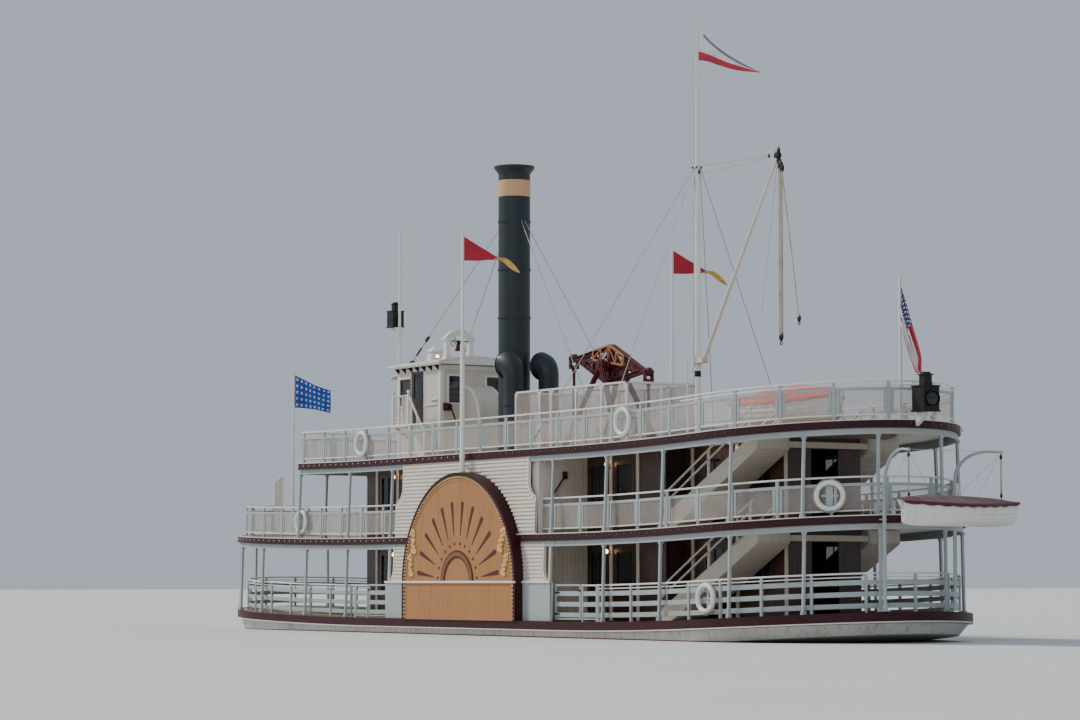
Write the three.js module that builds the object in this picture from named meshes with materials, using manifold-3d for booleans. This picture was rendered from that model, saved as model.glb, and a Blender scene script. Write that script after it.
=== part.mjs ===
// A side-wheel paddle steamer with three decks: hull, decks, houses, wheels, masts, boats and flags.
// Millimetres, +X to the bow, +Y to port, +Z up. The origin is at the middle of the hull's flat bottom.
import * as THREE from "three";
import { mergeVertices } from "three/addons/utils/BufferGeometryUtils.js";
import Module from "manifold-3d";

const wasm = await Module();
wasm.setup();

// Gaps between pieces that touch, and under what stands on a deck
const GAP = 0.5;
const DECK_GAP = 2;

// Heights of the walking surfaces, and the decks' make-up
const MAIN_Z = 1650;
const SECOND_Z = 4140;
const TOP_Z = 6600;
const DECK_THICK = 120;
const GUARD_LOW = 1390;
const FASCIA_UP = 20;
const FASCIA_DOWN = 190;
const FASCIA_THICK = 50;
const VALANCE_HIGH = 210;
const VALANCE_THICK = 50;
const WALL = 60;

// Outlines of the decks: half width, where the round bow and stern begin, and their tips
const MAIN_PLAN = { half: 3900, foreStart: 12000, foreTip: 17400, aftStart: -13550, aftTip: -18300 };
const SECOND_PLAN = { half: 3700, foreStart: 12300, foreTip: 17800, aftStart: -13500, aftTip: -18150 };
const TOP_PLAN = { half: 3600, foreStart: 9800, foreTip: 10400, aftStart: -13450, aftTip: -18050 };

// Sheer: the decks are level amidships and rise towards both ends, in straight steps
const SHEER_STEP = 2100;
const SHEER_AFT = { start: -6300, rate: 2.5e-6 };
const SHEER_FORE = { start: 4200, rate: 1.7e-6 };

// Paddle wheels and their boxes
const SHAFT_X = -1200;
const SHAFT_Z = 2680;
const SHAFT_R = 110;
const WHEEL_R = 2400;
const WHEEL_IN = 2480;
const WHEEL_OUT = 3540;
const FLOATS = 12;
const BOX_R = 3350;
const BOX_SHELL = 100;
const BOX_IN = 2400;
const BOX_OUT = 3890;
const FACE_THICK = 60;

// Side walls beside the boxes: they lean inboard as they rise
const SIDE_WALL = { foot: 3700, lean: 0.031 };
const MAIN_WALL = { fore: 3660, aft: -6060 };
const SECOND_WALL = { fore: 3200, aft: -5100 };
const WALL_NOTCH = 450;
const END_POST = { in: 120, footY: 3650, headY: 3605, size: 70 };

// Rails: how far inside the deck's edge they stand, and their heights above the deck
const RAIL_HIGH = 1050;
const RAIL_THICK = 50;
const MAIN_RAIL_IN = 340;
const SECOND_RAIL_IN = 300;
const TOP_RAIL_IN = 140;
const BAY = 1400;

// Deckhouses: the same on both enclosed decks
const HOUSE = { fore: 8300, aft: -9200, half: 1850, cabinAft: -14100, cabinHalf: 1200 };
const STAIR = { foot: -9700, head: -14300, side: 1850, width: 1000, steps: 12 };

// Engine gear above the top deck
const BEAM = { x: -3500, z: 9250, reach: 2070, rise: 620, tilt: 9 };
const HATCH = { aft: -5950, fore: -950, half: 1050 };
const SCREEN = { fore: 0, aft: -6250, half: 1230, high: 1980, posts: [0, 0.226, 0.332, 0.556, 0.784, 1] };

const FUNNEL = { x: 2070, r: 500, top: 15850, crown: 640, bore: 430 };
const PILOT = { aft: 4570, fore: 7350, half: 1230, eaves: 9700, floor: 7850 };
const MAST = { x: -8100, r: 85, shoulder: 14700, top: 18950 };
const BOOM = { x: -8400, z: 9100, tipX: -12050, tipZ: 14550 };
const FOREMAST = { x: 9500, r: 65, top: 14550 };

const COLOURS = {
  white: { color: 0xdcdcd6, roughness: 0.5, metalness: 0 },
  grey: { color: 0xa9b2b8, roughness: 0.5, metalness: 0 },
  maroon: { color: 0x4a1118, roughness: 0.4, metalness: 0 },
  tan: { color: 0xb98a55, roughness: 0.5, metalness: 0 },
  planks: { color: 0x9b7a5c, roughness: 0.7, metalness: 0 },
  varnish: { color: 0x4b2a1a, roughness: 0.35, metalness: 0 },
  navy: { color: 0x14202b, roughness: 0.45, metalness: 0 },
  iron: { color: 0x2b2d30, roughness: 0.5, metalness: 0.6 },
  brass: { color: 0xb08d3c, roughness: 0.3, metalness: 1 },
  red: { color: 0xb32026, roughness: 0.8, metalness: 0 },
  orange: { color: 0xd8512b, roughness: 0.8, metalness: 0 },
  blue: { color: 0x1c4fa0, roughness: 0.8, metalness: 0 },
};

// Height that the sheer adds at x
function sheerCurve(x) {
  if (x < SHEER_AFT.start) return SHEER_AFT.rate * (x - SHEER_AFT.start) ** 2;
  if (x > SHEER_FORE.start) return SHEER_FORE.rate * (x - SHEER_FORE.start) ** 2;
  return 0;
}

function sheerAt(x) {
  const low = Math.floor(x / SHEER_STEP) * SHEER_STEP;
  const share = (x - low) / SHEER_STEP;
  return sheerCurve(low) * (1 - share) + sheerCurve(low + SHEER_STEP) * share;
}

// Moves each vertex up by the sheer at its place
function sheered(geometry) {
  const p = geometry.attributes.position;
  for (let i = 0; i < p.count; i++) p.setZ(i, p.getZ(i) + sheerAt(p.getX(i)));
  return geometry;
}

// Turns a closed geometry into a solid that can be joined and cut, with its faces outward
function solid(geometry) {
  const plain = geometry.clone();
  for (const name of ["normal", "uv"]) plain.deleteAttribute(name);
  const merged = mergeVertices(plain, 1e-3);
  const vertProperties = merged.attributes.position.array;
  const triVerts = new Uint32Array(merged.index.array);
  const made = new wasm.Manifold(new wasm.Mesh({ numProp: 3, vertProperties, triVerts }));
  if (made.volume() > 0) return made;
  return new wasm.Manifold(new wasm.Mesh({ numProp: 3, vertProperties, triVerts: triVerts.toReversed() }));
}

const toSolid = (piece) => (piece.isBufferGeometry ? solid(piece) : piece);
const join = (...pieces) => pieces.flat().map(toSolid).reduce((a, b) => a.add(b));
const cut = (body, ...cutters) => cutters.flat().map(toSolid).reduce((a, b) => a.subtract(b), toSolid(body));
const keep = (body, region) => toSolid(body).intersect(toSolid(region));

function toGeometry(body) {
  const mesh = body.getMesh();
  const position = new Float32Array(mesh.numVert * 3);
  for (let i = 0; i < mesh.numVert; i++) {
    const from = i * mesh.numProp;
    position.set(mesh.vertProperties.subarray(from, from + 3), i * 3);
  }
  const geometry = new THREE.BufferGeometry();
  geometry.setAttribute("position", new THREE.BufferAttribute(position, 3));
  geometry.setIndex(new THREE.BufferAttribute(new Uint32Array(mesh.triVerts), 1));
  geometry.computeVertexNormals();
  return geometry;
}

// A box between two corners
function span(x0, x1, y0, y1, z0, z1) {
  return new THREE.BoxGeometry(x1 - x0, y1 - y0, z1 - z0).translate((x0 + x1) / 2, (y0 + y1) / 2, (z0 + z1) / 2);
}

// A bar from a to b with upright ends, thick across its run and high along Z
function bar(a, b, thick, high) {
  const geometry = new THREE.BoxGeometry(1, thick, high);
  const p = geometry.attributes.position;
  const run = new THREE.Vector2(b[0] - a[0], b[1] - a[1]).normalize();
  for (let i = 0; i < p.count; i++) {
    const share = p.getX(i) + 0.5;
    const across = p.getY(i);
    const x = a[0] + (b[0] - a[0]) * share - run.y * across;
    const y = a[1] + (b[1] - a[1]) * share + run.x * across;
    p.setXYZ(i, x, y, a[2] + (b[2] - a[2]) * share + p.getZ(i));
  }
  return geometry;
}

// A square post from its foot to its head, with level ends
function post(foot, head, size) {
  const geometry = new THREE.BoxGeometry(size, size, 1);
  const p = geometry.attributes.position;
  for (let i = 0; i < p.count; i++) {
    const end = p.getZ(i) > 0 ? head : foot;
    p.setXYZ(i, end[0] + p.getX(i), end[1] + p.getY(i), end[2]);
  }
  return geometry;
}

// A round bar between two points
function tube(a, b, r, rEnd = r, sides = 8) {
  const from = new THREE.Vector3(...a);
  const to = new THREE.Vector3(...b);
  const along = to.clone().sub(from);
  const geometry = new THREE.CylinderGeometry(rEnd, r, along.length(), sides);
  const turn = new THREE.Quaternion().setFromUnitVectors(new THREE.Vector3(0, 1, 0), along.clone().normalize());
  return geometry.applyQuaternion(turn).translate(...from.add(to).multiplyScalar(0.5).toArray());
}

// A solid with an outline of [x, z] points, from y0 to y1
function sideways(points, y0, y1) {
  const shape = new THREE.Shape(points.map(([x, z]) => new THREE.Vector2(x, z)));
  const geometry = new THREE.ExtrudeGeometry(shape, { depth: y1 - y0, bevelEnabled: false });
  return geometry.rotateX(Math.PI / 2).translate(0, y1, 0);
}

// A solid with an outline of [y, z] points, from x0 to x1
function crossways(points, x0, x1) {
  const shape = new THREE.Shape(points.map(([y, z]) => new THREE.Vector2(y, z)));
  const geometry = new THREE.ExtrudeGeometry(shape, { depth: x1 - x0, bevelEnabled: false });
  return geometry.rotateX(Math.PI / 2).rotateZ(Math.PI / 2).translate(x0, 0, 0);
}

const arc = (cx, cz, r, from, to, steps) =>
  Array.from({ length: steps + 1 }, (_, i) => {
    const angle = THREE.MathUtils.degToRad(from + ((to - from) * i) / steps);
    return [cx + r * Math.cos(angle), cz + r * Math.sin(angle)];
  });

const inset = (plan, d) => ({ ...plan, half: plan.half - d, foreTip: plan.foreTip - d, aftTip: plan.aftTip + d });

const END_TURNS = [24, 46, 67, 87].map(THREE.MathUtils.degToRad);

function halfAt(plan, x) {
  let share = 0;
  if (x > plan.foreStart) share = (x - plan.foreStart) / (plan.foreTip - plan.foreStart);
  if (x < plan.aftStart) share = (x - plan.aftStart) / (plan.aftTip - plan.aftStart);
  return plan.half * Math.sqrt(1 - Math.min(share, 0.9986) ** 2);
}

// Places along X where an outline bends or the sheer changes
function stationsOf(plan) {
  const bow = END_TURNS.map((turn) => plan.foreStart + (plan.foreTip - plan.foreStart) * Math.sin(turn));
  const stern = END_TURNS.map((turn) => plan.aftStart + (plan.aftTip - plan.aftStart) * Math.sin(turn));
  const ends = [...bow, ...stern, plan.foreStart, plan.aftStart];
  const all = [...ends];
  for (let x = -9 * SHEER_STEP; x <= 9 * SHEER_STEP; x += SHEER_STEP) {
    const level = x > SHEER_AFT.start && x < SHEER_FORE.start;
    const inside = x > Math.min(...stern) && x < Math.max(...bow);
    if (inside && !level && ends.every((end) => Math.abs(end - x) > 60)) all.push(x);
  }
  return all.sort((a, b) => a - b);
}

// A body along X with sides at plus and minus side(x), from low(x) to high(x)
function loft(stations, side, low, high) {
  const n = stations.length - 1;
  const geometry = new THREE.BoxGeometry(n, 2, 2, n, 1, 1).translate(n / 2, 0, 0);
  const p = geometry.attributes.position;
  for (let i = 0; i < p.count; i++) {
    const x = stations[Math.round(p.getX(i))];
    p.setXYZ(i, x, p.getY(i) * side(x), p.getZ(i) > 0 ? high(x) : low(x));
  }
  return geometry;
}

// A sheered plate with a deck's outline
function plate(plan, low, high) {
  return loft(
    stationsOf(plan),
    (x) => halfAt(plan, x),
    (x) => low + sheerAt(x),
    (x) => high + sheerAt(x),
  );
}

// A sheered strip that follows a deck's edge
const MARGIN = 300;
function strip(plan, thick, low, high) {
  return cut(plate(plan, low, high), plate(inset(plan, thick), low - MARGIN, high + MARGIN));
}

// A sheered straight-sided body from aft to fore
function straight(aft, fore, half, low, high) {
  const stations = [aft, fore];
  for (let x = -9 * SHEER_STEP; x <= 9 * SHEER_STEP; x += SHEER_STEP) {
    if (x > aft + 60 && x < fore - 60) stations.push(x);
  }
  stations.sort((a, b) => a - b);
  return loft(stations, () => half, (x) => low + sheerAt(x), (x) => high + sheerAt(x));
}

// Half a region of the ship, forward or aft of x
const FAR = 30000;
const forwardOf = (x) => span(x, FAR, -FAR, FAR, -FAR, FAR);
const aftOf = (x) => span(-FAR, x, -FAR, FAR, -FAR, FAR);

// Points along a deck's edge, a bay apart, from amidships round one end to amidships
function edgePoints(plan, from, end, bay) {
  const start = end > 0 ? plan.foreStart : plan.aftStart;
  const tip = end > 0 ? plan.foreTip : plan.aftTip;
  const straightRun = Math.abs(start - from);
  const quarter = (Math.PI / 2) * Math.sqrt(((tip - start) ** 2 + plan.half ** 2) / 2);
  const bays = Math.max(1, Math.round(straightRun / bay));
  const turns = Math.max(1, Math.round(quarter / bay));
  const side = [];
  for (let i = 0; i <= bays; i++) side.push([from + ((start - from) * i) / bays, plan.half]);
  for (let i = 1; i <= turns; i++) {
    const turn = (Math.PI / 2) * (i / turns);
    side.push([start + (tip - start) * Math.sin(turn), plan.half * Math.cos(turn)]);
  }
  const back = side.slice(0, -1).reverse();
  return [...side, ...back.map(([x, y]) => [x, -y])];
}

const group = new THREE.Group();
function addMesh(name, body, colour, parent = group) {
  const material = new THREE.MeshStandardMaterial(COLOURS[colour]);
  const mesh = new THREE.Mesh(toGeometry(toSolid(body)), material);
  mesh.name = name;
  parent.add(mesh);
  return mesh;
}

const SIDES = [
  { name: "port", sign: 1 },
  { name: "starboard", sign: -1 },
];
const ordered = (a, b) => (a < b ? [a, b] : [b, a]);
const mirrored = (sign, x0, x1, y0, y1, z0, z1) => span(x0, x1, ...ordered(sign * y0, sign * y1), z0, z1);

// Hull: rows from the flat bottom up to the deck, each with its own outline
const COUNTER = { start: -9500, rise: 420, length: 8800 };
const HULL_ROWS = [
  { z: 0, sheer: 0, counter: 0, half: 1950, foreStart: 8000, foreTip: 15900, aftStart: -8000, aftTip: -13900 },
  { z: 260, sheer: 0, counter: 0, half: 2350, foreStart: 8500, foreTip: 16400, aftStart: -8500, aftTip: -14100 },
  { z: 900, sheer: 0, counter: 0.2, half: 2400, foreStart: 9500, foreTip: 16900, aftStart: -9500, aftTip: -14250 },
  { z: 1050, sheer: 0, counter: 1, half: 3700, foreStart: 11500, foreTip: 17150, aftStart: -12800, aftTip: -18000 },
  { z: GUARD_LOW, sheer: 1, counter: 0, half: 3770, foreStart: 12000, foreTip: 17280, aftStart: -13550, aftTip: -18180 },
];

function hullPlace(row, turn) {
  if (Math.abs(turn) < 1) return row.aftStart + ((row.foreStart - row.aftStart) * (turn + 1)) / 2;
  const angle = Math.abs(turn) - 1;
  const start = turn > 0 ? row.foreStart : row.aftStart;
  const tip = turn > 0 ? row.foreTip : row.aftTip;
  return start + (tip - start) * Math.sin(angle);
}

function makeHull() {
  const ends = [0, ...END_TURNS].map((turn) => turn + 1);
  const turns = [...ends.map((t) => -t).reverse(), -0.85, -0.66, -0.33, 0, 0.33, 0.66, 0.85, ...ends];
  const n = turns.length - 1;
  const rows = HULL_ROWS.length - 1;
  const geometry = new THREE.BoxGeometry(n, 2, rows, n, 1, rows).translate(n / 2, 0, rows / 2);
  const p = geometry.attributes.position;
  for (let i = 0; i < p.count; i++) {
    const row = HULL_ROWS[Math.round(p.getZ(i))];
    const x = hullPlace(row, turns[Math.round(p.getX(i))]);
    const past = Math.max(0, COUNTER.start - x) / COUNTER.length;
    const z = row.z + row.sheer * sheerCurve(x) + row.counter * COUNTER.rise * past ** 1.5;
    p.setXYZ(i, x, p.getY(i) * halfAt(row, x), z - (row.sheer ? 6 * DECK_GAP : 0));
  }
  const wells = SIDES.map(({ sign }) => mirrored(sign, SHAFT_X - 2600, SHAFT_X + 2600, 2430, 3600, -10, 1500));
  const trunk = tube([RUDDER.x, 0, 800], [RUDDER.x, 0, 1300], RUDDER.stock + 12, RUDDER.stock + 12, 12);
  return cut(geometry, wells, trunk);
}

const RUDDER = { x: -14420, stock: 60, low: 150, high: 930, chord: 1100 };
function makeRudder() {
  const blade = sideways(
    [
      [-RUDDER.chord, RUDDER.low + 80],
      [-RUDDER.chord + 120, RUDDER.low],
      [0, RUDDER.low],
      [0, RUDDER.high - 80],
      [-RUDDER.chord + 200, RUDDER.high - 80],
      [-RUDDER.chord, RUDDER.high - 260],
    ],
    -35,
    35,
  );
  return join(blade, tube([0, 0, RUDDER.low], [0, 0, 1200], RUDDER.stock, RUDDER.stock, 12));
}

// Paddle boxes: an arch on straight legs
function archOutline(r, foot) {
  return [[SHAFT_X + r, foot], ...arc(SHAFT_X, SHAFT_Z, r, 0, 180, 20), [SHAFT_X - r, foot]];
}

const boxClear = (sign, r = BOX_R + 2) => sideways(archOutline(r, 900), ...ordered(sign * (BOX_IN - 2), sign * 4200));

function makeBox(sign) {
  const foot = MAIN_Z + DECK_GAP;
  const outer = sideways(archOutline(BOX_R, foot), ...ordered(sign * BOX_IN, sign * BOX_OUT));
  const room = sideways(archOutline(BOX_R - BOX_SHELL, 900), ...ordered(sign * (BOX_IN + WALL), sign * 4200));
  const bearing = tube([SHAFT_X, sign * 2300, SHAFT_Z], [SHAFT_X, sign * 2600, SHAFT_Z], SHAFT_R + 20, SHAFT_R + 20, 16);
  return cut(outer, room, bearing);
}

function makeFace(sign) {
  const from = BOX_OUT + GAP;
  const face = sideways(archOutline(BOX_R, MAIN_Z + DECK_GAP), ...ordered(sign * from, sign * (from + FACE_THICK)));
  return face;
}

// Side walls: boards from the main deck to the top deck, cut round the paddle box, each with a pennant pole
const PENNANT_POLE = { y: 3780, top: 13250, bracket: 6200 };
function makeSideWall(sign) {
  const railZ = RAIL_HIGH + 50;
  const top = TOP_Z - DECK_THICK - GAP - DECK_GAP;
  const ledge = SECOND_Z - DECK_THICK;
  const edge = (main, second, inward) => {
    const corner = (x, z) => arc(x, z + WALL_NOTCH, WALL_NOTCH, inward > 0 ? -90 : 270, inward > 0 ? 0 : 180, 4);
    return [
      [main, MAIN_Z + DECK_GAP],
      ...corner(main, MAIN_Z + railZ),
      [main + inward * WALL_NOTCH, ledge],
      [second, ledge],
      ...corner(second, SECOND_Z + railZ),
      [second + inward * WALL_NOTCH, top],
    ];
  };
  const aftEdge = edge(MAIN_WALL.aft, SECOND_WALL.aft, 1);
  const foreEdge = edge(MAIN_WALL.fore, SECOND_WALL.fore, -1).reverse();
  const sheet = sideways([...aftEdge, ...foreEdge], 0, WALL);
  const p = sheet.attributes.position;
  for (let i = 0; i < p.count; i++) {
    const lean = SIDE_WALL.foot - WALL - SIDE_WALL.lean * (p.getZ(i) - MAIN_Z);
    p.setY(i, sign * (p.getY(i) + lean));
  }
  const { y, bracket } = PENNANT_POLE;
  const foot = [SHAFT_X, sign * y, SHAFT_Z + BOX_R + DECK_GAP];
  const pole = tube(foot, [SHAFT_X, sign * y, PENNANT_POLE.top], 50, 32, 8);
  const arm = mirrored(sign, SHAFT_X - 30, SHAFT_X + 30, 3520, y, bracket, bracket + 60);
  const trims = [[MAIN_WALL.aft, 1], [MAIN_WALL.fore, -1]].map(([x, inward]) => {
    const at = x + inward * END_POST.in;
    const foot = [at, sign * END_POST.footY, MAIN_Z + 900];
    const upright = post(foot, [at, sign * END_POST.headY, ledge - GAP], END_POST.size);
    const [x0, x1] = ordered(at, x + inward * (WALL_NOTCH + 10));
    return [upright, mirrored(sign, x0, x1, 3590, 3640, ledge - VALANCE_HIGH, ledge - GAP)];
  });
  return join(cut(sheet, boxClear(sign)), pole, arm, trims.flat());
}

// Paddle wheel about its own centre: two spoked rims on a hub, and floats across them
const RIM = { outer: WHEEL_R - 240, inner: WHEEL_R - 360, hub: 330, spoke: 90, thick: 50 };
function makeRim(y) {
  const turn = 360 / FLOATS;
  const outline = (points) => points.map(([a, b]) => new THREE.Vector2(a, b));
  const shape = new THREE.Shape(outline(arc(0, 0, RIM.outer, turn / 2, 360 - turn / 2, FLOATS - 1)));
  const edge = (r) => THREE.MathUtils.radToDeg(Math.asin(RIM.spoke / 2 / r));
  for (let i = 0; i < FLOATS; i++) {
    const [wide, narrow] = [edge(RIM.inner), edge(RIM.hub)];
    const outside = arc(0, 0, RIM.inner, i * turn + wide, (i + 1) * turn - wide, 1);
    const inside = arc(0, 0, RIM.hub, (i + 1) * turn - narrow, i * turn + narrow, 1);
    shape.holes.push(new THREE.Path(outline([...outside, ...inside])));
  }
  const geometry = new THREE.ExtrudeGeometry(shape, { depth: RIM.thick, bevelEnabled: false });
  return geometry.rotateX(Math.PI / 2).translate(0, y + RIM.thick / 2, 0);
}

function makeWheel() {
  const width = WHEEL_OUT - WHEEL_IN;
  const rims = [-1, 1].map((side) => makeRim(side * (width / 2 - 60)));
  const hub = tube([0, -width / 2, 0], [0, width / 2, 0], 260, 260, 12);
  const floats = Array.from({ length: FLOATS }, (_, i) =>
    span(WHEEL_R - 420, WHEEL_R, -width / 2, width / 2, -22, 22).rotateY(-(i / FLOATS) * 2 * Math.PI),
  );
  const bore = tube([0, -width, 0], [0, width, 0], SHAFT_R + GAP, SHAFT_R + GAP, 16);
  return cut(join(rims, hub, floats), bore);
}

// Decks: a plate with its edge band, cut for stairs, wheels and the engine hatch
const stairWells = (z) =>
  SIDES.map(({ sign }) => {
    const across = [STAIR.side - 580, STAIR.side + 580];
    return mirrored(sign, STAIR.head - 20, STAIR.foot - 700, ...across, z - 900, z + 900);
  });

function makeDeck(plan, z) {
  const body = plate(plan, z - DECK_THICK, z);
  const band = strip(plan, FASCIA_THICK, z - FASCIA_DOWN, z + FASCIA_UP);
  return join(body, band);
}

function wallSlot(sign, z) {
  const at = SIDE_WALL.foot - SIDE_WALL.lean * (z - MAIN_Z);
  const { fore, aft } = SECOND_WALL;
  return mirrored(sign, aft - 3, fore + 3, at - WALL - 8, at + 8, z - 400, z + 400);
}

// Posts under a deck's edge, hung from a strip that lines the edge:
// places on the straight sides, then turns round the end
function edgePlaces(plan, end, straightX, turns) {
  const start = end > 0 ? plan.foreStart : plan.aftStart;
  const tip = end > 0 ? plan.foreTip : plan.aftTip;
  const bent = turns.map(THREE.MathUtils.degToRad);
  const side = straightX.map((x) => [x, plan.half]);
  for (const turn of bent) side.push([start + (tip - start) * Math.sin(turn), plan.half * Math.cos(turn)]);
  return side.flatMap(([x, y]) => [[x, y], [x, -y]]);
}

const COLONNADES = {
  mainFore: { limit: 3575, x: [6350, 9160], turns: [0, 24, 46, 67] },
  mainAft: { limit: -5977, x: [-8750, -11560], turns: [14.5, 44, 73] },
  secondFore: { limit: 2756, x: [3540, 6350], turns: [0, 48, 78] },
  secondAft: { limit: -4656, x: [-5940, -8750, -11560], turns: [14.5, 44, 73] },
};

function makeColonnade(plan, deckZ, footHalf, footZ, end, { limit, x: straightX, turns }) {
  const line = inset(plan, 60);
  const low = deckZ - DECK_THICK - VALANCE_HIGH;
  const region = end > 0 ? forwardOf(limit) : aftOf(limit);
  const band = keep(strip(line, VALANCE_THICK, low, deckZ - DECK_THICK - GAP), region);
  const postPlan = inset(plan, 85);
  const lean = footHalf / postPlan.half;
  const posts = edgePlaces(postPlan, end, straightX, turns).map(([x, y]) =>
    sheered(post([x, y * lean, footZ + DECK_GAP], [x, y, low + 20], 70)),
  );
  return join(band, posts);
}

// Rails: bands along a deck's edge, with posts let into their inner faces
const PANELS = [{ low: 150, high: RAIL_HIGH, thick: 40 }];
const BOARDS = [
  { low: 130, high: 260, thick: 30 },
  { low: 430, high: 560, thick: 30 },
  { low: 730, high: 860, thick: 30 },
];
const HANDRAIL = { low: RAIL_HIGH - 60, high: RAIL_HIGH, thick: RAIL_THICK };
const POST_SIZE = 60;
function makeRail(plan, z, bands, from, end, spacing = 2 * BAY) {
  const region = end > 0 ? forwardOf(from) : aftOf(from);
  const runs = bands.map(({ low, high, thick }) => keep(strip(plan, thick, z + low, z + high), region));
  const thin = Math.min(...bands.map((band) => band.thick));
  const posts = edgePoints(inset(plan, thin + POST_SIZE / 2 - 8), from + end * POST_SIZE, end, spacing).map(([x, y]) =>
    sheered(post([x, y, z + DECK_GAP], [x, y, z + RAIL_HIGH - 20], POST_SIZE)),
  );
  return join(runs, posts);
}

// A boarding gate about its hinge: stiles, top rail and boards
const GATE_LONG = 1300;
function makeGate(toward) {
  const far = toward * GATE_LONG;
  const level = (low, high, thick) => span(...ordered(0, far), -thick / 2, thick / 2, low, high);
  const stile = (x) => span(x - 30, x + 30, -25, 25, 60, RAIL_HIGH);
  return join(stile(0), stile(far), level(RAIL_HIGH - 60, RAIL_HIGH, 50), BOARDS.map((b) => level(b.low, b.high, b.thick)));
}

// Deckhouse with a narrower cabin aft, cross walls outside, doors and windows
const WINDOW = { width: 800, sill: 850, high: 1150, spacing: 1400 };
const DOOR = { width: 850, high: 2000 };
function makeHouse(base, ceiling) {
  const low = base + DECK_GAP;
  const high = ceiling - GAP;
  const { fore, aft, half, cabinAft, cabinHalf } = HOUSE;
  const outer = join(straight(aft, fore, half, low, high), straight(cabinAft, aft + 1, cabinHalf, low, high));
  const rooms = [
    straight(aft + WALL, fore - WALL, half - WALL, low - MARGIN, high + MARGIN),
    straight(cabinAft + WALL, aft, cabinHalf - WALL, low - MARGIN, high + MARGIN),
  ];
  const openings = [];
  for (let i = 0; i < 11; i++) {
    const x = 6900 - i * WINDOW.spacing;
    if (Math.abs(x - SHAFT_X) < 2300) continue;
    const isDoor = i === 2 || i === 10;
    const wide = (isDoor ? DOOR.width : WINDOW.width) / 2;
    const z = base + sheerAt(x);
    const sill = isDoor ? z + 60 : z + WINDOW.sill;
    openings.push(span(x - wide, x + wide, -half - 50, half + 50, sill, isDoor ? z + DOOR.high : sill + WINDOW.high));
  }
  for (const x of [-10600, -12900]) {
    const z = base + sheerAt(x) + WINDOW.sill;
    openings.push(span(x - 400, x + 400, -cabinHalf - 50, cabinHalf + 50, z, z + WINDOW.high));
  }
  const ends = [span(fore - 200, fore + 50, -450, 450, base + 120, base + DOOR.high + 100)];
  ends.push(span(cabinAft - 50, cabinAft + 200, -450, 450, base + 250, base + DOOR.high + 200));
  const shaft = tube([SHAFT_X, -2500, SHAFT_Z], [SHAFT_X, 2500, SHAFT_Z], SHAFT_R + 20, SHAFT_R + 20, 16);
  const crossWalls = SIDES.flatMap(({ sign }) =>
    [SHAFT_X - 3900, SHAFT_X + 3700].map((x) =>
      mirrored(sign, x - WALL / 2, x + WALL / 2, half - 20, 3380, low, high - 3),
    ),
  );
  return cut(join(cut(outer, rooms), crossWalls), openings, ends, shaft);
}

// Two flights joined by a beam under their heads, with handrails
function makeStairs(base) {
  const low = base + sheerAt(STAIR.foot - 500) + 2 * DECK_GAP;
  const rise = SECOND_Z - MAIN_Z - 20;
  const run = STAIR.head - STAIR.foot;
  const steps = [];
  for (let i = 0; i < STAIR.steps; i++) {
    const z = low + ((i + 1) * rise) / STAIR.steps;
    steps.push([STAIR.foot + (run * i) / STAIR.steps, z], [STAIR.foot + (run * (i + 1)) / STAIR.steps, z]);
  }
  const slope = rise / run;
  const back = [
    [STAIR.head, low + rise - 330],
    [STAIR.foot - 500, low + 10],
    [STAIR.foot - 480, low],
  ];
  const profile = [[STAIR.foot, low], ...steps, ...back];
  const pieces = [];
  for (const { sign } of SIDES) {
    const [y0, y1] = ordered(sign * (STAIR.side - STAIR.width / 2), sign * (STAIR.side + STAIR.width / 2));
    pieces.push(sideways(profile, y0, y1));
    const y = sign * (STAIR.side + STAIR.width / 2 - 30);
    const at = (x, up) => [x, y, low + slope * (x - STAIR.foot) + up];
    pieces.push(bar(at(STAIR.foot - 100, 950), at(STAIR.head + 300, 950), 40, 50));
    for (const share of [0.05, 0.5, 0.92]) {
      const x = STAIR.foot + run * share;
      pieces.push(post(at(x, 50), at(x, 940), 40));
    }
  }
  const headZ = low + rise - 300;
  pieces.push(span(STAIR.head, STAIR.head + 90, -STAIR.side, STAIR.side, headZ, headZ + 160));
  return join(pieces);
}

// Engine bed with two bearings, and the cylinder block
function makeEngine() {
  const low = MAIN_Z + DECK_GAP;
  const bed = span(-6100, -500, -1500, 1500, low, low + 200);
  const block = span(-5900, -2300, -700, 700, low, low + 1850);
  const bearings = SIDES.map(({ sign }) => mirrored(sign, SHAFT_X - 300, SHAFT_X + 300, 1280, 1480, low, SHAFT_Z + 300));
  const bore = tube([SHAFT_X, -2000, SHAFT_Z], [SHAFT_X, 2000, SHAFT_Z], SHAFT_R + 6, SHAFT_R + 6, 16);
  return cut(join(bed, block, bearings), bore);
}

// Posts, brackets and panels round the engine opening on the top deck
function makeScreen() {
  const { fore, aft, half, high } = SCREEN;
  const low = TOP_Z + DECK_GAP;
  const top = TOP_Z + high;
  const ring = (thick, z0, z1, inside) => {
    const outer = span(aft, fore, -half, half, z0, z1);
    return cut(outer, span(aft + thick, fore - thick, -half + thick, half - thick, z0 - inside, z1 + inside));
  };
  const pieces = [
    ring(60, top - 60, top, 10),
    ring(20, low + 150, top - 40, 10),
    ring(60, low + 120, low + 180, 10),
  ];
  for (const share of SCREEN.posts) {
    const x = fore - 35 + (aft - fore + 70) * share;
    for (const y of [-half + 35, half - 35]) pieces.push(post([x, y, low], [x, y, top - 20], 70));
  }
  return join(pieces);
}

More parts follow.
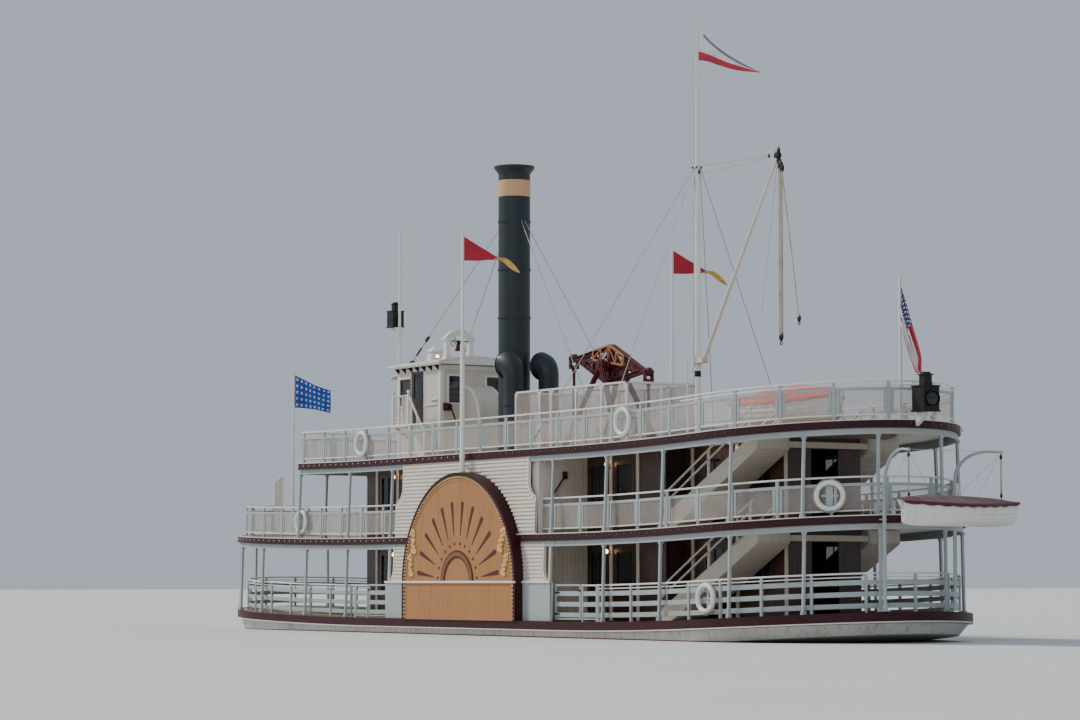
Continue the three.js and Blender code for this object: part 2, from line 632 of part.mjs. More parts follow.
// Frame of sloping legs that carries the walking beam, on two sills that bridge the engine hatch
function makeBeamFrame() {
  const legs = [];
  for (const { sign } of SIDES) {
    const head = [BEAM.x, sign * 330, BEAM.z + 60];
    for (const x of [BEAM.x - 1500, BEAM.x + 1500]) {
      legs.push(post([x, sign * 700, TOP_Z + DECK_GAP], head, 150));
    }
    legs.push(span(BEAM.x - 160, BEAM.x + 160, ...ordered(sign * 250, sign * 410), BEAM.z - 160, BEAM.z + 160));
    legs.push(mirrored(sign, HATCH.aft - 170, HATCH.fore + 200, 625, 775, TOP_Z + DECK_GAP, TOP_Z + 220));
  }
  for (const x of [BEAM.x - 1500, BEAM.x + 1500]) {
    legs.push(span(x - 60, x + 60, -700, 700, TOP_Z + 40, TOP_Z + 200));
  }
  const bore = tube([BEAM.x, -800, BEAM.z], [BEAM.x, 800, BEAM.z], 76, 76, 16);
  return cut(join(legs), bore);
}

// Walking beam about its pivot: a diamond with a lattice and pins
function makeBeam() {
  const { reach, rise } = BEAM;
  const outline = [[reach, 0], [0, rise], [-reach, 0], [0, -rise]];
  const inner = outline.map(([x, z]) => [x * 0.78, z * 0.78]);
  const diamond = cut(sideways(outline, -90, 90), sideways(inner, -200, 200));
  const pieces = [
    diamond,
    span(-45, 45, -70, 70, 70 - rise, rise - 70),
    span(60 - reach, reach - 60, -60, 60, -45, 45),
  ];
  for (const side of [-1, 1]) {
    const x = side * 900;
    pieces.push(span(x - 38, x + 38, -65, 65, -340, 340));
    pieces.push(bar([x, 0, -280], [0, 0, 500], 60, 70), bar([x, 0, 280], [0, 0, -500], 60, 70));
    pieces.push(tube([side * reach, -90, 0], [side * reach, 90, 0], 130, 130, 10));
  }
  pieces.push(tube([0, -230, 0], [0, 230, 0], 190, 190, 10), tube([0, -440, 0], [0, 440, 0], 70, 70, 10));
  const pins = [-reach, reach].map((x) => tube([x, -170, 0], [x, 170, 0], 40, 40, 8));
  return join(pieces, pins);
}

// A rod that hangs from a pin of the walking beam
function makeRod(long) {
  const fork = SIDES.map(({ sign }) => {
    const cheek = span(-70, 70, ...ordered(sign * 100, sign * 150), -260, 70);
    return cut(cheek, tube([0, -300, 0], [0, 300, 0], 46, 46, 12));
  });
  return join(fork, span(-70, 70, -150, 150, -330, -220), tube([0, 0, -300], [0, 0, -long], 55, 55, 10));
}

function makeTopDeck() {
  const hatch = span(HATCH.aft, HATCH.fore, -HATCH.half, HATCH.half, TOP_Z - 300, TOP_Z + 300);
  const under = span(-FAR, FAR, -FAR, FAR, 0, TOP_Z - DECK_THICK);
  const slots = SIDES.map(({ sign }) => keep(wallSlot(sign, TOP_Z), under));
  return cut(makeDeck(TOP_PLAN, TOP_Z), stairWells(TOP_Z), hatch, slots);
}

function makeSecondDeck() {
  const body = makeDeck(SECOND_PLAN, SECOND_Z);
  const slots = SIDES.map(({ sign }) => [boxClear(sign), wallSlot(sign, SECOND_Z - DECK_THICK / 2)]);
  return cut(body, stairWells(SECOND_Z), slots.flat());
}

// Funnel with its crown, hoop and stays:
// the fore pair ends on the pilot house's roof, the aft pair on the beam's sills
function lathe(points, sides) {
  const geometry = new THREE.LatheGeometry(points.map(([r, z]) => new THREE.Vector2(r, z)), sides);
  return geometry.rotateX(Math.PI / 2);
}

const FUNNEL_SIDES = 20;
const STAYS = [
  { x: 7000, y: 900, foot: 9937 },
  { x: -4200, y: 725, foot: 6848 },
];
function makeFunnel() {
  const low = TOP_Z + DECK_GAP;
  const { x, r, top, crown, bore } = FUNNEL;
  const pipe = lathe(
    [
      [0, low],
      [r + 60, low],
      [r + 60, low + 160],
      [r, low + 160],
      [r, top - 430],
      [crown, top - 60],
      [crown, top],
      [0, top],
    ],
    FUNNEL_SIDES,
  );
  const hoop = lathe([[0, 14000], [r + 25, 14000], [r + 25, 14060], [0, 14060]], FUNNEL_SIDES);
  const body = cut(join(pipe, hoop), tube([0, 0, top - 1490], [0, 0, top + 100], bore - 30, bore - 30, FUNNEL_SIDES));
  const stays = [];
  for (const stay of STAYS) {
    for (const { sign } of SIDES) {
      const foot = [stay.x - x, sign * stay.y, stay.foot];
      const toward = new THREE.Vector2(foot[0], foot[1]).normalize();
      stays.push(tube([toward.x * (r - 60), toward.y * (r - 60), 14030], foot, 14, 14, 6));
    }
  }
  return join(body, stays);
}

// Two cowl ventilators on one low casing, their mouths towards the bow
function makeCowls() {
  const low = TOP_Z + DECK_GAP;
  const pieces = [span(-300, 300, -1000, 1000, low, low + 150)];
  for (const { sign } of SIDES) {
    const y = sign * 640;
    const stem = tube([0, y, low + 100], [0, y, 9400], 320, 320, 10);
    const head = new THREE.SphereGeometry(400, 10, 6).rotateX(Math.PI / 2).translate(0, y, 9480);
    const mouth = tube([0, y, 9490], [400, y, 9540], 385, 440, 12);
    const hollow = tube([60, y, 9490], [480, y, 9550], 290, 415, 12);
    pieces.push(cut(join(stem, head, mouth), hollow));
  }
  return join(pieces);
}

// Pilot house with its windows, doorway, hood, and the landing and steps on the port side
const WHEEL_STAND = { x: 6820 };
const PILOT_DOOR = { aft: 5650, fore: 6450, high: 1770 };
const LANDING = { aft: 5600, fore: 6650, out: 620, foot: 4500, steps: 6 };
function makeLanding() {
  const { aft, fore, out, foot, steps } = LANDING;
  const { half, floor } = PILOT;
  const low = TOP_Z + sheerAt(foot) + 2 * DECK_GAP;
  const edge = half + out;
  const profile = [[foot, low]];
  for (let i = 0; i < steps; i++) {
    const z = low + ((i + 1) * (floor - 30 - low)) / steps;
    profile.push([foot + ((aft - foot) * i) / steps, z], [foot + ((aft - foot) * (i + 1)) / steps, z]);
  }
  profile.push([aft + 40, floor - 30], [aft + 40, floor - 260], [foot + 260, low]);
  const railZ = floor + 950;
  const pieces = [
    span(aft, fore, half - 10, edge, floor - 110, floor - 30),
    sideways(profile, half + 60, edge),
    span(aft, fore, edge - 70, edge - 10, railZ - 60, railZ),
    span(fore - 60, fore, half - 10, edge - 10, railZ - 60, railZ),
    bar([aft + 20, edge - 40, railZ - 30], [foot + 60, edge - 40, low + 900], 50, 60),
    post([foot + 90, edge - 40, low + 20], [foot + 90, edge - 40, low + 930], 50),
  ];
  for (const x of [aft + 150, fore - 150]) {
    pieces.push(bar([x, half - 10, floor - 450], [x, edge - 60, floor - 90], 60, 90));
  }
  for (let i = 0; i < 7; i++) {
    const x = aft + 30 + ((fore - aft - 60) * i) / 6;
    pieces.push(span(x - 22, x + 22, edge - 62, edge - 18, floor - 60, railZ - 30));
  }
  return pieces;
}

function makePilotHouse() {
  const low = TOP_Z + DECK_GAP;
  const { aft, fore, half, eaves, floor: floorZ } = PILOT;
  const shell = cut(
    straight(aft, fore, half, TOP_Z + DECK_GAP, eaves),
    straight(aft + WALL, fore - WALL, half - WALL, TOP_Z - MARGIN, eaves + MARGIN),
  );
  const sill = floorZ + 650;
  const windows = [
    ...[-700, 700].map((y) => span(aft - 50, aft + 150, y - 225, y + 225, sill, sill + 850)),
    ...[-800, 0, 800].map((y) => span(fore - 150, fore + 50, y - 330, y + 330, sill - 50, sill + 950)),
    span(6520, 7230, -half - 50, half + 50, sill, sill + 850),
    span(5650, 6400, -half - 50, -half + 150, sill, sill + 850),
    span(PILOT_DOOR.aft - 10, PILOT_DOOR.fore + 10, half - 150, half + 50, floorZ + 10, floorZ + PILOT_DOOR.high + 20),
  ];
  const floor = span(aft + 10, fore - 10, -half + 10, half - 10, floorZ - 90, floorZ);
  const hood = sideways(
    [[aft + 30, low], [aft - 1150, low], ...arc(aft, 7900, 1150, 180, 90, 6), [aft + 30, 9050]],
    -450,
    450,
  );
  const stand = span(WHEEL_STAND.x + 75, WHEEL_STAND.x + 190, -90, 90, floorZ - 20, floorZ + 980);
  return join(cut(shell, windows), floor, hood, makeLanding(), stand);
}

// Cambered roof with visor, bell arch, vent box and aerial
const ROOF = { aft: 4330, fore: 7750, half: 1430, thick: 70, crown: 200 };
const BELL = { x: 5550, z: 10560 };
function makeRoof() {
  const z = PILOT.eaves + sheerAt(PILOT.fore) + 2 * DECK_GAP;
  const camber = (up) => Array.from({ length: 9 }, (_, i) => {
    const y = ROOF.half * (1 - (2 * i) / 8);
    return [y, z + up + ROOF.crown * (1 - (y / ROOF.half) ** 2)];
  });
  const skin = crossways([[ROOF.half, z], ...camber(ROOF.thick), [-ROOF.half, z]], ROOF.aft, ROOF.fore);
  const top = z + ROOF.crown + ROOF.thick - 20;
  const pillars = [-420, 420].map((y) => span(BELL.x - 90, BELL.x + 90, y - 90, y + 90, top - 100, top + 620));
  const bow = cut(
    crossways([...arc(0, top + 560, 540, 0, 180, 10)], BELL.x - 90, BELL.x + 90),
    crossways([...arc(0, top + 500, 340, 0, 180, 10)], BELL.x - 200, BELL.x + 200),
  );
  const box = span(6960, 7340, -190, 190, top - 80, top + 350);
  const cap = new THREE.ConeGeometry(330, 180, 4).rotateX(Math.PI / 2).rotateZ(Math.PI / 4);
  cap.translate(7150, 0, top + 430);
  const aerial = tube([7150, 0, top + 400], [7150, 0, 12350], 18, 12, 6);
  return join(skin, pillars, bow, box, cap, aerial);
}

function makeBell() {
  const outside = [[0, -40], [60, -40], [90, -180], [150, -300], [150, -320]];
  const cup = lathe([...outside, [130, -320], [70, -180], [0, -120]], 12);
  return join(cup, tube([0, -320, 0], [0, 320, 0], 16, 16, 6), span(-30, 30, -60, 60, -60, 25));
}

function makeSteeringWheel() {
  const rim = new THREE.TorusGeometry(400, 26, 5, 12).rotateY(Math.PI / 2);
  const hub = tube([-60, 0, 0], [60, 0, 0], 70, 70, 8);
  const spokes = Array.from({ length: 8 }, (_, i) => {
    const turn = (i / 8) * 2 * Math.PI;
    const end = [0, 520 * Math.cos(turn), 520 * Math.sin(turn)];
    return tube([0, 0, 0], end, 18, 18, 4);
  });
  return join(rim, hub, spokes);
}

function makeMastLantern(x, y, z, k = 1) {
  return [
    span(x, x + 420 * k, y - 210 * k, y + 210 * k, z, z + 560 * k),
    span(x + 120 * k, x + 300 * k, y - 90 * k, y + 90 * k, z + 550 * k, z + 850 * k),
    tube([x + 400 * k, y, z + 280 * k], [x + 520 * k, y, z + 280 * k], 170 * k, 170 * k, 14),
  ];
}

function makeForemast() {
  const low = TOP_Z + sheerAt(FOREMAST.x) + 3 * DECK_GAP;
  const pole = tube([0, 0, low], [0, 0, FOREMAST.top], FOREMAST.r, 40, 10);
  const truck = tube([0, 0, FOREMAST.top - 10], [0, 0, FOREMAST.top + 30], 60, 60, 8);
  return join(pole, truck, makeMastLantern(40, 0, 11300));
}

const SHROUDS = [
  { x: -8100, y: 3300 },
  { x: -4200, y: 3300 },
];
function makeMainMast() {
  const low = TOP_Z + sheerAt(MAST.x) + 3 * DECK_GAP;
  const pieces = [
    tube([0, 0, low], [0, 0, MAST.shoulder], MAST.r, MAST.r, 12),
    tube([0, 0, MAST.shoulder - 200], [0, 0, MAST.top], 55, 32, 10),
    tube([0, 0, MAST.shoulder - 60], [0, 0, MAST.shoulder + 20], 150, 150, 12),
    tube([0, 0, MAST.top - 10], [0, 0, MAST.top + 40], 70, 70, 10),
    lathe([[0, low], [160, low], [160, low + 120], [0, low + 120]], 12),
  ];
  for (const shroud of SHROUDS) {
    for (const { sign } of SIDES) {
      const foot = [shroud.x - MAST.x, sign * shroud.y, TOP_Z + sheerAt(shroud.x) + 20];
      pieces.push(tube([0, sign * 100, MAST.shoulder - 30], foot, 14, 14, 6));
    }
  }
  for (const z of [BOOM.z - 160, BOOM.z + 100]) {
    pieces.push(lathe([[0, z], [140, z], [140, z + 50], [0, z + 50]], 12));
  }
  return join(pieces);
}

// Collar that turns on the mast, with cheeks for the boom's heel
function makeGooseneck() {
  const collar = lathe([[0, -90], [150, -90], [150, 90], [0, 90]], 14);
  const bore = tube([0, 0, -200], [0, 0, 200], MAST.r + 8, MAST.r + 8, 14);
  const cheeks = SIDES.map(({ sign }) => mirrored(sign, BOOM.x - MAST.x - 70, -110, 75, 115, -80, 80));
  const pin = tube([BOOM.x - MAST.x, -110, 0], [BOOM.x - MAST.x, 110, 0], 25, 25, 10);
  return join(cut(join(collar, cheeks), bore), pin);
}

function makeBoom() {
  const tip = [BOOM.tipX - BOOM.x, 0, BOOM.tipZ - BOOM.z];
  const eye = cut(tube([0, -60, 0], [0, 60, 0], 62, 62, 12), tube([0, -100, 0], [0, 100, 0], 31, 31, 12));
  const long = Math.hypot(tip[0], tip[2]);
  const start = tip.map((v) => (v * 45) / long);
  const spar = tube(start, tip, 58, 40, 10);
  const bore = tube([0, -100, 0], [0, 100, 0], 31, 31, 12);
  const head = tube([tip[0], -70, tip[2]], [tip[0], 70, tip[2]], 90, 90, 12);
  return join(cut(join(eye, spar), bore), head);
}

// Flags: closed lenses of cloth, each held at its hoist
function makeFlag(points, thick) {
  return sideways(points, -thick / 2, thick / 2);
}

// Staffs at the bow and stern, each clamped to the rail behind it
const JACKSTAFF = { x: 17250, deck: SECOND_Z, top: 10150, rail: SECOND_PLAN.foreTip - SECOND_RAIL_IN };
const ENSIGN_STAFF = { x: -17400, deck: TOP_Z, top: 10800, rail: TOP_PLAN.aftTip + TOP_RAIL_IN };
const STAFF_R = 40;
function makeStaff({ x, deck, top, rail }) {
  const foot = deck + sheerAt(x) + 4 * DECK_GAP;
  const clamp = deck + sheerAt(x) + RAIL_HIGH - 60;
  const pole = tube([x, 0, foot], [x, 0, top], STAFF_R, STAFF_R * 0.7, 8);
  const button = lathe([[0, top - 10], [65, top - 10], [65, top + 30], [0, top + 30]], 8).translate(x, 0, 0);
  return join(pole, button, bar([x, 0, clamp], [rail, 0, clamp], 50, 50));
}

// Boats: sections from a table of stations, each with its half beam, keel and gunwale heights
const DINGHY = [
  { at: -1700, half: 60, keel: 60, sheer: 620 },
  { at: -1300, half: 330, keel: 10, sheer: 580 },
  { at: -600, half: 590, keel: 0, sheer: 540 },
  { at: 400, half: 640, keel: 0, sheer: 530 },
  { at: 1200, half: 520, keel: 0, sheer: 560 },
  { at: 1700, half: 430, keel: 40, sheer: 600 },
];
const RESCUE = [
  { at: -2300, half: 60, keel: 150, sheer: 760 },
  { at: -1800, half: 480, keel: 40, sheer: 690 },
  { at: -900, half: 800, keel: 0, sheer: 640 },
  { at: 500, half: 850, keel: 0, sheer: 630 },
  { at: 1600, half: 700, keel: 30, sheer: 660 },
  { at: 2300, half: 420, keel: 120, sheer: 700 },
];
// A boat's hull along X: keel, bilge and gunwale rows
function boatSkin(sections, thick) {
  const n = sections.length - 1;
  const inside = thick > 0 ? 1 : 0;
  const geometry = new THREE.BoxGeometry(n, 2, 2, n, 2, 2).translate(n / 2, 0, 0);
  const p = geometry.attributes.position;
  for (let i = 0; i < p.count; i++) {
    const section = sections[Math.round(p.getX(i))];
    const half = section.half - Math.min(thick, section.half * 0.5);
    const share = [0.28, 0.86, 1][Math.round(p.getZ(i)) + 1];
    const middle = section.keel + 0.42 * (section.sheer - section.keel);
    const z = [section.keel + thick, middle, section.sheer + inside * 200][Math.round(p.getZ(i)) + 1];
    p.setXYZ(i, section.at - thick * Math.sign(section.at), Math.round(p.getY(i)) * half * share, z);
  }
  return geometry;
}

const makeBoatHull = (sections, thick) => cut(boatSkin(sections, 0), boatSkin(sections, thick));

// A boat's canvas: a low ridge over the gunwale
const CANVAS_GAP = 14;
function makeCanvas(sections, rise, over) {
  const n = sections.length - 1;
  const geometry = new THREE.BoxGeometry(n, 2, 2, n, 2, 1).translate(n / 2, 0, 0);
  const p = geometry.attributes.position;
  for (let i = 0; i < p.count; i++) {
    const section = sections[Math.round(p.getX(i))];
    const side = Math.round(p.getY(i));
    const top = p.getZ(i) > 0;
    const ridge = top ? (side === 0 ? rise : 45) : 0;
    const end = Math.round(p.getX(i)) === 0 ? -over : Math.round(p.getX(i)) === n ? over : 0;
    p.setXYZ(i, section.at + end, side * (section.half + over), section.sheer + CANVAS_GAP + ridge);
  }
  return geometry;
}

// Davits: two curved arms, joined by a span wire, with the falls that carry the dinghy
const DAVIT = { x: -18150, y: 1150, r: 50, headX: -19600, headY: 1500, headZ: 6100 };
const DINGHY_AT = { x: -19600, z: 4180 };
const THWART = { z: 400, thick: 50, wide: 200, clear: 90 };
function makeDavits() {
  const pieces = [];
  const foot = MAIN_Z + sheerAt(DAVIT.x) + 5 * DECK_GAP;
  for (const { sign } of SIDES) {
    const y = sign * DAVIT.y;
    pieces.push(tube([DAVIT.x, y, foot], [DAVIT.x, y, 5320], DAVIT.r, DAVIT.r, 8));
    pieces.push(mirrored(sign, DAVIT.x - 80, DAVIT.x + 170, DAVIT.y - 110, DAVIT.y + 110, foot, foot + 40));
    const curve = new THREE.CatmullRomCurve3(
      [
        [DAVIT.x, y, 5270],
        [DAVIT.x - 100, y, 5670],
        [DAVIT.x - 420, y * 1.06, 5980],
        [DAVIT.x - 900, y * 1.17, 6120],
        [DAVIT.headX, sign * DAVIT.headY, DAVIT.headZ],
      ].map((v) => new THREE.Vector3(...v)),
    );
    const ring = new THREE.Shape(arc(0, 0, DAVIT.r * 0.9, 0, 315, 7).map(([a, b]) => new THREE.Vector2(a, b)));
    pieces.push(new THREE.ExtrudeGeometry(ring, { steps: 9, bevelEnabled: false, extrudePath: curve }));
    const eye = DINGHY_AT.z + THWART.z + THWART.thick + DECK_GAP;
    const at = (z) => [DAVIT.headX, sign * DAVIT.headY, z];
    pieces.push(tube(at(DAVIT.headZ + 60), at(eye + 120), 14, 14, 6));
    pieces.push(post(at(eye), at(eye + 180), 50));
  }
  pieces.push(tube([DAVIT.headX, -DAVIT.headY, DAVIT.headZ], [DAVIT.headX, DAVIT.headY, DAVIT.headZ], 10, 10, 6));
  return join(pieces);
}

function makeSternLantern() {
  const z = TOP_Z + sheerAt(-18050) - FASCIA_DOWN + 40;
  const arm = span(-40, 240, -90, 90, z + 200, z + 360);
  const foot = span(180, 240, -90, 90, z, z + 360);
  return join(makeMastLantern(-80, 0, z + 350, 1.2), arm, foot);
}

// The ship
const railTop = inset(TOP_PLAN, TOP_RAIL_IN);
const railSecond = inset(SECOND_PLAN, SECOND_RAIL_IN);
const railMain = inset(MAIN_PLAN, MAIN_RAIL_IN);
const gateLine = railMain.half - RAIL_THICK / 2;
const gateEnds = { fore: MAIN_WALL.fore + 40, aft: MAIN_WALL.aft - 40 };
const secondEnds = { fore: SECOND_WALL.fore + 30, aft: SECOND_WALL.aft - 30 };

addMesh("hull", makeHull(), "white");
const deckPlan = inset(MAIN_PLAN, 121);
const wells = SIDES.map(({ sign }) => mirrored(sign, SHAFT_X - 2600, SHAFT_X + 2600, 2430, 3600, 0, 2000));
addMesh("main_deck", cut(plate(deckPlan, GUARD_LOW + GAP, MAIN_Z), wells), "planks");
addMesh("main_guard", strip(MAIN_PLAN, 120, GUARD_LOW, MAIN_Z), "maroon");
addMesh("rudder", makeRudder(), "maroon").position.set(RUDDER.x, 0, 0);
addMesh("engine_block", makeEngine(), "iron");

const shaft = new THREE.Group();
shaft.position.set(SHAFT_X, 0, SHAFT_Z);
group.add(shaft);
addMesh("paddle_shaft", tube([0, -WHEEL_OUT, 0], [0, WHEEL_OUT, 0], SHAFT_R, SHAFT_R, 16), "iron", shaft);
for (const { name, sign } of SIDES) {
  const wheel = addMesh("paddle_wheel_" + name, makeWheel(), "maroon", shaft);
  wheel.position.y = (sign * (WHEEL_IN + WHEEL_OUT)) / 2;
  addMesh("paddle_box_" + name, makeBox(sign), "maroon");
  addMesh("box_face_" + name, makeFace(sign), "tan");
  addMesh("side_wall_" + name, makeSideWall(sign), "white");
}

addMesh("second_deck", makeSecondDeck(), "planks");
addMesh("top_deck", makeTopDeck(), "planks");
addMesh("main_deckhouse", makeHouse(MAIN_Z, SECOND_Z - DECK_THICK), "varnish");
addMesh("second_deckhouse", makeHouse(SECOND_Z, TOP_Z - DECK_THICK), "varnish");
addMesh("main_stairs", makeStairs(MAIN_Z), "white");
addMesh("second_stairs", makeStairs(SECOND_Z), "white");

const mainFeet = MAIN_PLAN.half - 225;
const secondFeet = SECOND_PLAN.half - 95;
for (const [name, end] of [["fore", 1], ["aft", -1]]) {
  const [lower, upper] = end > 0 ? ["mainFore", "secondFore"] : ["mainAft", "secondAft"];
  const mainPosts = makeColonnade(SECOND_PLAN, SECOND_Z, mainFeet, MAIN_Z, end, COLONNADES[lower]);
  const secondPosts = makeColonnade(TOP_PLAN, TOP_Z, secondFeet, SECOND_Z, end, COLONNADES[upper]);
  addMesh("main_colonnade_" + name, mainPosts, "grey");
  addMesh("second_colonnade_" + name, secondPosts, "grey");
  const pastGate = gateEnds[name] + end * (GATE_LONG + 80);
  const mainRail = makeRail(railMain, MAIN_Z, [...BOARDS, HANDRAIL], pastGate, end, 3 * BAY);
  addMesh("main_rail_" + name, mainRail, "grey");
  const secondRail = makeRail(railSecond, SECOND_Z, PANELS, secondEnds[name], end);
  addMesh("second_rail_" + name, end > 0 ? join(secondRail, makeStaff(JACKSTAFF)) : secondRail, "grey");
  for (const side of SIDES) {
    const gate = addMesh("gate_" + side.name + "_" + name, makeGate(end), "grey");
    gate.position.set(gateEnds[name], side.sign * gateLine, MAIN_Z + sheerAt(gateEnds[name] + end * GATE_LONG));
  }
}

const topRails = [1, -1].map((end) => makeRail(railTop, TOP_Z, PANELS, 0, end));
addMesh("top_rail", join(topRails, makeStaff(ENSIGN_STAFF)), "grey");

addMesh("engine_screen", makeScreen(), "white");
addMesh("beam_frame", makeBeamFrame(), "tan");
const beam = new THREE.Group();
beam.position.set(BEAM.x, 0, BEAM.z);
group.add(beam);
const tilt = THREE.MathUtils.degToRad(BEAM.tilt);
beam.rotation.y = -tilt;
addMesh("walking_beam", makeBeam(), "maroon", beam);
for (const [name, at, long] of [["connecting_rod", BEAM.reach, 3600], ["piston_rod", -BEAM.reach, 3100]]) {
  const rod = addMesh(name, makeRod(long), "maroon", beam);
  rod.position.set(at, 0, 0);
  rod.rotation.y = tilt;
}

addMesh("funnel", makeFunnel(), "navy").position.set(FUNNEL.x, 0, 0);
addMesh("cowl_ventilators", makeCowls(), "navy").position.set(1050, 0, 0);
addMesh("pilot_house", makePilotHouse(), "white");
addMesh("pilot_roof", makeRoof(), "white");
const doorFloor = PILOT.floor + 15;
const leaf = span(0, PILOT_DOOR.fore - PILOT_DOOR.aft - 10, -22, 22, 0, PILOT_DOOR.high - 10);
const door = addMesh("pilot_door", cut(leaf, span(130, 660, -50, 50, 850, 1600)), "varnish");
door.position.set(PILOT_DOOR.aft + 5, PILOT.half - 30, doorFloor);
addMesh("steering_wheel", makeSteeringWheel(), "varnish").position.set(WHEEL_STAND.x, 0, PILOT.floor + 900);
addMesh("bell", makeBell(), "brass").position.set(BELL.x, 0, BELL.z);
addMesh("foremast", makeForemast(), "white").position.set(FOREMAST.x, 0, 0);

addMesh("main_mast", makeMainMast(), "white").position.set(MAST.x, 0, 0);
addMesh("boom_gooseneck", makeGooseneck(), "iron").position.set(MAST.x, 0, BOOM.z);
addMesh("cargo_boom", makeBoom(), "white").position.set(BOOM.x, 0, BOOM.z);

// Flags: name, hoist place, colour and outline from the hoist, each drooping away from it
const SIDE_PENNANT = [[-45, 0], [-45, 720], [-1130, 90], [-1750, -330], [-1770, -420], [-1130, -20]];
const MAIN_PENNANT = [[-50, 0], [-50, 970], [-1860, -340], [-1860, -440]];
const BOW_FLAG = [[-50, 0], [-50, 1150], [-1400, 600], [-1300, -210]];
const ENSIGN = [[-50, 900], [-50, 1990], [-820, 200], [-870, -370]];
const FLAGS = [
  { name: "pennant_port", at: [SHAFT_X, 3780, 12380], colour: "red", points: SIDE_PENNANT },
  { name: "pennant_starboard", at: [SHAFT_X, -3780, 12380], colour: "red", points: SIDE_PENNANT },
  { name: "pennant_main", at: [MAST.x, 0, 17770], colour: "red", points: MAIN_PENNANT },
  { name: "flag_bow", at: [17250, 0, 8970], colour: "blue", points: BOW_FLAG },
  { name: "ensign", at: [-17400, 0, 8500], colour: "red", points: ENSIGN },
];
for (const flag of FLAGS) {
  const cloth = addMesh(flag.name, makeFlag(flag.points, 30), flag.colour);
  cloth.position.set(...flag.at);
  cloth.rotation.z = flag.name === "ensign" ? 0 : Math.PI / 4;
}

addMesh("stern_lantern", makeSternLantern(), "navy").position.set(-18600, 0, 0);
addMesh("stern_davits", makeDavits(), "grey");
const dinghy = new THREE.Group();
dinghy.position.set(DINGHY_AT.x, 0, DINGHY_AT.z);
dinghy.rotation.z = -Math.PI / 2;
group.add(dinghy);
const fallsAt = [-DAVIT.headY, DAVIT.headY];
const thwarts = fallsAt.map((x) => {
  const plank = span(x - THWART.wide / 2, x + THWART.wide / 2, -700, 700, THWART.z, THWART.z + THWART.thick);
  return keep(plank, boatSkin(DINGHY, 0));
});
const eyelets = fallsAt.map((x) => span(x - THWART.clear / 2, x + THWART.clear / 2, -45, 45, 300, 900));
addMesh("dinghy", join(makeBoatHull(DINGHY, 40), thwarts), "white", dinghy);
addMesh("dinghy_cover", cut(makeCanvas(DINGHY, 160, 25), eyelets), "maroon", dinghy);

const rescueZ = TOP_Z + sheerAt(-14800) + 260;
const RESCUE_X = -12500;
const chocks = [-1200, 1200].map((x) => {
  const deck = TOP_Z + sheerAt(RESCUE_X + x - 50) + 2 * DECK_GAP;
  return span(x - 50, x + 50, -500, 500, deck - rescueZ, 220);
});
const rescue = new THREE.Group();
rescue.position.set(RESCUE_X, 0, rescueZ);
group.add(rescue);
addMesh("rescue_boat", join(makeBoatHull(RESCUE, 45), chocks), "white", rescue);
addMesh("rescue_boat_cover", makeCanvas(RESCUE, 420, 30), "orange", rescue);

export default group;
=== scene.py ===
"""Looks of a side-wheel paddle steamer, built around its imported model. Metres, +X bow, +Y port, +Z up."""

import math

import bmesh
import bpy
from mathutils import Matrix, Vector


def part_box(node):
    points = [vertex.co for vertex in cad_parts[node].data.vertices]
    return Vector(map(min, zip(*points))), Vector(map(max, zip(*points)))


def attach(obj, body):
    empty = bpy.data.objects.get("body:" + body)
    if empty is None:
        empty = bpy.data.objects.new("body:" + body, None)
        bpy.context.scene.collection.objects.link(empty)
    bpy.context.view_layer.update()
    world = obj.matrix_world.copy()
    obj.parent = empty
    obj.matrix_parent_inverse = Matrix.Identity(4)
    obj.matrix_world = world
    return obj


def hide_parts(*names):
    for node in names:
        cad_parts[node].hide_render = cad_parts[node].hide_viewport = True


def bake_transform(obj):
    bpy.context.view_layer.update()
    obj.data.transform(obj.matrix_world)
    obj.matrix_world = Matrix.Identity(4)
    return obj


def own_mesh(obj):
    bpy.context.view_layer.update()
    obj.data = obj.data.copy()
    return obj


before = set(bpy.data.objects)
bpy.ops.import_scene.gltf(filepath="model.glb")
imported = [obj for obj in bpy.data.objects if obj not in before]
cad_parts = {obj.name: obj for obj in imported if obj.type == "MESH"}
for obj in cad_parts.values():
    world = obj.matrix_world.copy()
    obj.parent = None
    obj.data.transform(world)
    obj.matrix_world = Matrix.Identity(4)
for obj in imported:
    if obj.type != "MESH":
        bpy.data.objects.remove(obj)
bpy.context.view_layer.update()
SHIP = "ship"

# Levels and outlines of the decks, as in the model
WATERLINE = 1.2
MAIN_Z = 1.65
SECOND_Z = 4.14
TOP_Z = 6.6
GUARD_LOW = 1.39
DECK_THICK = 0.12
FASCIA_DOWN = 0.19
VALANCE_HIGH = 0.21
MAIN_PLAN = {"half": 3.9, "fore": (12.0, 17.4), "aft": (-13.55, -18.3)}
SECOND_PLAN = {"half": 3.7, "fore": (12.3, 17.8), "aft": (-13.5, -18.15)}
TOP_PLAN = {"half": 3.6, "fore": (9.8, 10.4), "aft": (-13.45, -18.05)}
SHEER_AFT = (-6.3, 0.0025)
SHEER_FORE = (4.2, 0.0017)

# Paddle boxes and the walls beside them
SHAFT_X = -1.2
SHAFT_Z = 2.68
BOX_R = 3.35
BOX_IN = 2.4
BOX_OUT = 3.89
MAIN_WALL = (-6.06, 3.66)
SECOND_WALL = (-5.1, 3.2)
WALL_FOOT = 3.7
WALL_LEAN = 0.031
NOTCH = 0.45
PANEL_TOP = 2.75

# Rails
RAIL_HIGH = 1.05
MAIN_RAIL_IN = 0.34
SECOND_RAIL_IN = 0.3
TOP_RAIL_IN = 0.14
BAY = 1.43
GATE_LONG = 1.38


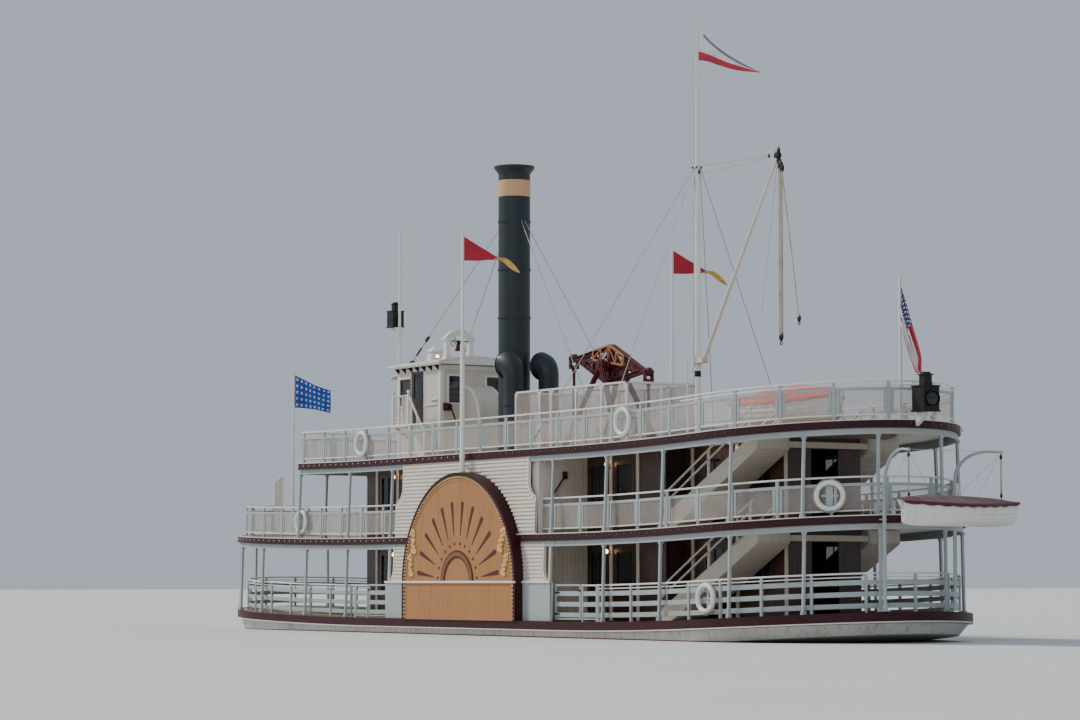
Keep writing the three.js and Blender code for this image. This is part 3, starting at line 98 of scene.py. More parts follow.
def sheer(x):
    """Height that the decks gain at x."""
    if x < SHEER_AFT[0]:
        return SHEER_AFT[1] * (x - SHEER_AFT[0]) ** 2
    if x > SHEER_FORE[0]:
        return SHEER_FORE[1] * (x - SHEER_FORE[0]) ** 2
    return 0.0


# Shapes: each function returns points and faces
def box(lo, hi):
    points = [(x, y, z) for z in (lo[2], hi[2]) for y in (lo[1], hi[1]) for x in (lo[0], hi[0])]
    return points, [(0, 2, 3, 1), (4, 5, 7, 6), (0, 1, 5, 4), (2, 6, 7, 3), (0, 4, 6, 2), (1, 3, 7, 5)]


def block(x, y, half_x, half_y, low, high):
    """An upright box about a centre."""
    return box((x - half_x, y - half_y, low), (x + half_x, y + half_y, high))


def sided_box(sign, x0, x1, y0, y1, z0, z1):
    """A box on the port side, or its mirror image to starboard."""
    low, high = sorted((sign * y0, sign * y1))
    return box((x0, low, z0), (x1, high, z1))


def both(x0, x1, y0, y1, z0, z1):
    """A box on the port side and its mirror image."""
    return [sided_box(sign, x0, x1, y0, y1, z0, z1) for sign in (1, -1)]


def stick(a, b, wide, deep=None):
    """A rectangular stick between two points in any direction."""
    along = (Vector(b) - Vector(a)).normalized()
    side = along.cross(Vector((0, 1, 0)))
    if side.length < 0.1:
        side = along.cross(Vector((0, 0, 1)))
    side.normalize()
    other = along.cross(side)
    points = []
    for p in (a, b):
        for s, t in ((-1, -1), (1, -1), (1, 1), (-1, 1)):
            points.append(Vector(p) + side * s * wide / 2 + other * t * (deep or wide) / 2)
    faces = [(0, 1, 2, 3), (7, 6, 5, 4)] + [(i, i + 4, (i + 1) % 4 + 4, (i + 1) % 4) for i in range(4)]
    return points, faces


def rings_to_faces(count, sides, closed=False, caps=True):
    faces = []
    for i in range(count if closed else count - 1):
        for j in range(sides):
            k = (j + 1) % sides
            a, b = i * sides, ((i + 1) % count) * sides
            faces.append((a + j, a + k, b + k, b + j))
    if caps and not closed:
        faces.append(tuple(reversed(range(sides))))
        faces.append(tuple(range((count - 1) * sides, count * sides)))
    return faces


def tube(path, radius, sides=10, closed=False):
    """A round tube along points. radius is one number, or one for each point."""
    path = [Vector(p) for p in path]
    radii = radius if isinstance(radius, (list, tuple)) else [radius] * len(path)
    count = len(path)
    points = []
    normal = None
    for i, p in enumerate(path):
        before = path[i - 1] if i or closed else p
        after = path[(i + 1) % count] if i < count - 1 or closed else p
        along = (after - before).normalized()
        if normal is None:
            start = Vector((0, 0, 1)) if abs(along.z) < 0.9 else Vector((1, 0, 0))
            normal = start - along * start.dot(along)
        else:
            normal = normal - along * normal.dot(along)
        normal.normalize()
        other = along.cross(normal)
        for j in range(sides):
            turn = 2 * math.pi * j / sides
            points.append(p + (normal * math.cos(turn) + other * math.sin(turn)) * radii[i])
    return points, rings_to_faces(count, sides, closed)


def lathe(profile, centre=(0, 0, 0), sides=32, axis="z"):
    """A turned shape from (radius, height) pairs. It closes on its axis where a radius is 0."""
    points, faces, rings = [], [], []
    for r, h in profile:
        ring = []
        for j in range(1 if r < 1e-9 else sides):
            turn = 2 * math.pi * j / sides
            a, b = r * math.cos(turn), r * math.sin(turn)
            p = {"z": (a, b, h), "x": (h, a, b), "y": (b, h, a)}[axis]
            ring.append(len(points))
            points.append((p[0] + centre[0], p[1] + centre[1], p[2] + centre[2]))
        rings.append(ring)
    for low, high in zip(rings, rings[1:]):
        for j in range(sides):
            k = (j + 1) % sides
            if len(low) == 1 and len(high) > 1:
                faces.append((low[0], high[k], high[j]))
            elif len(high) == 1 and len(low) > 1:
                faces.append((low[j], low[k], high[0]))
            elif len(low) > 1:
                faces.append((low[j], low[k], high[k], high[j]))
    return points, faces


def ball(centre, r, rows=6, sides=10, squash=1.0):
    turns = [math.pi * i / rows for i in range(1, rows)]
    profile = [(r * math.sin(t), -r * squash * math.cos(t)) for t in turns]
    return lathe([(0, -r * squash), *profile, (0, r * squash)], centre, sides)


def ring(centre, radius, thick, axis="y", turns=32, sides=10):
    """A torus about an axis."""
    path = []
    for i in range(turns):
        a = 2 * math.pi * i / turns
        u, v = radius * math.cos(a), radius * math.sin(a)
        p = {"y": (u, 0, v), "x": (0, u, v), "z": (u, v, 0)}[axis]
        path.append(Vector(centre) + Vector(p))
    return tube(path, thick, sides, closed=True)


def prism(outline, axis, low, high):
    """A solid between two places along an axis. Its outline has (y, z), (x, z) or (x, y) pairs."""
    place = {
        "x": lambda a, b, h: (h, a, b),
        "y": lambda a, b, h: (a, h, b),
        "z": lambda a, b, h: (a, b, h),
    }[axis]
    n = len(outline)
    points = [place(a, b, h) for h in (low, high) for a, b in outline]
    faces = [tuple(range(n)), tuple(reversed(range(n, 2 * n)))]
    faces += [(i, i + n, (i + 1) % n + n, (i + 1) % n) for i in range(n)]
    return points, faces


def plate(outline, sign, near, far):
    """An outline of (x, z) pairs, from near to far off the middle line on one side."""
    return prism(outline, "y", *sorted((sign * near, sign * far)))


def joined(shapes):
    """Many shapes as one list of points and one of faces."""
    points, faces = [], []
    for more_points, more_faces in shapes:
        first = len(points)
        points += [tuple(p) for p in more_points]
        faces += [tuple(i + first for i in face) for face in more_faces]
    return points, faces


def new_mesh(name, points, faces):
    """A mesh whose faces look outward."""
    mesh = bpy.data.meshes.new(name)
    mesh.from_pydata(points, [], faces)
    mesh.validate()
    bm = bmesh.new()
    bm.from_mesh(mesh)
    bmesh.ops.recalc_face_normals(bm, faces=bm.faces)
    bm.to_mesh(mesh)
    bm.free()
    return mesh


def new_object(name, data):
    made = bpy.data.objects.new(name, data)
    bpy.context.scene.collection.objects.link(made)
    return made


def sweep(rows, closed=False):
    """A bar whose section's corners follow rows of points, all as long as each other."""
    count = len(rows[0])
    sides = len(rows)
    points = [rows[j][i] for i in range(count) for j in range(sides)]
    return points, rings_to_faces(count, sides, closed)


def arc(cx, cz, r, start, end, steps):
    turns = [math.radians(start + (end - start) * i / steps) for i in range(steps + 1)]
    return [(cx + r * math.cos(t), cz + r * math.sin(t)) for t in turns]


def moved(shape, matrix):
    points, faces = shape
    return [matrix @ Vector(p) for p in points], faces


class Piece:
    """One named piece of the ship: it gathers shapes, then becomes an object that rides on a body."""

    def __init__(self, name, material, slot, body=SHIP):
        self.name = name
        self.material = material
        self.slot = slot
        self.body = body
        self.shapes = []
        self.uvs = {}

    def add(self, *shapes):
        self.shapes += shapes
        return self

    def add_with_uv(self, points, faces, uvs):
        """Adds a shape with one (u, v) pair for each point."""
        first = sum(len(shape[0]) for shape in self.shapes)
        self.add((points, faces))
        self.uvs.update({first + i: uv for i, uv in enumerate(uvs)})

    def build(self, *replaced, bevel=0.0, sharp=35):
        mesh = new_mesh(self.name, *joined(self.shapes))
        if self.uvs:
            layer = mesh.uv_layers.new(name="UVMap")
            for loop in mesh.loops:
                layer.data[loop.index].uv = self.uvs.get(loop.vertex_index, (0, 0))
        mesh.shade_smooth()
        mesh.set_sharp_from_angle(angle=math.radians(sharp))
        mesh.materials.append(self.material)
        made = new_object(self.name, mesh)
        if bevel:
            edge = made.modifiers.new("edges", "BEVEL")
            edge.width = bevel
            edge.segments = 1
            edge.limit_method = "ANGLE"
            edge.angle_limit = math.radians(50)
        if self.body:
            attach(made, self.body)
        if replaced:
            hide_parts(*replaced)
        return made


# Paths along a deck's edge
def edge_point(plan, end, turn, inset=0.0):
    """The place on a round end: turn is 0 on the port side, pi on the starboard side."""
    start, tip = plan[end]
    tip += inset if end == "aft" else -inset
    return start + (tip - start) * math.sin(turn), (plan["half"] - inset) * math.cos(turn)


def end_path(plan, end, from_x, inset=0.0, step=1.05, turns=36):
    """From from_x on the port side, round an end, to from_x on the starboard side."""
    start = plan[end][0]
    half = plan["half"] - inset
    count = max(1, round(abs(start - from_x) / step))
    side = [(from_x + (start - from_x) * i / count, half) for i in range(count)]
    bend = [edge_point(plan, end, math.pi * i / turns, inset) for i in range(turns + 1)]
    return side + bend + [(x, -y) for x, y in reversed(side)]


def loop_path(plan, inset=0.0, turns=36):
    fore = end_path(plan, "fore", SHAFT_X, inset, turns=turns)
    aft = end_path(plan, "aft", SHAFT_X, inset, turns=turns)
    return fore + [(x, y) for x, y in reversed(aft[1:-1])]


def lifted(path, z):
    return [(x, y, z + sheer(x)) for x, y in path]


def band(plan, outer, inner, low, high, end=None, from_x=None, turns=36):
    """A strip along a deck's edge, all round or round one end."""
    rows = []
    for inset, z in ((outer, low), (outer, high), (inner, high), (inner, low)):
        path = end_path(plan, end, from_x, inset, turns=turns) if end else loop_path(plan, inset, turns)
        rows.append(lifted(path, z))
    return sweep(rows, closed=end is None)


def along_edge(plan, end, from_x, spacing, inset=0.0):
    """Places a spacing apart along an edge round one end, each with the edge's direction."""
    path = [Vector(p) for p in end_path(plan, end, from_x, inset, step=0.2, turns=96)]
    total = sum((b - a).length for a, b in zip(path, path[1:]))
    count = max(1, round(total / spacing))
    step = total / count
    places, walked, target = [], 0.0, 0.0
    for a, b in zip(path, path[1:]):
        length = (b - a).length
        while target <= walked + length + 1e-9 and len(places) <= count:
            p = a + (b - a) * ((target - walked) / length)
            places.append((p.x, p.y, (b - a).normalized()))
            target += step
        walked += length
    return places


def upright(x, y, direction, wide, deep, low, high):
    """A post on an edge, its face along the edge."""
    d = Vector((direction.x, direction.y, 0))
    n = Vector((-d.y, d.x, 0))
    points = []
    for z in (low, high):
        for s, t in ((-1, -1), (1, -1), (1, 1), (-1, 1)):
            points.append(Vector((x, y, z)) + d * s * wide / 2 + n * t * deep / 2)
    faces = [(3, 2, 1, 0), (4, 5, 6, 7)] + [(i, (i + 1) % 4, (i + 1) % 4 + 4, i + 4) for i in range(4)]
    return points, faces


# Materials
def new_group(name, inputs, outputs):
    tree = bpy.data.node_groups.new(name, "ShaderNodeTree")
    kinds = {"colour": "NodeSocketColor", "value": "NodeSocketFloat", "vector": "NodeSocketVector"}
    for label, kind, default in inputs:
        socket = tree.interface.new_socket(label, in_out="INPUT", socket_type=kinds[kind])
        if default is not None:
            socket.default_value = default
    for label, kind in outputs:
        tree.interface.new_socket(label, in_out="OUTPUT", socket_type=kinds[kind])
    return tree, tree.nodes.new("NodeGroupInput").outputs, tree.nodes.new("NodeGroupOutput").inputs


def give(tree, value, socket):
    """Sets a socket to a value, or links it to another socket."""
    if isinstance(value, bpy.types.NodeSocket):
        tree.links.new(value, socket)
    else:
        socket.default_value = value


def add_node(tree, kind, settings=None, **inputs):
    """A node with its settings, and its inputs set to values or linked to sockets."""
    made = tree.nodes.new(kind)
    for key, value in (settings or {}).items():
        setattr(made, key, value)
    for key, value in inputs.items():
        index = int(key[1:]) if key[0] == "i" and key[1:].isdigit() else key.replace("_", " ")
        give(tree, value, made.inputs[index])
    return made


def maths(tree, operation, a, b=0.0):
    return add_node(tree, "ShaderNodeMath", {"operation": operation}, i0=a, i1=b).outputs[0]


def plus(tree, a, b):
    return maths(tree, "ADD", a, b)


def less(tree, a, b):
    return maths(tree, "SUBTRACT", a, b)


def times(tree, a, b):
    return maths(tree, "MULTIPLY", a, b)


def mix(tree, share, a, b):
    made = add_node(tree, "ShaderNodeMix", {"data_type": "RGBA", "blend_type": "MIX"}, i0=share, i6=a, i7=b)
    return made.outputs[2]


def noise(tree, vector, scale, detail=3.0, rough=0.55):
    made = add_node(tree, "ShaderNodeTexNoise", None, Vector=vector, Scale=scale, Detail=detail,
                    Roughness=rough)
    return made.outputs[0]


def spread(tree, value, low, high):
    """0 where a value is low, 1 where it is high."""
    return add_node(tree, "ShaderNodeMapRange", None, Value=value, From_Min=low, From_Max=high).outputs[0]


def stretched(tree, vector, x, y, z):
    return add_node(tree, "ShaderNodeMapping", None, Vector=vector, Scale=(x, y, z)).outputs[0]


def weather_group():
    """Broad fading, streaks that run down, and a fine film over any paint."""
    tree, given, out = new_group(
        "paint_weather",
        [("Place", "vector", None), ("Paint", "colour", (0.8, 0.8, 0.8, 1)),
         ("Dirt", "colour", (0.2, 0.18, 0.15, 1)), ("Amount", "value", 0.2), ("Gloss", "value", 0.4)],
        [("Colour", "colour"), ("Roughness", "value"), ("Height", "value")],
    )
    place = given["Place"]
    fade = spread(tree, noise(tree, place, 0.7), 0.35, 0.7)
    streak = spread(tree, noise(tree, stretched(tree, place, 7, 7, 0.8), 1.0, 4.0), 0.5, 0.75)
    fine = noise(tree, place, 42.0, 2.0)
    wear = times(tree, plus(tree, times(tree, fade, 0.45), streak), given["Amount"])
    tree.links.new(mix(tree, wear, given["Paint"], given["Dirt"]), out["Colour"])
    rough = plus(tree, given["Gloss"], times(tree, wear, 0.4))
    tree.links.new(plus(tree, rough, times(tree, fine, 0.06)), out["Roughness"])
    tree.links.new(fine, out["Height"])
    return tree


def planks_group():
    """Boards of one width along X, each with its own tone, with dark seams and butt joints."""
    tree, given, out = new_group(
        "deck_boards",
        [("Place", "vector", None), ("Board", "colour", (0.5, 0.4, 0.3, 1)),
         ("Seam", "colour", (0.05, 0.04, 0.03, 1)), ("Width", "value", 0.12)],
        [("Colour", "colour"), ("Height", "value")],
    )
    parts = add_node(tree, "ShaderNodeSeparateXYZ", None, Vector=given["Place"]).outputs
    across = maths(tree, "DIVIDE", parts["Y"], given["Width"])
    index = maths(tree, "FLOOR", across)
    shift = times(tree, maths(tree, "SINE", times(tree, index, 12.9)), 1.7)
    along = maths(tree, "DIVIDE", plus(tree, parts["X"], shift), 3.1)
    edge = maths(tree, "LESS_THAN", maths(tree, "FRACT", across), 0.07)
    butt = maths(tree, "LESS_THAN", maths(tree, "FRACT", along), 0.004)
    seam = maths(tree, "MAXIMUM", edge, butt)
    key = add_node(tree, "ShaderNodeCombineXYZ", None, X=index, Y=maths(tree, "FLOOR", along)).outputs[0]
    tone = add_node(tree, "ShaderNodeTexWhiteNoise", None, Vector=key).outputs["Value"]
    grain = noise(tree, stretched(tree, given["Place"], 2.5, 60, 60), 1.0, 4.0)
    shade = plus(tree, times(tree, tone, 0.35), times(tree, grain, 0.35))
    board = mix(tree, shade, given["Board"], mix(tree, 0.55, given["Board"], given["Seam"]))
    tree.links.new(mix(tree, seam, board, given["Seam"]), out["Colour"])
    tree.links.new(less(tree, times(tree, grain, 0.2), seam), out["Height"])
    return tree


def grain_group():
    """Long grain in varnished timber, up and down the panels."""
    tree, given, out = new_group(
        "timber_grain",
        [("Place", "vector", None), ("Light", "colour", (0.3, 0.15, 0.08, 1)),
         ("Dark", "colour", (0.08, 0.03, 0.02, 1))],
        [("Colour", "colour"), ("Height", "value")],
    )
    lines = noise(tree, stretched(tree, given["Place"], 18, 18, 1.4), 1.0, 5.0)
    cloud = noise(tree, given["Place"], 1.3, 2.0)
    share = spread(tree, plus(tree, times(tree, lines, 0.7), times(tree, cloud, 0.4)), 0.4, 0.75)
    tree.links.new(mix(tree, share, given["Dark"], given["Light"]), out["Colour"])
    tree.links.new(lines, out["Height"])
    return tree


def weave_group():
    """Threads over and under, with soft creases: bumps, and painted shade that darkens the cloth in them."""
    tree, given, out = new_group(
        "cloth_weave",
        [("Place", "vector", None), ("Cloth", "colour", (0.5, 0.1, 0.1, 1)),
         ("Fold", "colour", (0.2, 0.05, 0.05, 1))],
        [("Colour", "colour"), ("Height", "value")],
    )
    place = given["Place"]
    threads = []
    for way in ("X", "Z"):
        wave = {"wave_type": "BANDS", "bands_direction": way}
        made = add_node(tree, "ShaderNodeTexWave", wave, Vector=place, Scale=90.0, Distortion=0.4)
        threads.append(times(tree, made.outputs[0], 0.5))
    crease_shade = noise(tree, place, 2.2, 3.0)
    # Painted shade: the cloth colour is mixed towards its darker colour where the noise that bumps in the
    # creases is high.
    tree.links.new(mix(tree, spread(tree, crease_shade, 0.45, 0.8), given["Cloth"], given["Fold"]), out["Colour"])
    tree.links.new(plus(tree, plus(tree, *threads), times(tree, crease_shade, 3.0)), out["Height"])
    return tree


WEATHER = weather_group()
PLANKS = planks_group()
GRAIN = grain_group()
WEAVE = weave_group()


def new_material(name, roughness=0.5, **values):
    """A material whose shader has the given values, an underscore for each space in a socket's name."""
    made = bpy.data.materials.new(name)
    made.use_nodes = True
    shader = made.node_tree.nodes["Principled BSDF"]
    for key, value in {"Roughness": roughness, **values}.items():
        shader.inputs[key.replace("_", " ")].default_value = value
    return made, made.node_tree, shader


def place_of(tree):
    return tree.nodes.new("ShaderNodeTexCoord").outputs["Object"]


def use_group(tree, group, **inputs):
    return add_node(tree, "ShaderNodeGroup", {"node_tree": group}, **inputs).outputs


def wear_of(tree, shader, colour, dirt, amount, gloss):
    """Puts weathered paint on a shader, and returns the sockets of its node."""
    film = use_group(tree, WEATHER, Place=place_of(tree), Paint=rgba(colour), Dirt=rgba(dirt), Amount=amount,
                     Gloss=gloss)
    tree.links.new(film["Colour"], shader.inputs["Base Color"])
    tree.links.new(film["Roughness"], shader.inputs["Roughness"])
    return film


def bumped(tree, shader, height, distance, strength=0.5):
    made = add_node(tree, "ShaderNodeBump", None, Height=height, Strength=strength, Distance=distance)
    tree.links.new(made.outputs[0], shader.inputs["Normal"])


def rgba(colour):
    return (*colour, 1.0)


def star_mask(tree, u, v, cell, reach=0.42, notch=0.17):
    """1 inside five-pointed stars, one in each square cell of a grid in metres."""
    across, up = (less(tree, maths(tree, "FRACT", maths(tree, "DIVIDE", x, cell)), 0.5) for x in (u, v))
    point = 2 * math.pi / 5
    turn = plus(tree, maths(tree, "ARCTAN2", across, up), point / 2)
    side = maths(tree, "ABSOLUTE", less(tree, maths(tree, "FLOORED_MODULO", turn, point), point / 2))
    near = times(tree, maths(tree, "SINE", less(tree, point / 2, side)), notch)
    far = times(tree, maths(tree, "SINE", side), reach)
    edge = maths(tree, "DIVIDE", reach * notch * math.sin(point / 2), plus(tree, near, far))
    length = maths(tree, "SQRT", plus(tree, times(tree, across, across), times(tree, up, up)))
    return maths(tree, "LESS_THAN", length, edge)


def woven(name, colour_of, crease_shade_of, fuzz):
    """Cloth: two functions of its tree give its colour, and the darker colour painted into its creases as
    painted shade.
    """
    made, tree, shader = new_material(name, 0.85, Sheen_Weight=fuzz)
    colour = colour_of(tree)
    weave = use_group(tree, WEAVE, Place=place_of(tree), Cloth=colour, Fold=crease_shade_of(tree, colour))
    tree.links.new(weave["Colour"], shader.inputs["Base Color"])
    bumped(tree, shader, weave["Height"], 0.003, 0.5)
    return made


def flag_cloth(name, pattern):
    """Bunting whose colours come from a pattern over the share of the fly and of the hoist."""
    def colour_of(tree):
        place = tree.nodes.new("ShaderNodeTexCoord").outputs["UV"]
        parts = add_node(tree, "ShaderNodeSeparateXYZ", None, Vector=place).outputs
        return pattern(tree, parts["X"], parts["Y"])

    # Painted shade for the creases: the cloth's own colour mixed towards near-black.
    return woven(name, colour_of, lambda tree, colour: mix(tree, 0.45, colour, (0.03, 0.02, 0.03, 1)), 0.2)


FLAG_RED = (0.42, 0.01, 0.03, 1)
FLAG_WHITE = (0.75, 0.74, 0.72, 1)
FLAG_BLUE = (0.008, 0.022, 0.14, 1)
FLAG_YELLOW = (0.72, 0.42, 0.09, 1)
FLAG_SHADE = (0.2, 0.2, 0.25, 1)
PENNANT_RED = (0.52, 0.035, 0.06, 1)
BRIGHT_BLUE = (0.006, 0.065, 0.4, 1)


def pennant_pattern(tree, u, v):
    past = maths(tree, "GREATER_THAN", less(tree, u, times(tree, v, 0.1)), 0.52)
    return mix(tree, past, FLAG_RED, FLAG_YELLOW)


def main_pennant_pattern(tree, u, v):
    edge = plus(tree, 0.27, times(tree, u, 0.32))
    bands = mix(tree, maths(tree, "GREATER_THAN", v, edge), PENNANT_RED, FLAG_WHITE)
    # Painted shade: FLAG_SHADE grey along the upper edge, away from the hoist, where the cloth folds over.
    fold = less(tree, 0.9, times(tree, u, 0.25))
    turned = times(tree, maths(tree, "GREATER_THAN", v, fold), maths(tree, "GREATER_THAN", u, 0.08))
    return mix(tree, turned, bands, FLAG_SHADE)


def bow_flag_pattern(tree, u, v):
    stars = star_mask(tree, times(tree, u, 1.64), times(tree, v, 1.025), 0.205, 0.33, 0.15)
    return mix(tree, stars, BRIGHT_BLUE, FLAG_WHITE)


def ensign_pattern(tree, u, v):
    odd = maths(tree, "LESS_THAN", maths(tree, "FRACT", times(tree, v, 6.5)), 0.5)
    stripes = mix(tree, odd, FLAG_WHITE, FLAG_RED)
    stars = star_mask(tree, times(tree, u, 2.1), times(tree, v, 1.3), 0.11)
    canton = times(tree, maths(tree, "LESS_THAN", u, 0.42), maths(tree, "GREATER_THAN", v, 6 / 13))
    return mix(tree, canton, stripes, mix(tree, stars, FLAG_BLUE, FLAG_WHITE))


def paint(name, colour, gloss=0.38, dirt=(0.22, 0.19, 0.15), amount=0.16, coat=0.0, sheen=0.5):
    """Oil paint on timber or plate, a little faded and streaked. sheen is how much light it mirrors."""
    made, tree, shader = new_material(name, Coat_Weight=coat, Specular_IOR_Level=sheen)
    film = wear_of(tree, shader, colour, dirt, amount, gloss)
    bumped(tree, shader, film["Height"], 0.0012, 0.3)
    return made


def planking(name, board, seam, width=0.12):
    made, tree, shader = new_material(name, 0.7)
    boards = use_group(tree, PLANKS, Place=place_of(tree), Board=rgba(board), Seam=rgba(seam), Width=width)
    tree.links.new(boards["Colour"], shader.inputs["Base Color"])
    bumped(tree, shader, boards["Height"], 0.004, 0.6)
    return made


def varnish(name, light, dark, coat=0.5):
    made, tree, shader = new_material(name, 0.35, Coat_Weight=coat)
    grain = use_group(tree, GRAIN, Place=place_of(tree), Light=rgba(light), Dark=rgba(dark))
    tree.links.new(grain["Colour"], shader.inputs["Base Color"])
    bumped(tree, shader, grain["Height"], 0.002, 0.4)
    return made


def cloth(name, colour, fold):
    # fold is the darker colour painted into the creases as painted shade.
    return woven(name, lambda tree: rgba(colour), lambda tree, _: rgba(fold), 0.25)


def metal(name, colour, roughness, dirt=(0.05, 0.04, 0.03), amount=0.3):
    made, tree, shader = new_material(name, roughness, Metallic=1.0)
    wear_of(tree, shader, colour, dirt, amount, roughness)
    return made


def glass(name):
    look = {"Base_Color": (0.02, 0.03, 0.035, 1), "Specular_IOR_Level": 0.8, "Alpha": 0.55}
    return new_material(name, 0.06, **look)[0]


def glow(name, colour, strength):
    look = {"Base_Color": rgba(colour), "Emission_Color": rgba(colour), "Emission_Strength": strength}
    return new_material(name, 0.3, **look)[0]


def wire_mesh(name, colour, pitch=0.022, wire=0.006):
    """Fine woven wire: the gaps between wires are see-through."""
    made, tree, shader = new_material(name)
    place = tree.nodes.new("ShaderNodeTexCoord").outputs["UV"]
    parts = add_node(tree, "ShaderNodeSeparateXYZ", None, Vector=place).outputs
    lines = []
    for axis in ("X", "Y"):
        share = maths(tree, "FRACT", maths(tree, "DIVIDE", parts[axis], pitch))
        lines.append(maths(tree, "LESS_THAN", share, wire / pitch))
    cloud = spread(tree, noise(tree, place_of(tree), 3.0, 2.0), 0.3, 0.8)
    tone = mix(tree, cloud, rgba(colour), rgba([c * 0.75 for c in colour]))
    tree.links.new(tone, shader.inputs["Base Color"])
    tree.links.new(maths(tree, "MAXIMUM", *lines), shader.inputs["Alpha"])
    return made


def hull_paint(name, topside, bottom):
    """Topside paint above the waterline and bottom paint below it."""
    made, tree, shader = new_material(name)
    film = wear_of(tree, shader, topside, (0.16, 0.13, 0.08), 0.45, 0.4)
    height = add_node(tree, "ShaderNodeSeparateXYZ", None, Vector=place_of(tree)).outputs["Z"]
    under = maths(tree, "LESS_THAN", height, WATERLINE + 0.03)
    tree.links.new(mix(tree, under, film["Colour"], rgba(bottom)), shader.inputs["Base Color"])
    bumped(tree, shader, film["Height"], 0.002, 0.3)
    return made


WHITE = paint("white_paint", (0.74, 0.73, 0.69), 0.42, amount=0.13)
IVORY = paint("ivory_boards", (0.62, 0.565, 0.48), 0.48, dirt=(0.25, 0.2, 0.15), amount=0.2)
CREAM = paint("cream_paint", (0.66, 0.61, 0.53), 0.45, amount=0.16)
GREY = paint("pale_grey_paint", (0.36, 0.405, 0.41), 0.42, amount=0.16)
MAROON = paint("maroon_paint", (0.034, 0.004, 0.007), 0.42, dirt=(0.06, 0.03, 0.025), amount=0.16, sheen=0.25)
RED_IRON = paint("red_ironwork", (0.085, 0.010, 0.013), 0.44, dirt=(0.045, 0.022, 0.018), amount=0.25,
                 sheen=0.3)
TAN = paint("tan_paint", (0.40, 0.185, 0.07), 0.46, dirt=(0.17, 0.075, 0.03), amount=0.28, sheen=0.3)
SUN_BROWN = paint("sun_ring_brown", (0.22, 0.085, 0.028), 0.44, amount=0.15, sheen=0.3)
BROWN = paint("brown_paint", (0.075, 0.022, 0.009), 0.44, amount=0.08, sheen=0.25)
GILT = paint("gilt", (0.86, 0.6, 0.22), 0.26, dirt=(0.3, 0.14, 0.03), amount=0.4, coat=0.4)
NAVY = paint("funnel_navy", (0.006, 0.015, 0.021), 0.48, dirt=(0.02, 0.022, 0.022), amount=0.25, coat=0.05)
BAND_TAN = paint("funnel_band", (0.62, 0.36, 0.17), 0.4)
BLACK = paint("black_iron", (0.008, 0.008, 0.009), 0.46, dirt=(0.04, 0.035, 0.03), amount=0.2, sheen=0.3)
BRASS = metal("bell_metal", (0.72, 0.52, 0.22), 0.25)
WIRE = metal("galvanised_wire", (0.42, 0.43, 0.44), 0.45)
# The rope's second colour is painted shade for its creases.
ROPE = cloth("pale_rope", (0.42, 0.375, 0.29), (0.2, 0.17, 0.12))
DECKING = planking("deck_planks", (0.42, 0.32, 0.22), (0.05, 0.038, 0.028))
WOOD = varnish("dark_varnish", (0.085, 0.034, 0.016), (0.022, 0.009, 0.006), coat=0.12)
TOPSIDE = hull_paint("hull_paint", (0.52, 0.52, 0.48), (0.13, 0.03, 0.025))
PANE = glass("window_glass")
LAMP_GLOW = glow("warm_lamp", (1.0, 0.62, 0.28), 6.0)
BULB = glow("deck_bulb", (0.85, 0.76, 0.62), 0.3)
MESH = wire_mesh("rail_mesh", (0.50, 0.44, 0.40))
PENNANT_CLOTH = flag_cloth("pennant_bunting", pennant_pattern)
MAIN_PENNANT_CLOTH = flag_cloth("main_pennant_bunting", main_pennant_pattern)
BOW_FLAG_CLOTH = flag_cloth("bow_flag_bunting", bow_flag_pattern)
ENSIGN_CLOTH = flag_cloth("ensign_bunting", ensign_pattern)
BELL_RED = metal("aged_bell_metal", (0.075, 0.02, 0.016), 0.45)
LENS = glass("lantern_lens")
# The second colour of each canvas is painted shade for its creases.
ORANGE_CANVAS = cloth("orange_canvas", (0.64, 0.075, 0.025), (0.4, 0.04, 0.015))
MAROON_CANVAS = cloth("maroon_canvas", (0.085, 0.007, 0.014), (0.035, 0.003, 0.006))


def finish_node(name, material):
    """Gives a node of the model its material."""
    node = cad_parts[name]
    node.data.materials.clear()
    node.data.materials.append(material)


# Camera and stage
FOCAL_PX = 3100.0
PHOTO_WIDE = 1080.0
SENSOR = 36.0
EYE = (-81.1, 50.2, 2.75)
HEADING = (0.852, -0.524)
PITCH = math.radians(4.115)


def make_camera():
    data = bpy.data.cameras.new("photo_camera")
    data.sensor_width = SENSOR
    data.lens = FOCAL_PX / PHOTO_WIDE * SENSOR
    data.clip_start = 1.0
    data.clip_end = 2000.0
    made = new_object("photo_camera", data)
    made.location = EYE
    aim = Vector((HEADING[0] * math.cos(PITCH), HEADING[1] * math.cos(PITCH), math.sin(PITCH)))
    made.rotation_mode = "QUATERNION"
    made.rotation_quaternion = aim.to_track_quat("-Z", "Y")
    bpy.context.scene.camera = made


FLOOR_REACH = 600
SUNS = (
    ("key", (-0.62, -0.42, -0.66), 3.0, 10, (1.0, 0.95, 0.87)),
    ("fill", (0.5, -0.7, -0.45), 0.5, 40, (0.9, 0.95, 1.0)),
)


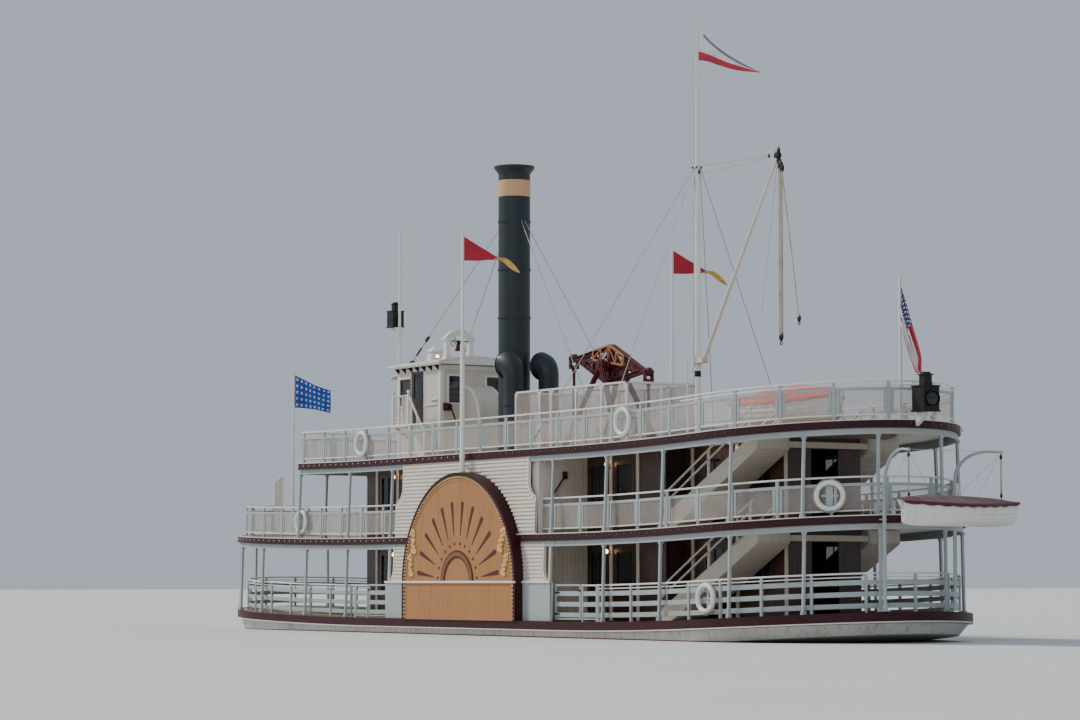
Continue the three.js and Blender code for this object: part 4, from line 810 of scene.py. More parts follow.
def make_stage():
    floor_mat, tree, shader = new_material("pale_floor", 0.75)
    cloud = noise(tree, place_of(tree), 0.05, 2.0)
    tree.links.new(mix(tree, cloud, (0.60, 0.61, 0.61, 1), (0.66, 0.66, 0.65, 1)),
                   shader.inputs["Base Color"])
    mesh = bpy.data.meshes.new("floor")
    corners = [(x * FLOOR_REACH, y * FLOOR_REACH, WATERLINE) for x, y in ((-1, -1), (1, -1), (1, 1), (-1, 1))]
    mesh.from_pydata(corners, [], [(0, 1, 2, 3)])
    mesh.materials.append(floor_mat)
    new_object("floor", mesh)
    world = bpy.data.worlds.new("studio")
    world.use_nodes = True
    back = world.node_tree.nodes["Background"]
    back.inputs["Color"].default_value = (0.72, 0.80, 0.92, 1)
    back.inputs["Strength"].default_value = 0.62
    bpy.context.scene.world = world
    for name, toward, power, size, colour in SUNS:
        data = bpy.data.lights.new(name, "SUN")
        data.energy = power
        data.angle = math.radians(size)
        data.color = colour
        lamp = new_object(name, data)
        lamp.rotation_mode = "QUATERNION"
        lamp.rotation_quaternion = Vector(toward).to_track_quat("-Z", "Y")


# Hull: (height, sheer share, counter share, half width, fore start, fore tip, aft start, aft tip)
HULL_ROWS = [
    (0.0, 0, 0.0, 1.95, 8.0, 15.9, -8.0, -13.9),
    (0.26, 0, 0.0, 2.35, 8.5, 16.4, -8.5, -14.1),
    (0.9, 0, 0.2, 2.4, 9.5, 16.9, -9.5, -14.25),
    (1.05, 0, 1.0, 3.7, 11.5, 17.15, -12.8, -18.0),
    (GUARD_LOW, 1, 0.0, 3.77, 12.0, 17.28, -13.55, -18.18),
]
COUNTER = (-9.5, 0.42, 8.8)


def hull_row(row, ends, middles):
    z, lift, counter, half, fore_start, fore_tip, aft_start, aft_tip = row
    turns = [math.pi / 2 * i / ends for i in range(ends + 1)]
    side = [(fore_start + (fore_tip - fore_start) * math.sin(t), half * math.cos(t)) for t in reversed(turns)]
    side += [(fore_start + (aft_start - fore_start) * i / middles, half) for i in range(1, middles)]
    side += [(aft_start + (aft_tip - aft_start) * math.sin(t), half * math.cos(t)) for t in turns]
    points = []
    for x, y in side:
        past = max(0.0, COUNTER[0] - x) / COUNTER[2]
        points.append((x, y, z + lift * (sheer(x) - 0.012) + counter * COUNTER[1] * past**1.5))
    return points


WELL_HALF = 2.6


def build_hull():
    """The shell, with a well for each paddle wheel cut out of it."""
    rows = [hull_row(row, 18, 26) for row in HULL_ROWS]
    loops = [row + [(x, -y, z) for x, y, z in reversed(row[1:-1])] for row in rows]
    count = len(loops[0])
    points = [p for loop in loops for p in loop]
    faces = rings_to_faces(len(loops), count, caps=False)
    for level in (0, len(loops) - 1):
        for j in range(len(rows[0]) - 1):
            mirror = [(count - k) % count for k in (j, j + 1)]
            quad = [level * count + k for k in (j, j + 1, mirror[1], mirror[0])]
            if len(set(quad)) >= 3:
                faces.append(tuple(dict.fromkeys(quad)))
    made = Piece("hull_shell", TOPSIDE, "hull_white").add((points, faces)).build("hull", sharp=28)
    wells = joined(both(SHAFT_X - WELL_HALF, SHAFT_X + WELL_HALF, 2.43, 3.6, -0.2, 2.0))
    cutter = new_object("wells", new_mesh("wells", *wells))
    hole = made.modifiers.new("wells", "BOOLEAN")
    hole.operation = "DIFFERENCE"
    hole.object = cutter
    hole.solver = "EXACT"
    bpy.context.view_layer.update()
    cut_mesh = bpy.data.meshes.new_from_object(made.evaluated_get(bpy.context.evaluated_depsgraph_get()))
    made.modifiers.clear()
    made.data = cut_mesh
    bpy.data.objects.remove(cutter)


def build_guard():
    Piece("guard_band", MAROON, "maroon_paint").add(
        band(MAIN_PLAN, 0.0, 0.12, GUARD_LOW + 0.035, MAIN_Z),
        band(MAIN_PLAN, 0.004, 0.16, MAIN_Z - 0.01, MAIN_Z + 0.012),
    ).build("main_guard")
    trim = Piece("guard_moulding", CREAM, "hull_white")
    trim.add(band(MAIN_PLAN, -0.012, 0.1, GUARD_LOW, GUARD_LOW + 0.035)).build()
    margin = Piece("main_margin_plank", DECKING, "deck_planks")
    margin.add(band(MAIN_PLAN, 0.12, 0.42, MAIN_Z - 0.03, MAIN_Z + 0.006)).build()


# Upper decks: bands, light line, bulbs, valance
BULB_STEP = 0.38


def build_deck_edge(label, plan, z):
    low = z - FASCIA_DOWN - 0.004
    fascia = Piece(label + "_fascia", MAROON, "maroon_paint")
    fascia.add(band(plan, -0.008, 0.06, low, z), band(plan, -0.02, 0.06, low, low + 0.034)).build()
    Piece(label + "_nosing", CREAM, "grey_paint").add(band(plan, -0.022, 0.11, z, z + 0.028)).build()
    Piece(label + "_margin_plank", DECKING,
          "deck_planks").add(band(plan, 0.11, 0.4, z - 0.02, z + 0.012)).build()
    bulbs = Piece(label + "_bulbs", BULB, "white_boards")
    cups = Piece(label + "_bulb_sockets", BLACK, "machine_iron")
    for end in ("fore", "aft"):
        for x, y, direction in along_edge(plan, end, SHAFT_X, BULB_STEP, -0.03):
            if abs(x - SHAFT_X) < BOX_R * 0.96 and z < SHAFT_Z + BOX_R - 1:
                continue
            height = z + sheer(x) - 0.075
            behind = (x + 0.02 * direction.y, y - 0.02 * direction.x)
            bulbs.add(ball((x, y, height), 0.015, 4, 6))
            cups.add(upright(*behind, direction, 0.03, 0.03, height - 0.014, height + 0.014))
    bulbs.build()
    cups.build()


# By piece: (edge, deck above, half width at the feet, deck below, end, where the valance starts,
# places of posts along the side, and their degrees round the end)
COLONNADES = {
    "main_colonnade_fore": (SECOND_PLAN, SECOND_Z, 3.675, MAIN_Z, "fore", 3.0, [6.35, 9.16], [0, 24, 46, 67]),
    "main_colonnade_aft": (SECOND_PLAN, SECOND_Z, 3.675, MAIN_Z, "aft", -5.0, [-8.75, -11.56],
                           [14.5, 44, 73]),
    "second_colonnade_fore": (TOP_PLAN, TOP_Z, 3.605, SECOND_Z, "fore", 2.756, [3.54, 6.35], [0, 48, 78]),
    "second_colonnade_aft": (TOP_PLAN, TOP_Z, 3.605, SECOND_Z, "aft", -4.656, [-5.94, -8.75, -11.56],
                             [14.5, 44, 73]),
}
POST_IN = 0.085


def build_colonnade(node, plan, deck_z, foot_half, foot_z, end, limit, straight_x, turns):
    low = deck_z - DECK_THICK - VALANCE_HIGH
    piece = Piece(node + "_posts", GREY, "grey_paint")
    piece.add(band(plan, 0.06, 0.11, low, deck_z - DECK_THICK + 0.01, end, limit))
    piece.add(band(plan, 0.045, 0.12, low - 0.02, low + 0.03, end, limit))
    half = plan["half"] - POST_IN
    places = [(x, half) for x in straight_x] + [edge_point(plan, end, math.radians(t), POST_IN)
                                                for t in turns]
    for x, y in places:
        for sign in (1, -1):
            foot = Vector((x, sign * y * foot_half / half, foot_z + sheer(x) + 0.002))
            head = Vector((x, sign * y, low + sheer(x) + 0.02))
            up = Vector((0, 0, 0.1))
            piece.add(stick(foot, head, 0.075), stick(foot, foot + up, 0.12), stick(head - up, head, 0.11))
    piece.build(node, bevel=0.006)


def build_decks():
    for node in ("main_deck", "second_deck", "top_deck"):
        finish_node(node, DECKING)
    build_deck_edge("second_deck", SECOND_PLAN, SECOND_Z)
    build_deck_edge("top_deck", TOP_PLAN, TOP_Z)
    for node, facts in COLONNADES.items():
        build_colonnade(node, *facts)
    ceiling = Piece("deck_ceilings", CREAM, "grey_paint")
    for plan, z in ((SECOND_PLAN, SECOND_Z), (TOP_PLAN, TOP_Z)):
        for end, x in (("fore", 2.9), ("aft", -5.3)):
            ceiling.add(band(plan, 0.2, 1.7, z - DECK_THICK - 0.02, z - DECK_THICK - 0.004, end, x))
    ceiling.build()


# Rails
def rail_posts(piece, plan, end, from_x, inset, z, wide, deep, low=0.004, high=RAIL_HIGH - 0.05, off=0.0):
    """Posts a bay apart from from_x, moved off along the edge."""
    for x, y, direction in along_edge(plan, end, from_x, BAY, inset):
        place = (x + direction.x * off, y + direction.y * off)
        piece.add(upright(*place, direction, wide, deep, z + sheer(x) + low, z + sheer(x) + high))


def mesh_panel(piece, plan, end, from_x, inset, z, low, high):
    """A standing strip of woven wire with lengths in metres for its pattern."""
    path = end_path(plan, end, from_x, inset, step=0.7, turns=40)
    points, uvs, walked = [], [], 0.0
    for i, (x, y) in enumerate(path):
        if i:
            walked += math.dist(path[i - 1], (x, y))
        for h in (low, high):
            points.append((x, y, z + sheer(x) + h))
            uvs.append((walked, h))
    faces = [(2 * i, 2 * i + 2, 2 * i + 3, 2 * i + 1) for i in range(len(path) - 1)]
    piece.add_with_uv(points, faces, uvs)


def build_mesh_rail(name, plan, inset, z, runs, wall_posts=True, second_bar=None):
    """Handrail, framed wire mesh and flat posts, in runs of (end, where it starts, where its posts start)."""
    bars = Piece(name + "_frame", GREY, "grey_paint")
    top = Piece(name + "_handrail", WHITE, "grey_paint")
    wires = Piece(name + "_mesh", MESH, "grey_paint")
    middle = inset + 0.02

    def bar(half, low, high, end, from_x):
        return band(plan, middle - half, middle + half, z + low, z + high, end, from_x)

    for end, from_x, post_x in runs:
        top.add(bar(0.04, RAIL_HIGH - 0.045, RAIL_HIGH, end, from_x), bar(0.03, 0.14, 0.18, end, from_x))
        bars.add(bar(0.018, 0.79, 0.87, end, from_x))
        mesh_panel(wires, plan, end, from_x, middle, z, 0.16, 0.8)
        rail_posts(bars, plan, end, post_x, middle, z, 0.09, 0.06)
        for off in (-0.105, 0.105):
            rail_posts(bars, plan, end, post_x, middle, z, 0.075, 0.034, 0.15, 0.86, off)
        if wall_posts:
            y, base = plan["half"] - middle, z + sheer(from_x)
            bars.add(*both(from_x - 0.04, from_x + 0.04, y - 0.03, y + 0.03, base + 0.004, base + 1.0))
    if second_bar:
        top.add(bar(0.03, 0.91, 0.95, "aft", second_bar))
    bars.build(name, bevel=0.005)
    top.build(bevel=0.008)
    wires.build()


BOARDS = [(0.13, 0.26), (0.43, 0.56), (0.73, 0.86)]
FIXED_LEAF = 0.82


def build_board_rail(end, node):
    """Boards between posts, with a fixed leaf beside the gate."""
    sign = 1 if end == "fore" else -1
    leaf = MAIN_WALL[end == "fore"] + sign * (0.04 + GATE_LONG)
    from_x = leaf + sign * FIXED_LEAF
    middle = MAIN_RAIL_IN + 0.025
    y = MAIN_PLAN["half"] - middle

    def rail(half, low, high, start):
        return band(MAIN_PLAN, middle - half, middle + half, MAIN_Z + low, MAIN_Z + high, end, start)

    piece = Piece(node + "_boards", GREY, "grey_paint")
    piece.add(*[rail(0.016, low, high, leaf) for low, high in BOARDS])
    top = Piece(node + "_handrail", WHITE, "grey_paint")
    top.add(rail(0.04, RAIL_HIGH - 0.045, RAIL_HIGH, from_x), rail(0.03, 0.915, 0.945, from_x))
    rail_posts(piece, MAIN_PLAN, end, from_x + sign * 0.3, middle - 0.01, MAIN_Z, 0.075, 0.07)
    for x in (leaf + sign * 0.045, from_x - sign * 0.04, from_x + sign * 0.045):
        base = MAIN_Z + sheer(x)
        piece.add(*both(x - 0.033, x + 0.033, y - 0.032, y + 0.032, base + 0.004, base + 1.0))
    near, far = sorted((leaf + sign * 0.01, from_x - sign * 0.01))
    base = MAIN_Z + sheer(from_x)
    top.add(*both(near, far, y - 0.035, y + 0.035, base + 1.0, base + 1.045))
    piece.add(*both(near, far, y - 0.02, y + 0.02, base + 0.06, base + 0.1))
    piece.build(node, bevel=0.005)
    top.build(bevel=0.008)


# (piece, side, the way it runs from its hinge)
GATES = [
    ("gate_port_fore", 1, 1), ("gate_starboard_fore", -1, 1),
    ("gate_port_aft", 1, -1), ("gate_starboard_aft", -1, -1),
]


def build_gates():
    for node, sign, toward in GATES:
        (x0, y0, _), (x1, y1, top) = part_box(node)
        base, y = top - RAIL_HIGH, (y0 + y1) / 2
        gate = Piece(node + "_joinery", GREY, "grey_paint", node + "_body")
        for x in (x0 + 0.03, x1 - 0.03):
            gate.add(block(x, y, 0.03, 0.025, base + 0.06, top - 0.02))
        middle, half = (x0 + x1) / 2, (x1 - x0) / 2
        gate.add(*[block(middle, y, half - 0.02, 0.016, base + low, base + high) for low, high in BOARDS])
        gate.add(block(middle, y, half, 0.03, top - 0.045, top + 0.01))
        gate.add(block(middle, y, half - 0.02, 0.02, base + 0.06, base + 0.1))
        gate.build(node, bevel=0.004)
        irons = Piece(node + "_hinges", BLACK, "machine_iron", node + "_body")
        hinge, latch = (x0 + 0.03, x1 - 0.03)[::toward]
        for z in (base + 0.2, base + 0.8):
            irons.add(block(hinge + toward * 0.11, y + sign * 0.026, 0.11, 0.004, z, z + 0.04))
            irons.add(tube([(hinge, y + sign * 0.03, z - 0.02), (hinge, y + sign * 0.03, z + 0.06)], 0.012,
                           8))
        irons.add(block(latch, y + sign * 0.03, 0.03, 0.008, top - 0.2, top - 0.14))
        irons.build()


# Round the ends: (name, edge, inset, deck, degrees). On the straight: (name, x, y, deck).
LIFE_RINGS = [
    ("main", MAIN_PLAN, MAIN_RAIL_IN - 0.08, MAIN_Z, 2.0),
    ("second", SECOND_PLAN, SECOND_RAIL_IN - 0.08, SECOND_Z, 53.5),
    ("second_stern", SECOND_PLAN, SECOND_RAIL_IN - 0.08, SECOND_Z, 128.0),
]
STRAIGHT_RINGS = [
    ("second_fore", 9.8, 3.5, SECOND_Z),
    ("top_fore", 5.55, 3.56, TOP_Z),
    ("top_mid", -9.6, 3.56, TOP_Z),
]
RING_R = 0.345
RING_THICK = 0.068
RING_UP = 0.56


def life_ring(name, centre, face):
    """A white ring with four bands and a grab line, its face along the given heading."""
    turn = Matrix.Rotation(math.atan2(face[1], face[0]) - math.pi / 2, 4, "Z")
    put = Matrix.Translation(centre) @ turn
    rope_r = RING_R + RING_THICK + 0.012
    quarter = math.pi / 2
    bands = Piece("life_ring_line_" + name, ROPE, "white_boards")
    for k in range(4):
        start = quarter / 2 + k * quarter
        at = Matrix.Translation((RING_R * math.cos(start), 0, RING_R * math.sin(start)))
        spun = at @ Matrix.Rotation(2 * quarter - start, 4, "Y") @ Matrix.Rotation(quarter, 4, "Z")
        bands.add(moved(ring((0, 0, 0), RING_THICK + 0.006, 0.012, "x", 14, 6), put @ spun))
        path = []
        for i in range(9):
            a, r = start + quarter * i / 8, rope_r + 0.02 * math.sin(math.pi * i / 8)
            path.append((r * math.cos(a), 0, r * math.sin(a)))
        bands.add(moved(tube(path, 0.009, 6), put))
    body = Piece("life_ring_" + name, WHITE, "white_boards")
    body.add(moved(ring((0, 0, 0), RING_R, RING_THICK, "y", 36, 12), put)).build()
    bands.build()
    holder = Piece("life_ring_bracket_" + name, GREY, "grey_paint")
    holder.add(moved(box((-0.22, -0.1, -0.03), (0.22, -0.07, 0.03)), put))
    holder.add(moved(box((-0.05, -0.1, -0.4), (0.05, -0.075, 0.4)), put)).build()


def build_life_rings():
    for name, plan, inset, z, degrees in LIFE_RINGS:
        turn = math.radians(degrees)
        x, y = edge_point(plan, "aft", turn, inset)
        start, tip = plan["aft"]
        slope = Vector((math.sin(turn) / (tip - start), math.cos(turn) / plan["half"]))
        life_ring(name, (x, y, z + sheer(x) + RING_UP), slope.normalized())
    for name, x, y, z in STRAIGHT_RINGS:
        for label, sign in ((name, 1), (name + "_starboard", -1)):
            life_ring(label, (x, sign * y, z + sheer(x) + RING_UP), (0, sign))


# Side walls
BOARD_HIGH = 0.112


def wall_y(z):
    return WALL_FOOT - WALL_LEAN * (z - MAIN_Z)


def wall_limits(z):
    """Aft and fore ends of the side wall at a height."""
    if z < SECOND_Z - DECK_THICK:
        aft, fore, foot = MAIN_WALL[0], MAIN_WALL[1], MAIN_Z
    else:
        aft, fore, foot = SECOND_WALL[0], SECOND_WALL[1], SECOND_Z
    corner = foot + RAIL_HIGH + 0.05
    if z > corner + NOTCH:
        cut = NOTCH
    elif z > corner:
        cut = math.sqrt(max(0.0, NOTCH**2 - (corner + NOTCH - z) ** 2))
    else:
        cut = 0.0
    return aft + cut, fore - cut


def box_half(z, r=BOX_R):
    if z >= SHAFT_Z + r:
        return 0.0
    return r if z < SHAFT_Z else math.sqrt(r * r - (z - SHAFT_Z) ** 2)


def clapboard(sign, x0, x1, z0, z1):
    """One lapped board: its lower edge stands proud of the wall."""
    y0, y1 = wall_y(z0), wall_y(z1)
    outline = [(y0 - 0.01, z0), (y0 + 0.032, z0 - 0.004), (y0 + 0.033, z0 + 0.008), (y1 + 0.002, z1 + 0.006),
               (y1 - 0.01, z1)]
    return prism([(sign * y, z) for y, z in outline], "x", x0, x1)


def wall_board_rows():
    """Lower and upper edges of the clapboards, with none behind the second deck's edge."""
    z, top = PANEL_TOP + 0.05, TOP_Z - FASCIA_DOWN - 0.02
    while z < top:
        high = min(z + BOARD_HIGH, top)
        if high <= SECOND_Z - FASCIA_DOWN - 0.02 or z >= SECOND_Z + 0.03:
            yield z, high
        z += BOARD_HIGH


def build_side_walls():
    boards = Piece("clapboards", IVORY, "white_boards")
    panels = Piece("main_deck_wall_panels", GREY, "grey_paint")
    trims = Piece("wall_trims", WHITE, "white_boards")
    for side, sign in (("port", 1), ("starboard", -1)):
        finish_node("side_wall_" + side, IVORY)
        for z, high in wall_board_rows():
            aft = max(wall_limits(z)[0], wall_limits(high)[0])
            fore = min(wall_limits(z)[1], wall_limits(high)[1])
            gap = box_half(z)
            runs = ((aft, SHAFT_X - gap), (SHAFT_X + gap, fore)) if gap else ((aft, fore),)
            boards.add(*[clapboard(sign, x0, x1, z, high) for x0, x1 in runs])
        for aft, fore, foot, ceiling in ((*MAIN_WALL, MAIN_Z, SECOND_Z), (*SECOND_WALL, SECOND_Z, TOP_Z)):
            corner = foot + RAIL_HIGH + 0.05
            bend = arc(0, corner + NOTCH, NOTCH, -90, 0, 8) + [(NOTCH, ceiling - DECK_THICK)]
            for x, turn in ((aft, 1), (fore, -1)):
                rows = []
                for dx, dy in ((-0.02, -0.07), (-0.02, 0.03), (0.03, 0.03), (0.03, -0.07)):
                    rows.append([(x + turn * (along + dx), sign * (wall_y(h) + dy), h) for along, h in bend])
                trims.add(sweep(rows))
    panels.add(*both(MAIN_WALL[0] + 0.01, SHAFT_X - BOX_R - 0.01, 3.69, 3.72, MAIN_Z + 0.02, PANEL_TOP))
    panels.add(*both(SHAFT_X + BOX_R + 0.01, MAIN_WALL[1] - 0.01, 3.69, 3.72, MAIN_Z + 0.02, PANEL_TOP))
    for x0, x1 in ((MAIN_WALL[0] - 0.13, MAIN_WALL[0] + 0.6), (MAIN_WALL[1] - 0.6, MAIN_WALL[1] + 0.13)):
        panels.add(*both(x0, x1, 3.55, 3.66, SECOND_Z - DECK_THICK - VALANCE_HIGH, SECOND_Z - 0.02))
    boards.build(sharp=20)
    panels.build(bevel=0.004)
    trims.build(bevel=0.004)
POLE_Y = 3.78
POLE_TOP = 13.25


def build_pennant_poles():
    """Poles that stand on the paddle boxes: a stout foot and a thinner top with a cap."""
    poles = Piece("pennant_poles", WHITE, "white_boards")
    foot, top, clamp = SHAFT_Z + BOX_R + 0.004, POLE_TOP, TOP_Z - 0.12
    profile = [
        (0, foot), (0.1, foot), (0.1, foot + 0.05), (0.076, foot + 0.07), (0.07, 9.85), (0.05, 9.9),
        (0.036, top - 0.02), (0.06, top), (0.065, top + 0.03), (0.03, top + 0.05), (0, top + 0.055),
    ]
    hoop = [(0.074, clamp), (0.09, clamp), (0.09, clamp + 0.06), (0.074, clamp + 0.06)]
    for sign in (1, -1):
        poles.add(lathe(profile, (SHAFT_X, sign * POLE_Y, 0), 20),
                  lathe(hoop, (SHAFT_X, sign * POLE_Y, 0), 20))
    poles.build()


# Paddle boxes
FACE_CENTRE_Z = PANEL_TOP
RAYS = 12
RAY = {"near": 1.40, "far": 2.43, "thin": 0.028, "wide": 0.075}
DOTS_R = 1.17
HALF_RING = (0.74, 0.97)


def face_y(sign, out):
    return sign * (BOX_OUT + 0.06 + out)


def on_face(sign, outline, low, high):
    return plate(outline, sign, face_y(1, low), face_y(1, high))


def polar(r, degrees, centre_z=FACE_CENTRE_Z):
    return SHAFT_X + r * math.cos(math.radians(degrees)), centre_z + r * math.sin(math.radians(degrees))


def arch_band(sign, outer, inner, low, high, centre_z=SHAFT_Z, steps=72, foot=None):
    """A curved strip on the face of a box, on straight legs where foot is given."""
    rows = []
    for r, y in ((outer, low), (outer, high), (inner, high), (inner, low)):
        line = [polar(r, 180 * i / steps, centre_z) for i in range(steps + 1)]
        if foot is not None:
            line = [(SHAFT_X + r, foot), *line, (SHAFT_X - r, foot)]
        rows.append([(x, face_y(sign, y), z) for x, z in line])
    return sweep(rows)


def scroll(sign, x, z, tilt, size):
    """A carved spray: a stem with a curl at each end, and leaves on both sides of it."""
    shapes = []
    for way in (1, -1):
        path = []
        for i in range(17):
            turn, r = i / 16 * 2.2 * math.pi, size * (0.3 - 0.22 * i / 16)
            path.append((way * (r * math.cos(turn) - size * 0.12), 0.03,
                         way * (size * 0.52 + r * math.sin(turn))))
        shapes.append(tube(path, [size * (0.075 - 0.0025 * i) for i in range(17)], 6))
    for k in range(9):
        share, side = k / 8, 1 if k % 2 else -1
        at = (size * (0.1 * math.sin(2 * math.pi * share) + side * 0.13), 0.02, size * (1.5 * share - 0.75))
        shape = Matrix.Diagonal((0.085 * size, 0.035, 0.19 * size, 1))
        leaf = Matrix.Translation(at) @ Matrix.Rotation(side * 0.8, 4, "Y") @ shape
        shapes.append(moved(ball((0, 0, 0), 1.0, 6, 8), leaf))
    shapes.append(ball((0, 0.03, 0), size * 0.14, 5, 8, 0.9))
    put = Matrix.Translation((x, face_y(sign, 0), z)) @ Matrix.Rotation(tilt, 4, "Y")
    return [moved(shape, put @ Matrix.Scale(sign, 4, (0, 1, 0))) for shape in shapes]


BOX_FOOT = MAIN_Z + 0.004
BEADS = 96
BEAD_IN = 0.14
SCROLLS = ((2.62, 4.0, 0.44), (2.79, 3.28, 0.4))


def box_arch(r):
    """Outline of a paddle box: straight legs and a half circle."""
    return [(SHAFT_X + r, BOX_FOOT), *arc(SHAFT_X, SHAFT_Z, r, 0, 180, 64), (SHAFT_X - r, BOX_FOOT)]


def ray_outline(degrees):
    """A tapering ray that points away from the sun's centre."""
    out = Vector((math.cos(math.radians(degrees)), math.sin(math.radians(degrees))))
    cross = Vector((-out.y, out.x))
    centre = Vector((SHAFT_X, FACE_CENTRE_Z))
    near, far = centre + out * RAY["near"], centre + out * RAY["far"]
    thin, wide, shoulder = cross * RAY["thin"] * 0.3, cross * RAY["wide"], far - out * 0.05
    corners = [near - thin, shoulder - wide, far - wide * 0.6, far + wide * 0.6, shoulder + wide, near + thin]
    return [tuple(p) for p in corners]


def build_paddle_boxes():
    for side, sign in (("port", 1), ("starboard", -1)):
        barrel = Piece("paddle_box_barrel_" + side, MAROON, "maroon_paint")
        rows = []
        for r, y in ((BOX_R, BOX_IN), (BOX_R, BOX_OUT + 0.06), (BOX_R - 0.1, BOX_OUT + 0.06),
                     (BOX_R - 0.1, BOX_IN)):
            rows.append([(x, sign * y, z) for x, z in box_arch(r)])
        barrel.add(sweep(rows), plate(box_arch(BOX_R - 0.05), sign, BOX_IN, BOX_IN + 0.06))
        barrel.add(arch_band(sign, BOX_R, BOX_R - 0.09, -0.02, 0.022, foot=BOX_FOOT))
        barrel.build("paddle_box_" + side)
        face = Piece("paddle_box_face_" + side, TAN, "tan_paint")
        face.add(plate(box_arch(BOX_R - 0.09), sign, BOX_OUT + 0.001, face_y(1, 0)))
        face.add(arch_band(sign, BOX_R - 0.09, BOX_R - 0.25, 0, 0.012, foot=BOX_FOOT))
        face.build("box_face_" + side, bevel=0.004)
        marks = Piece("box_face_rays_" + side, BROWN, "tan_paint")
        for k in range(RAYS):
            degrees = 180 / RAYS * (k + 0.5)
            marks.add(on_face(sign, ray_outline(degrees), 0, 0.009))
            marks.add(on_face(sign, arc(*polar(DOTS_R, degrees), 0.045, 0, 330, 11), 0, 0.01))
        marks.add(arch_band(sign, HALF_RING[1], HALF_RING[0], 0, 0.02, FACE_CENTRE_Z, 40))
        marks.add(arch_band(sign, BOX_R - 0.1, BOX_R - 0.18, 0.008, 0.014, foot=BOX_FOOT))
        marks.build(bevel=0.003)
        sun = Piece("box_face_sun_" + side, SUN_BROWN, "tan_paint")
        sun.add(arch_band(sign, HALF_RING[1] - 0.06, HALF_RING[0] + 0.06, 0.018, 0.028, FACE_CENTRE_Z,
                          40)).build()
        beads = [polar(BOX_R - BEAD_IN, 180 * i / BEADS, SHAFT_Z) for i in range(BEADS + 1)]
        for end in (-1, 1):
            beads += [(SHAFT_X + end * (BOX_R - BEAD_IN), BOX_FOOT + 0.08 + i * 0.115) for i in range(9)]
        gilt = Piece("box_face_gilding_" + side, GILT, "tan_paint")
        gilt.add(*[ball((x, face_y(sign, 0.014), z), 0.03, 4, 6) for x, z in beads])
        for end in (-1, 1):
            for out, z, size in SCROLLS:
                gilt.add(*scroll(sign, SHAFT_X + end * out, z, end * 0.25, size))
        gilt.build()
        rail = Piece("box_moulding_" + side, WHITE, "white_boards")
        ends = (MAIN_WALL[0], SHAFT_X - BOX_R, SHAFT_X + BOX_R, MAIN_WALL[1])
        for x0, x1, out in zip(ends, ends[1:], (3.7, BOX_OUT + 0.06, 3.7)):
            rail.add(sided_box(sign, x0, x1, out - 0.01, out + 0.06, PANEL_TOP - 0.005, PANEL_TOP + 0.06))
        rail.build(bevel=0.01)


def build_wheels():
    for node in ("paddle_wheel_port", "paddle_wheel_starboard"):
        finish_node(node, RED_IRON)
    for node in ("paddle_shaft", "engine_block"):
        finish_node(node, BLACK)
    finish_node("rudder", MAROON)


# Deckhouses
HOUSE_HALF = 1.85

# How far apart windows and pilasters stand, and what a window and a door measure
WINDOW_STEP = 1.4
WINDOWS_X = [6.9 - WINDOW_STEP * i for i in range(11)]
WINDOW = {"wide": 0.8, "sill": 0.85, "high": 1.15}
DOOR = {"wide": 0.85, "high": 2.0, "panel": 1.05, "places": (2, 10)}
STAIR_HOUSE_HALF = 1.2


def window_frame(trim, panes, sign, x, y, sill, wide, high, bars=1):
    """A frame round an opening in a side wall, with a glass pane and glazing bars."""
    half, top = wide / 2, sill + high
    for x0, x1, z0, z1 in (
        (x - half - 0.06, x - half + 0.02, sill - 0.06, top + 0.06),
        (x + half - 0.02, x + half + 0.06, sill - 0.06, top + 0.06),
        (x - half, x + half, top - 0.02, top + 0.06),
        (x - half, x + half, sill - 0.06, sill + 0.02),
    ):
        trim.add(sided_box(sign, x0, x1, y - 0.03, y + 0.02, z0, z1))
    for k in range(bars):
        at = x - half + wide * (k + 1) / (bars + 1)
        trim.add(sided_box(sign, at - 0.015, at + 0.015, y - 0.03, y + 0.005, sill, top))
    panes.add(sided_box(sign, x - half, x + half, y - 0.03, y - 0.024, sill, top))


def wall_lamp(brass, light, x, y, z, sign):
    brass.add(sided_box(sign, x - 0.03, x + 0.03, y, y + 0.03, z - 0.08, z + 0.08))
    brass.add(tube([(x, sign * (y + 0.02), z), (x, sign * (y + 0.14), z - 0.02)], 0.012, 6))
    light.add(ball((x, sign * (y + 0.14), z + 0.05), 0.055, 6, 8, 1.2))


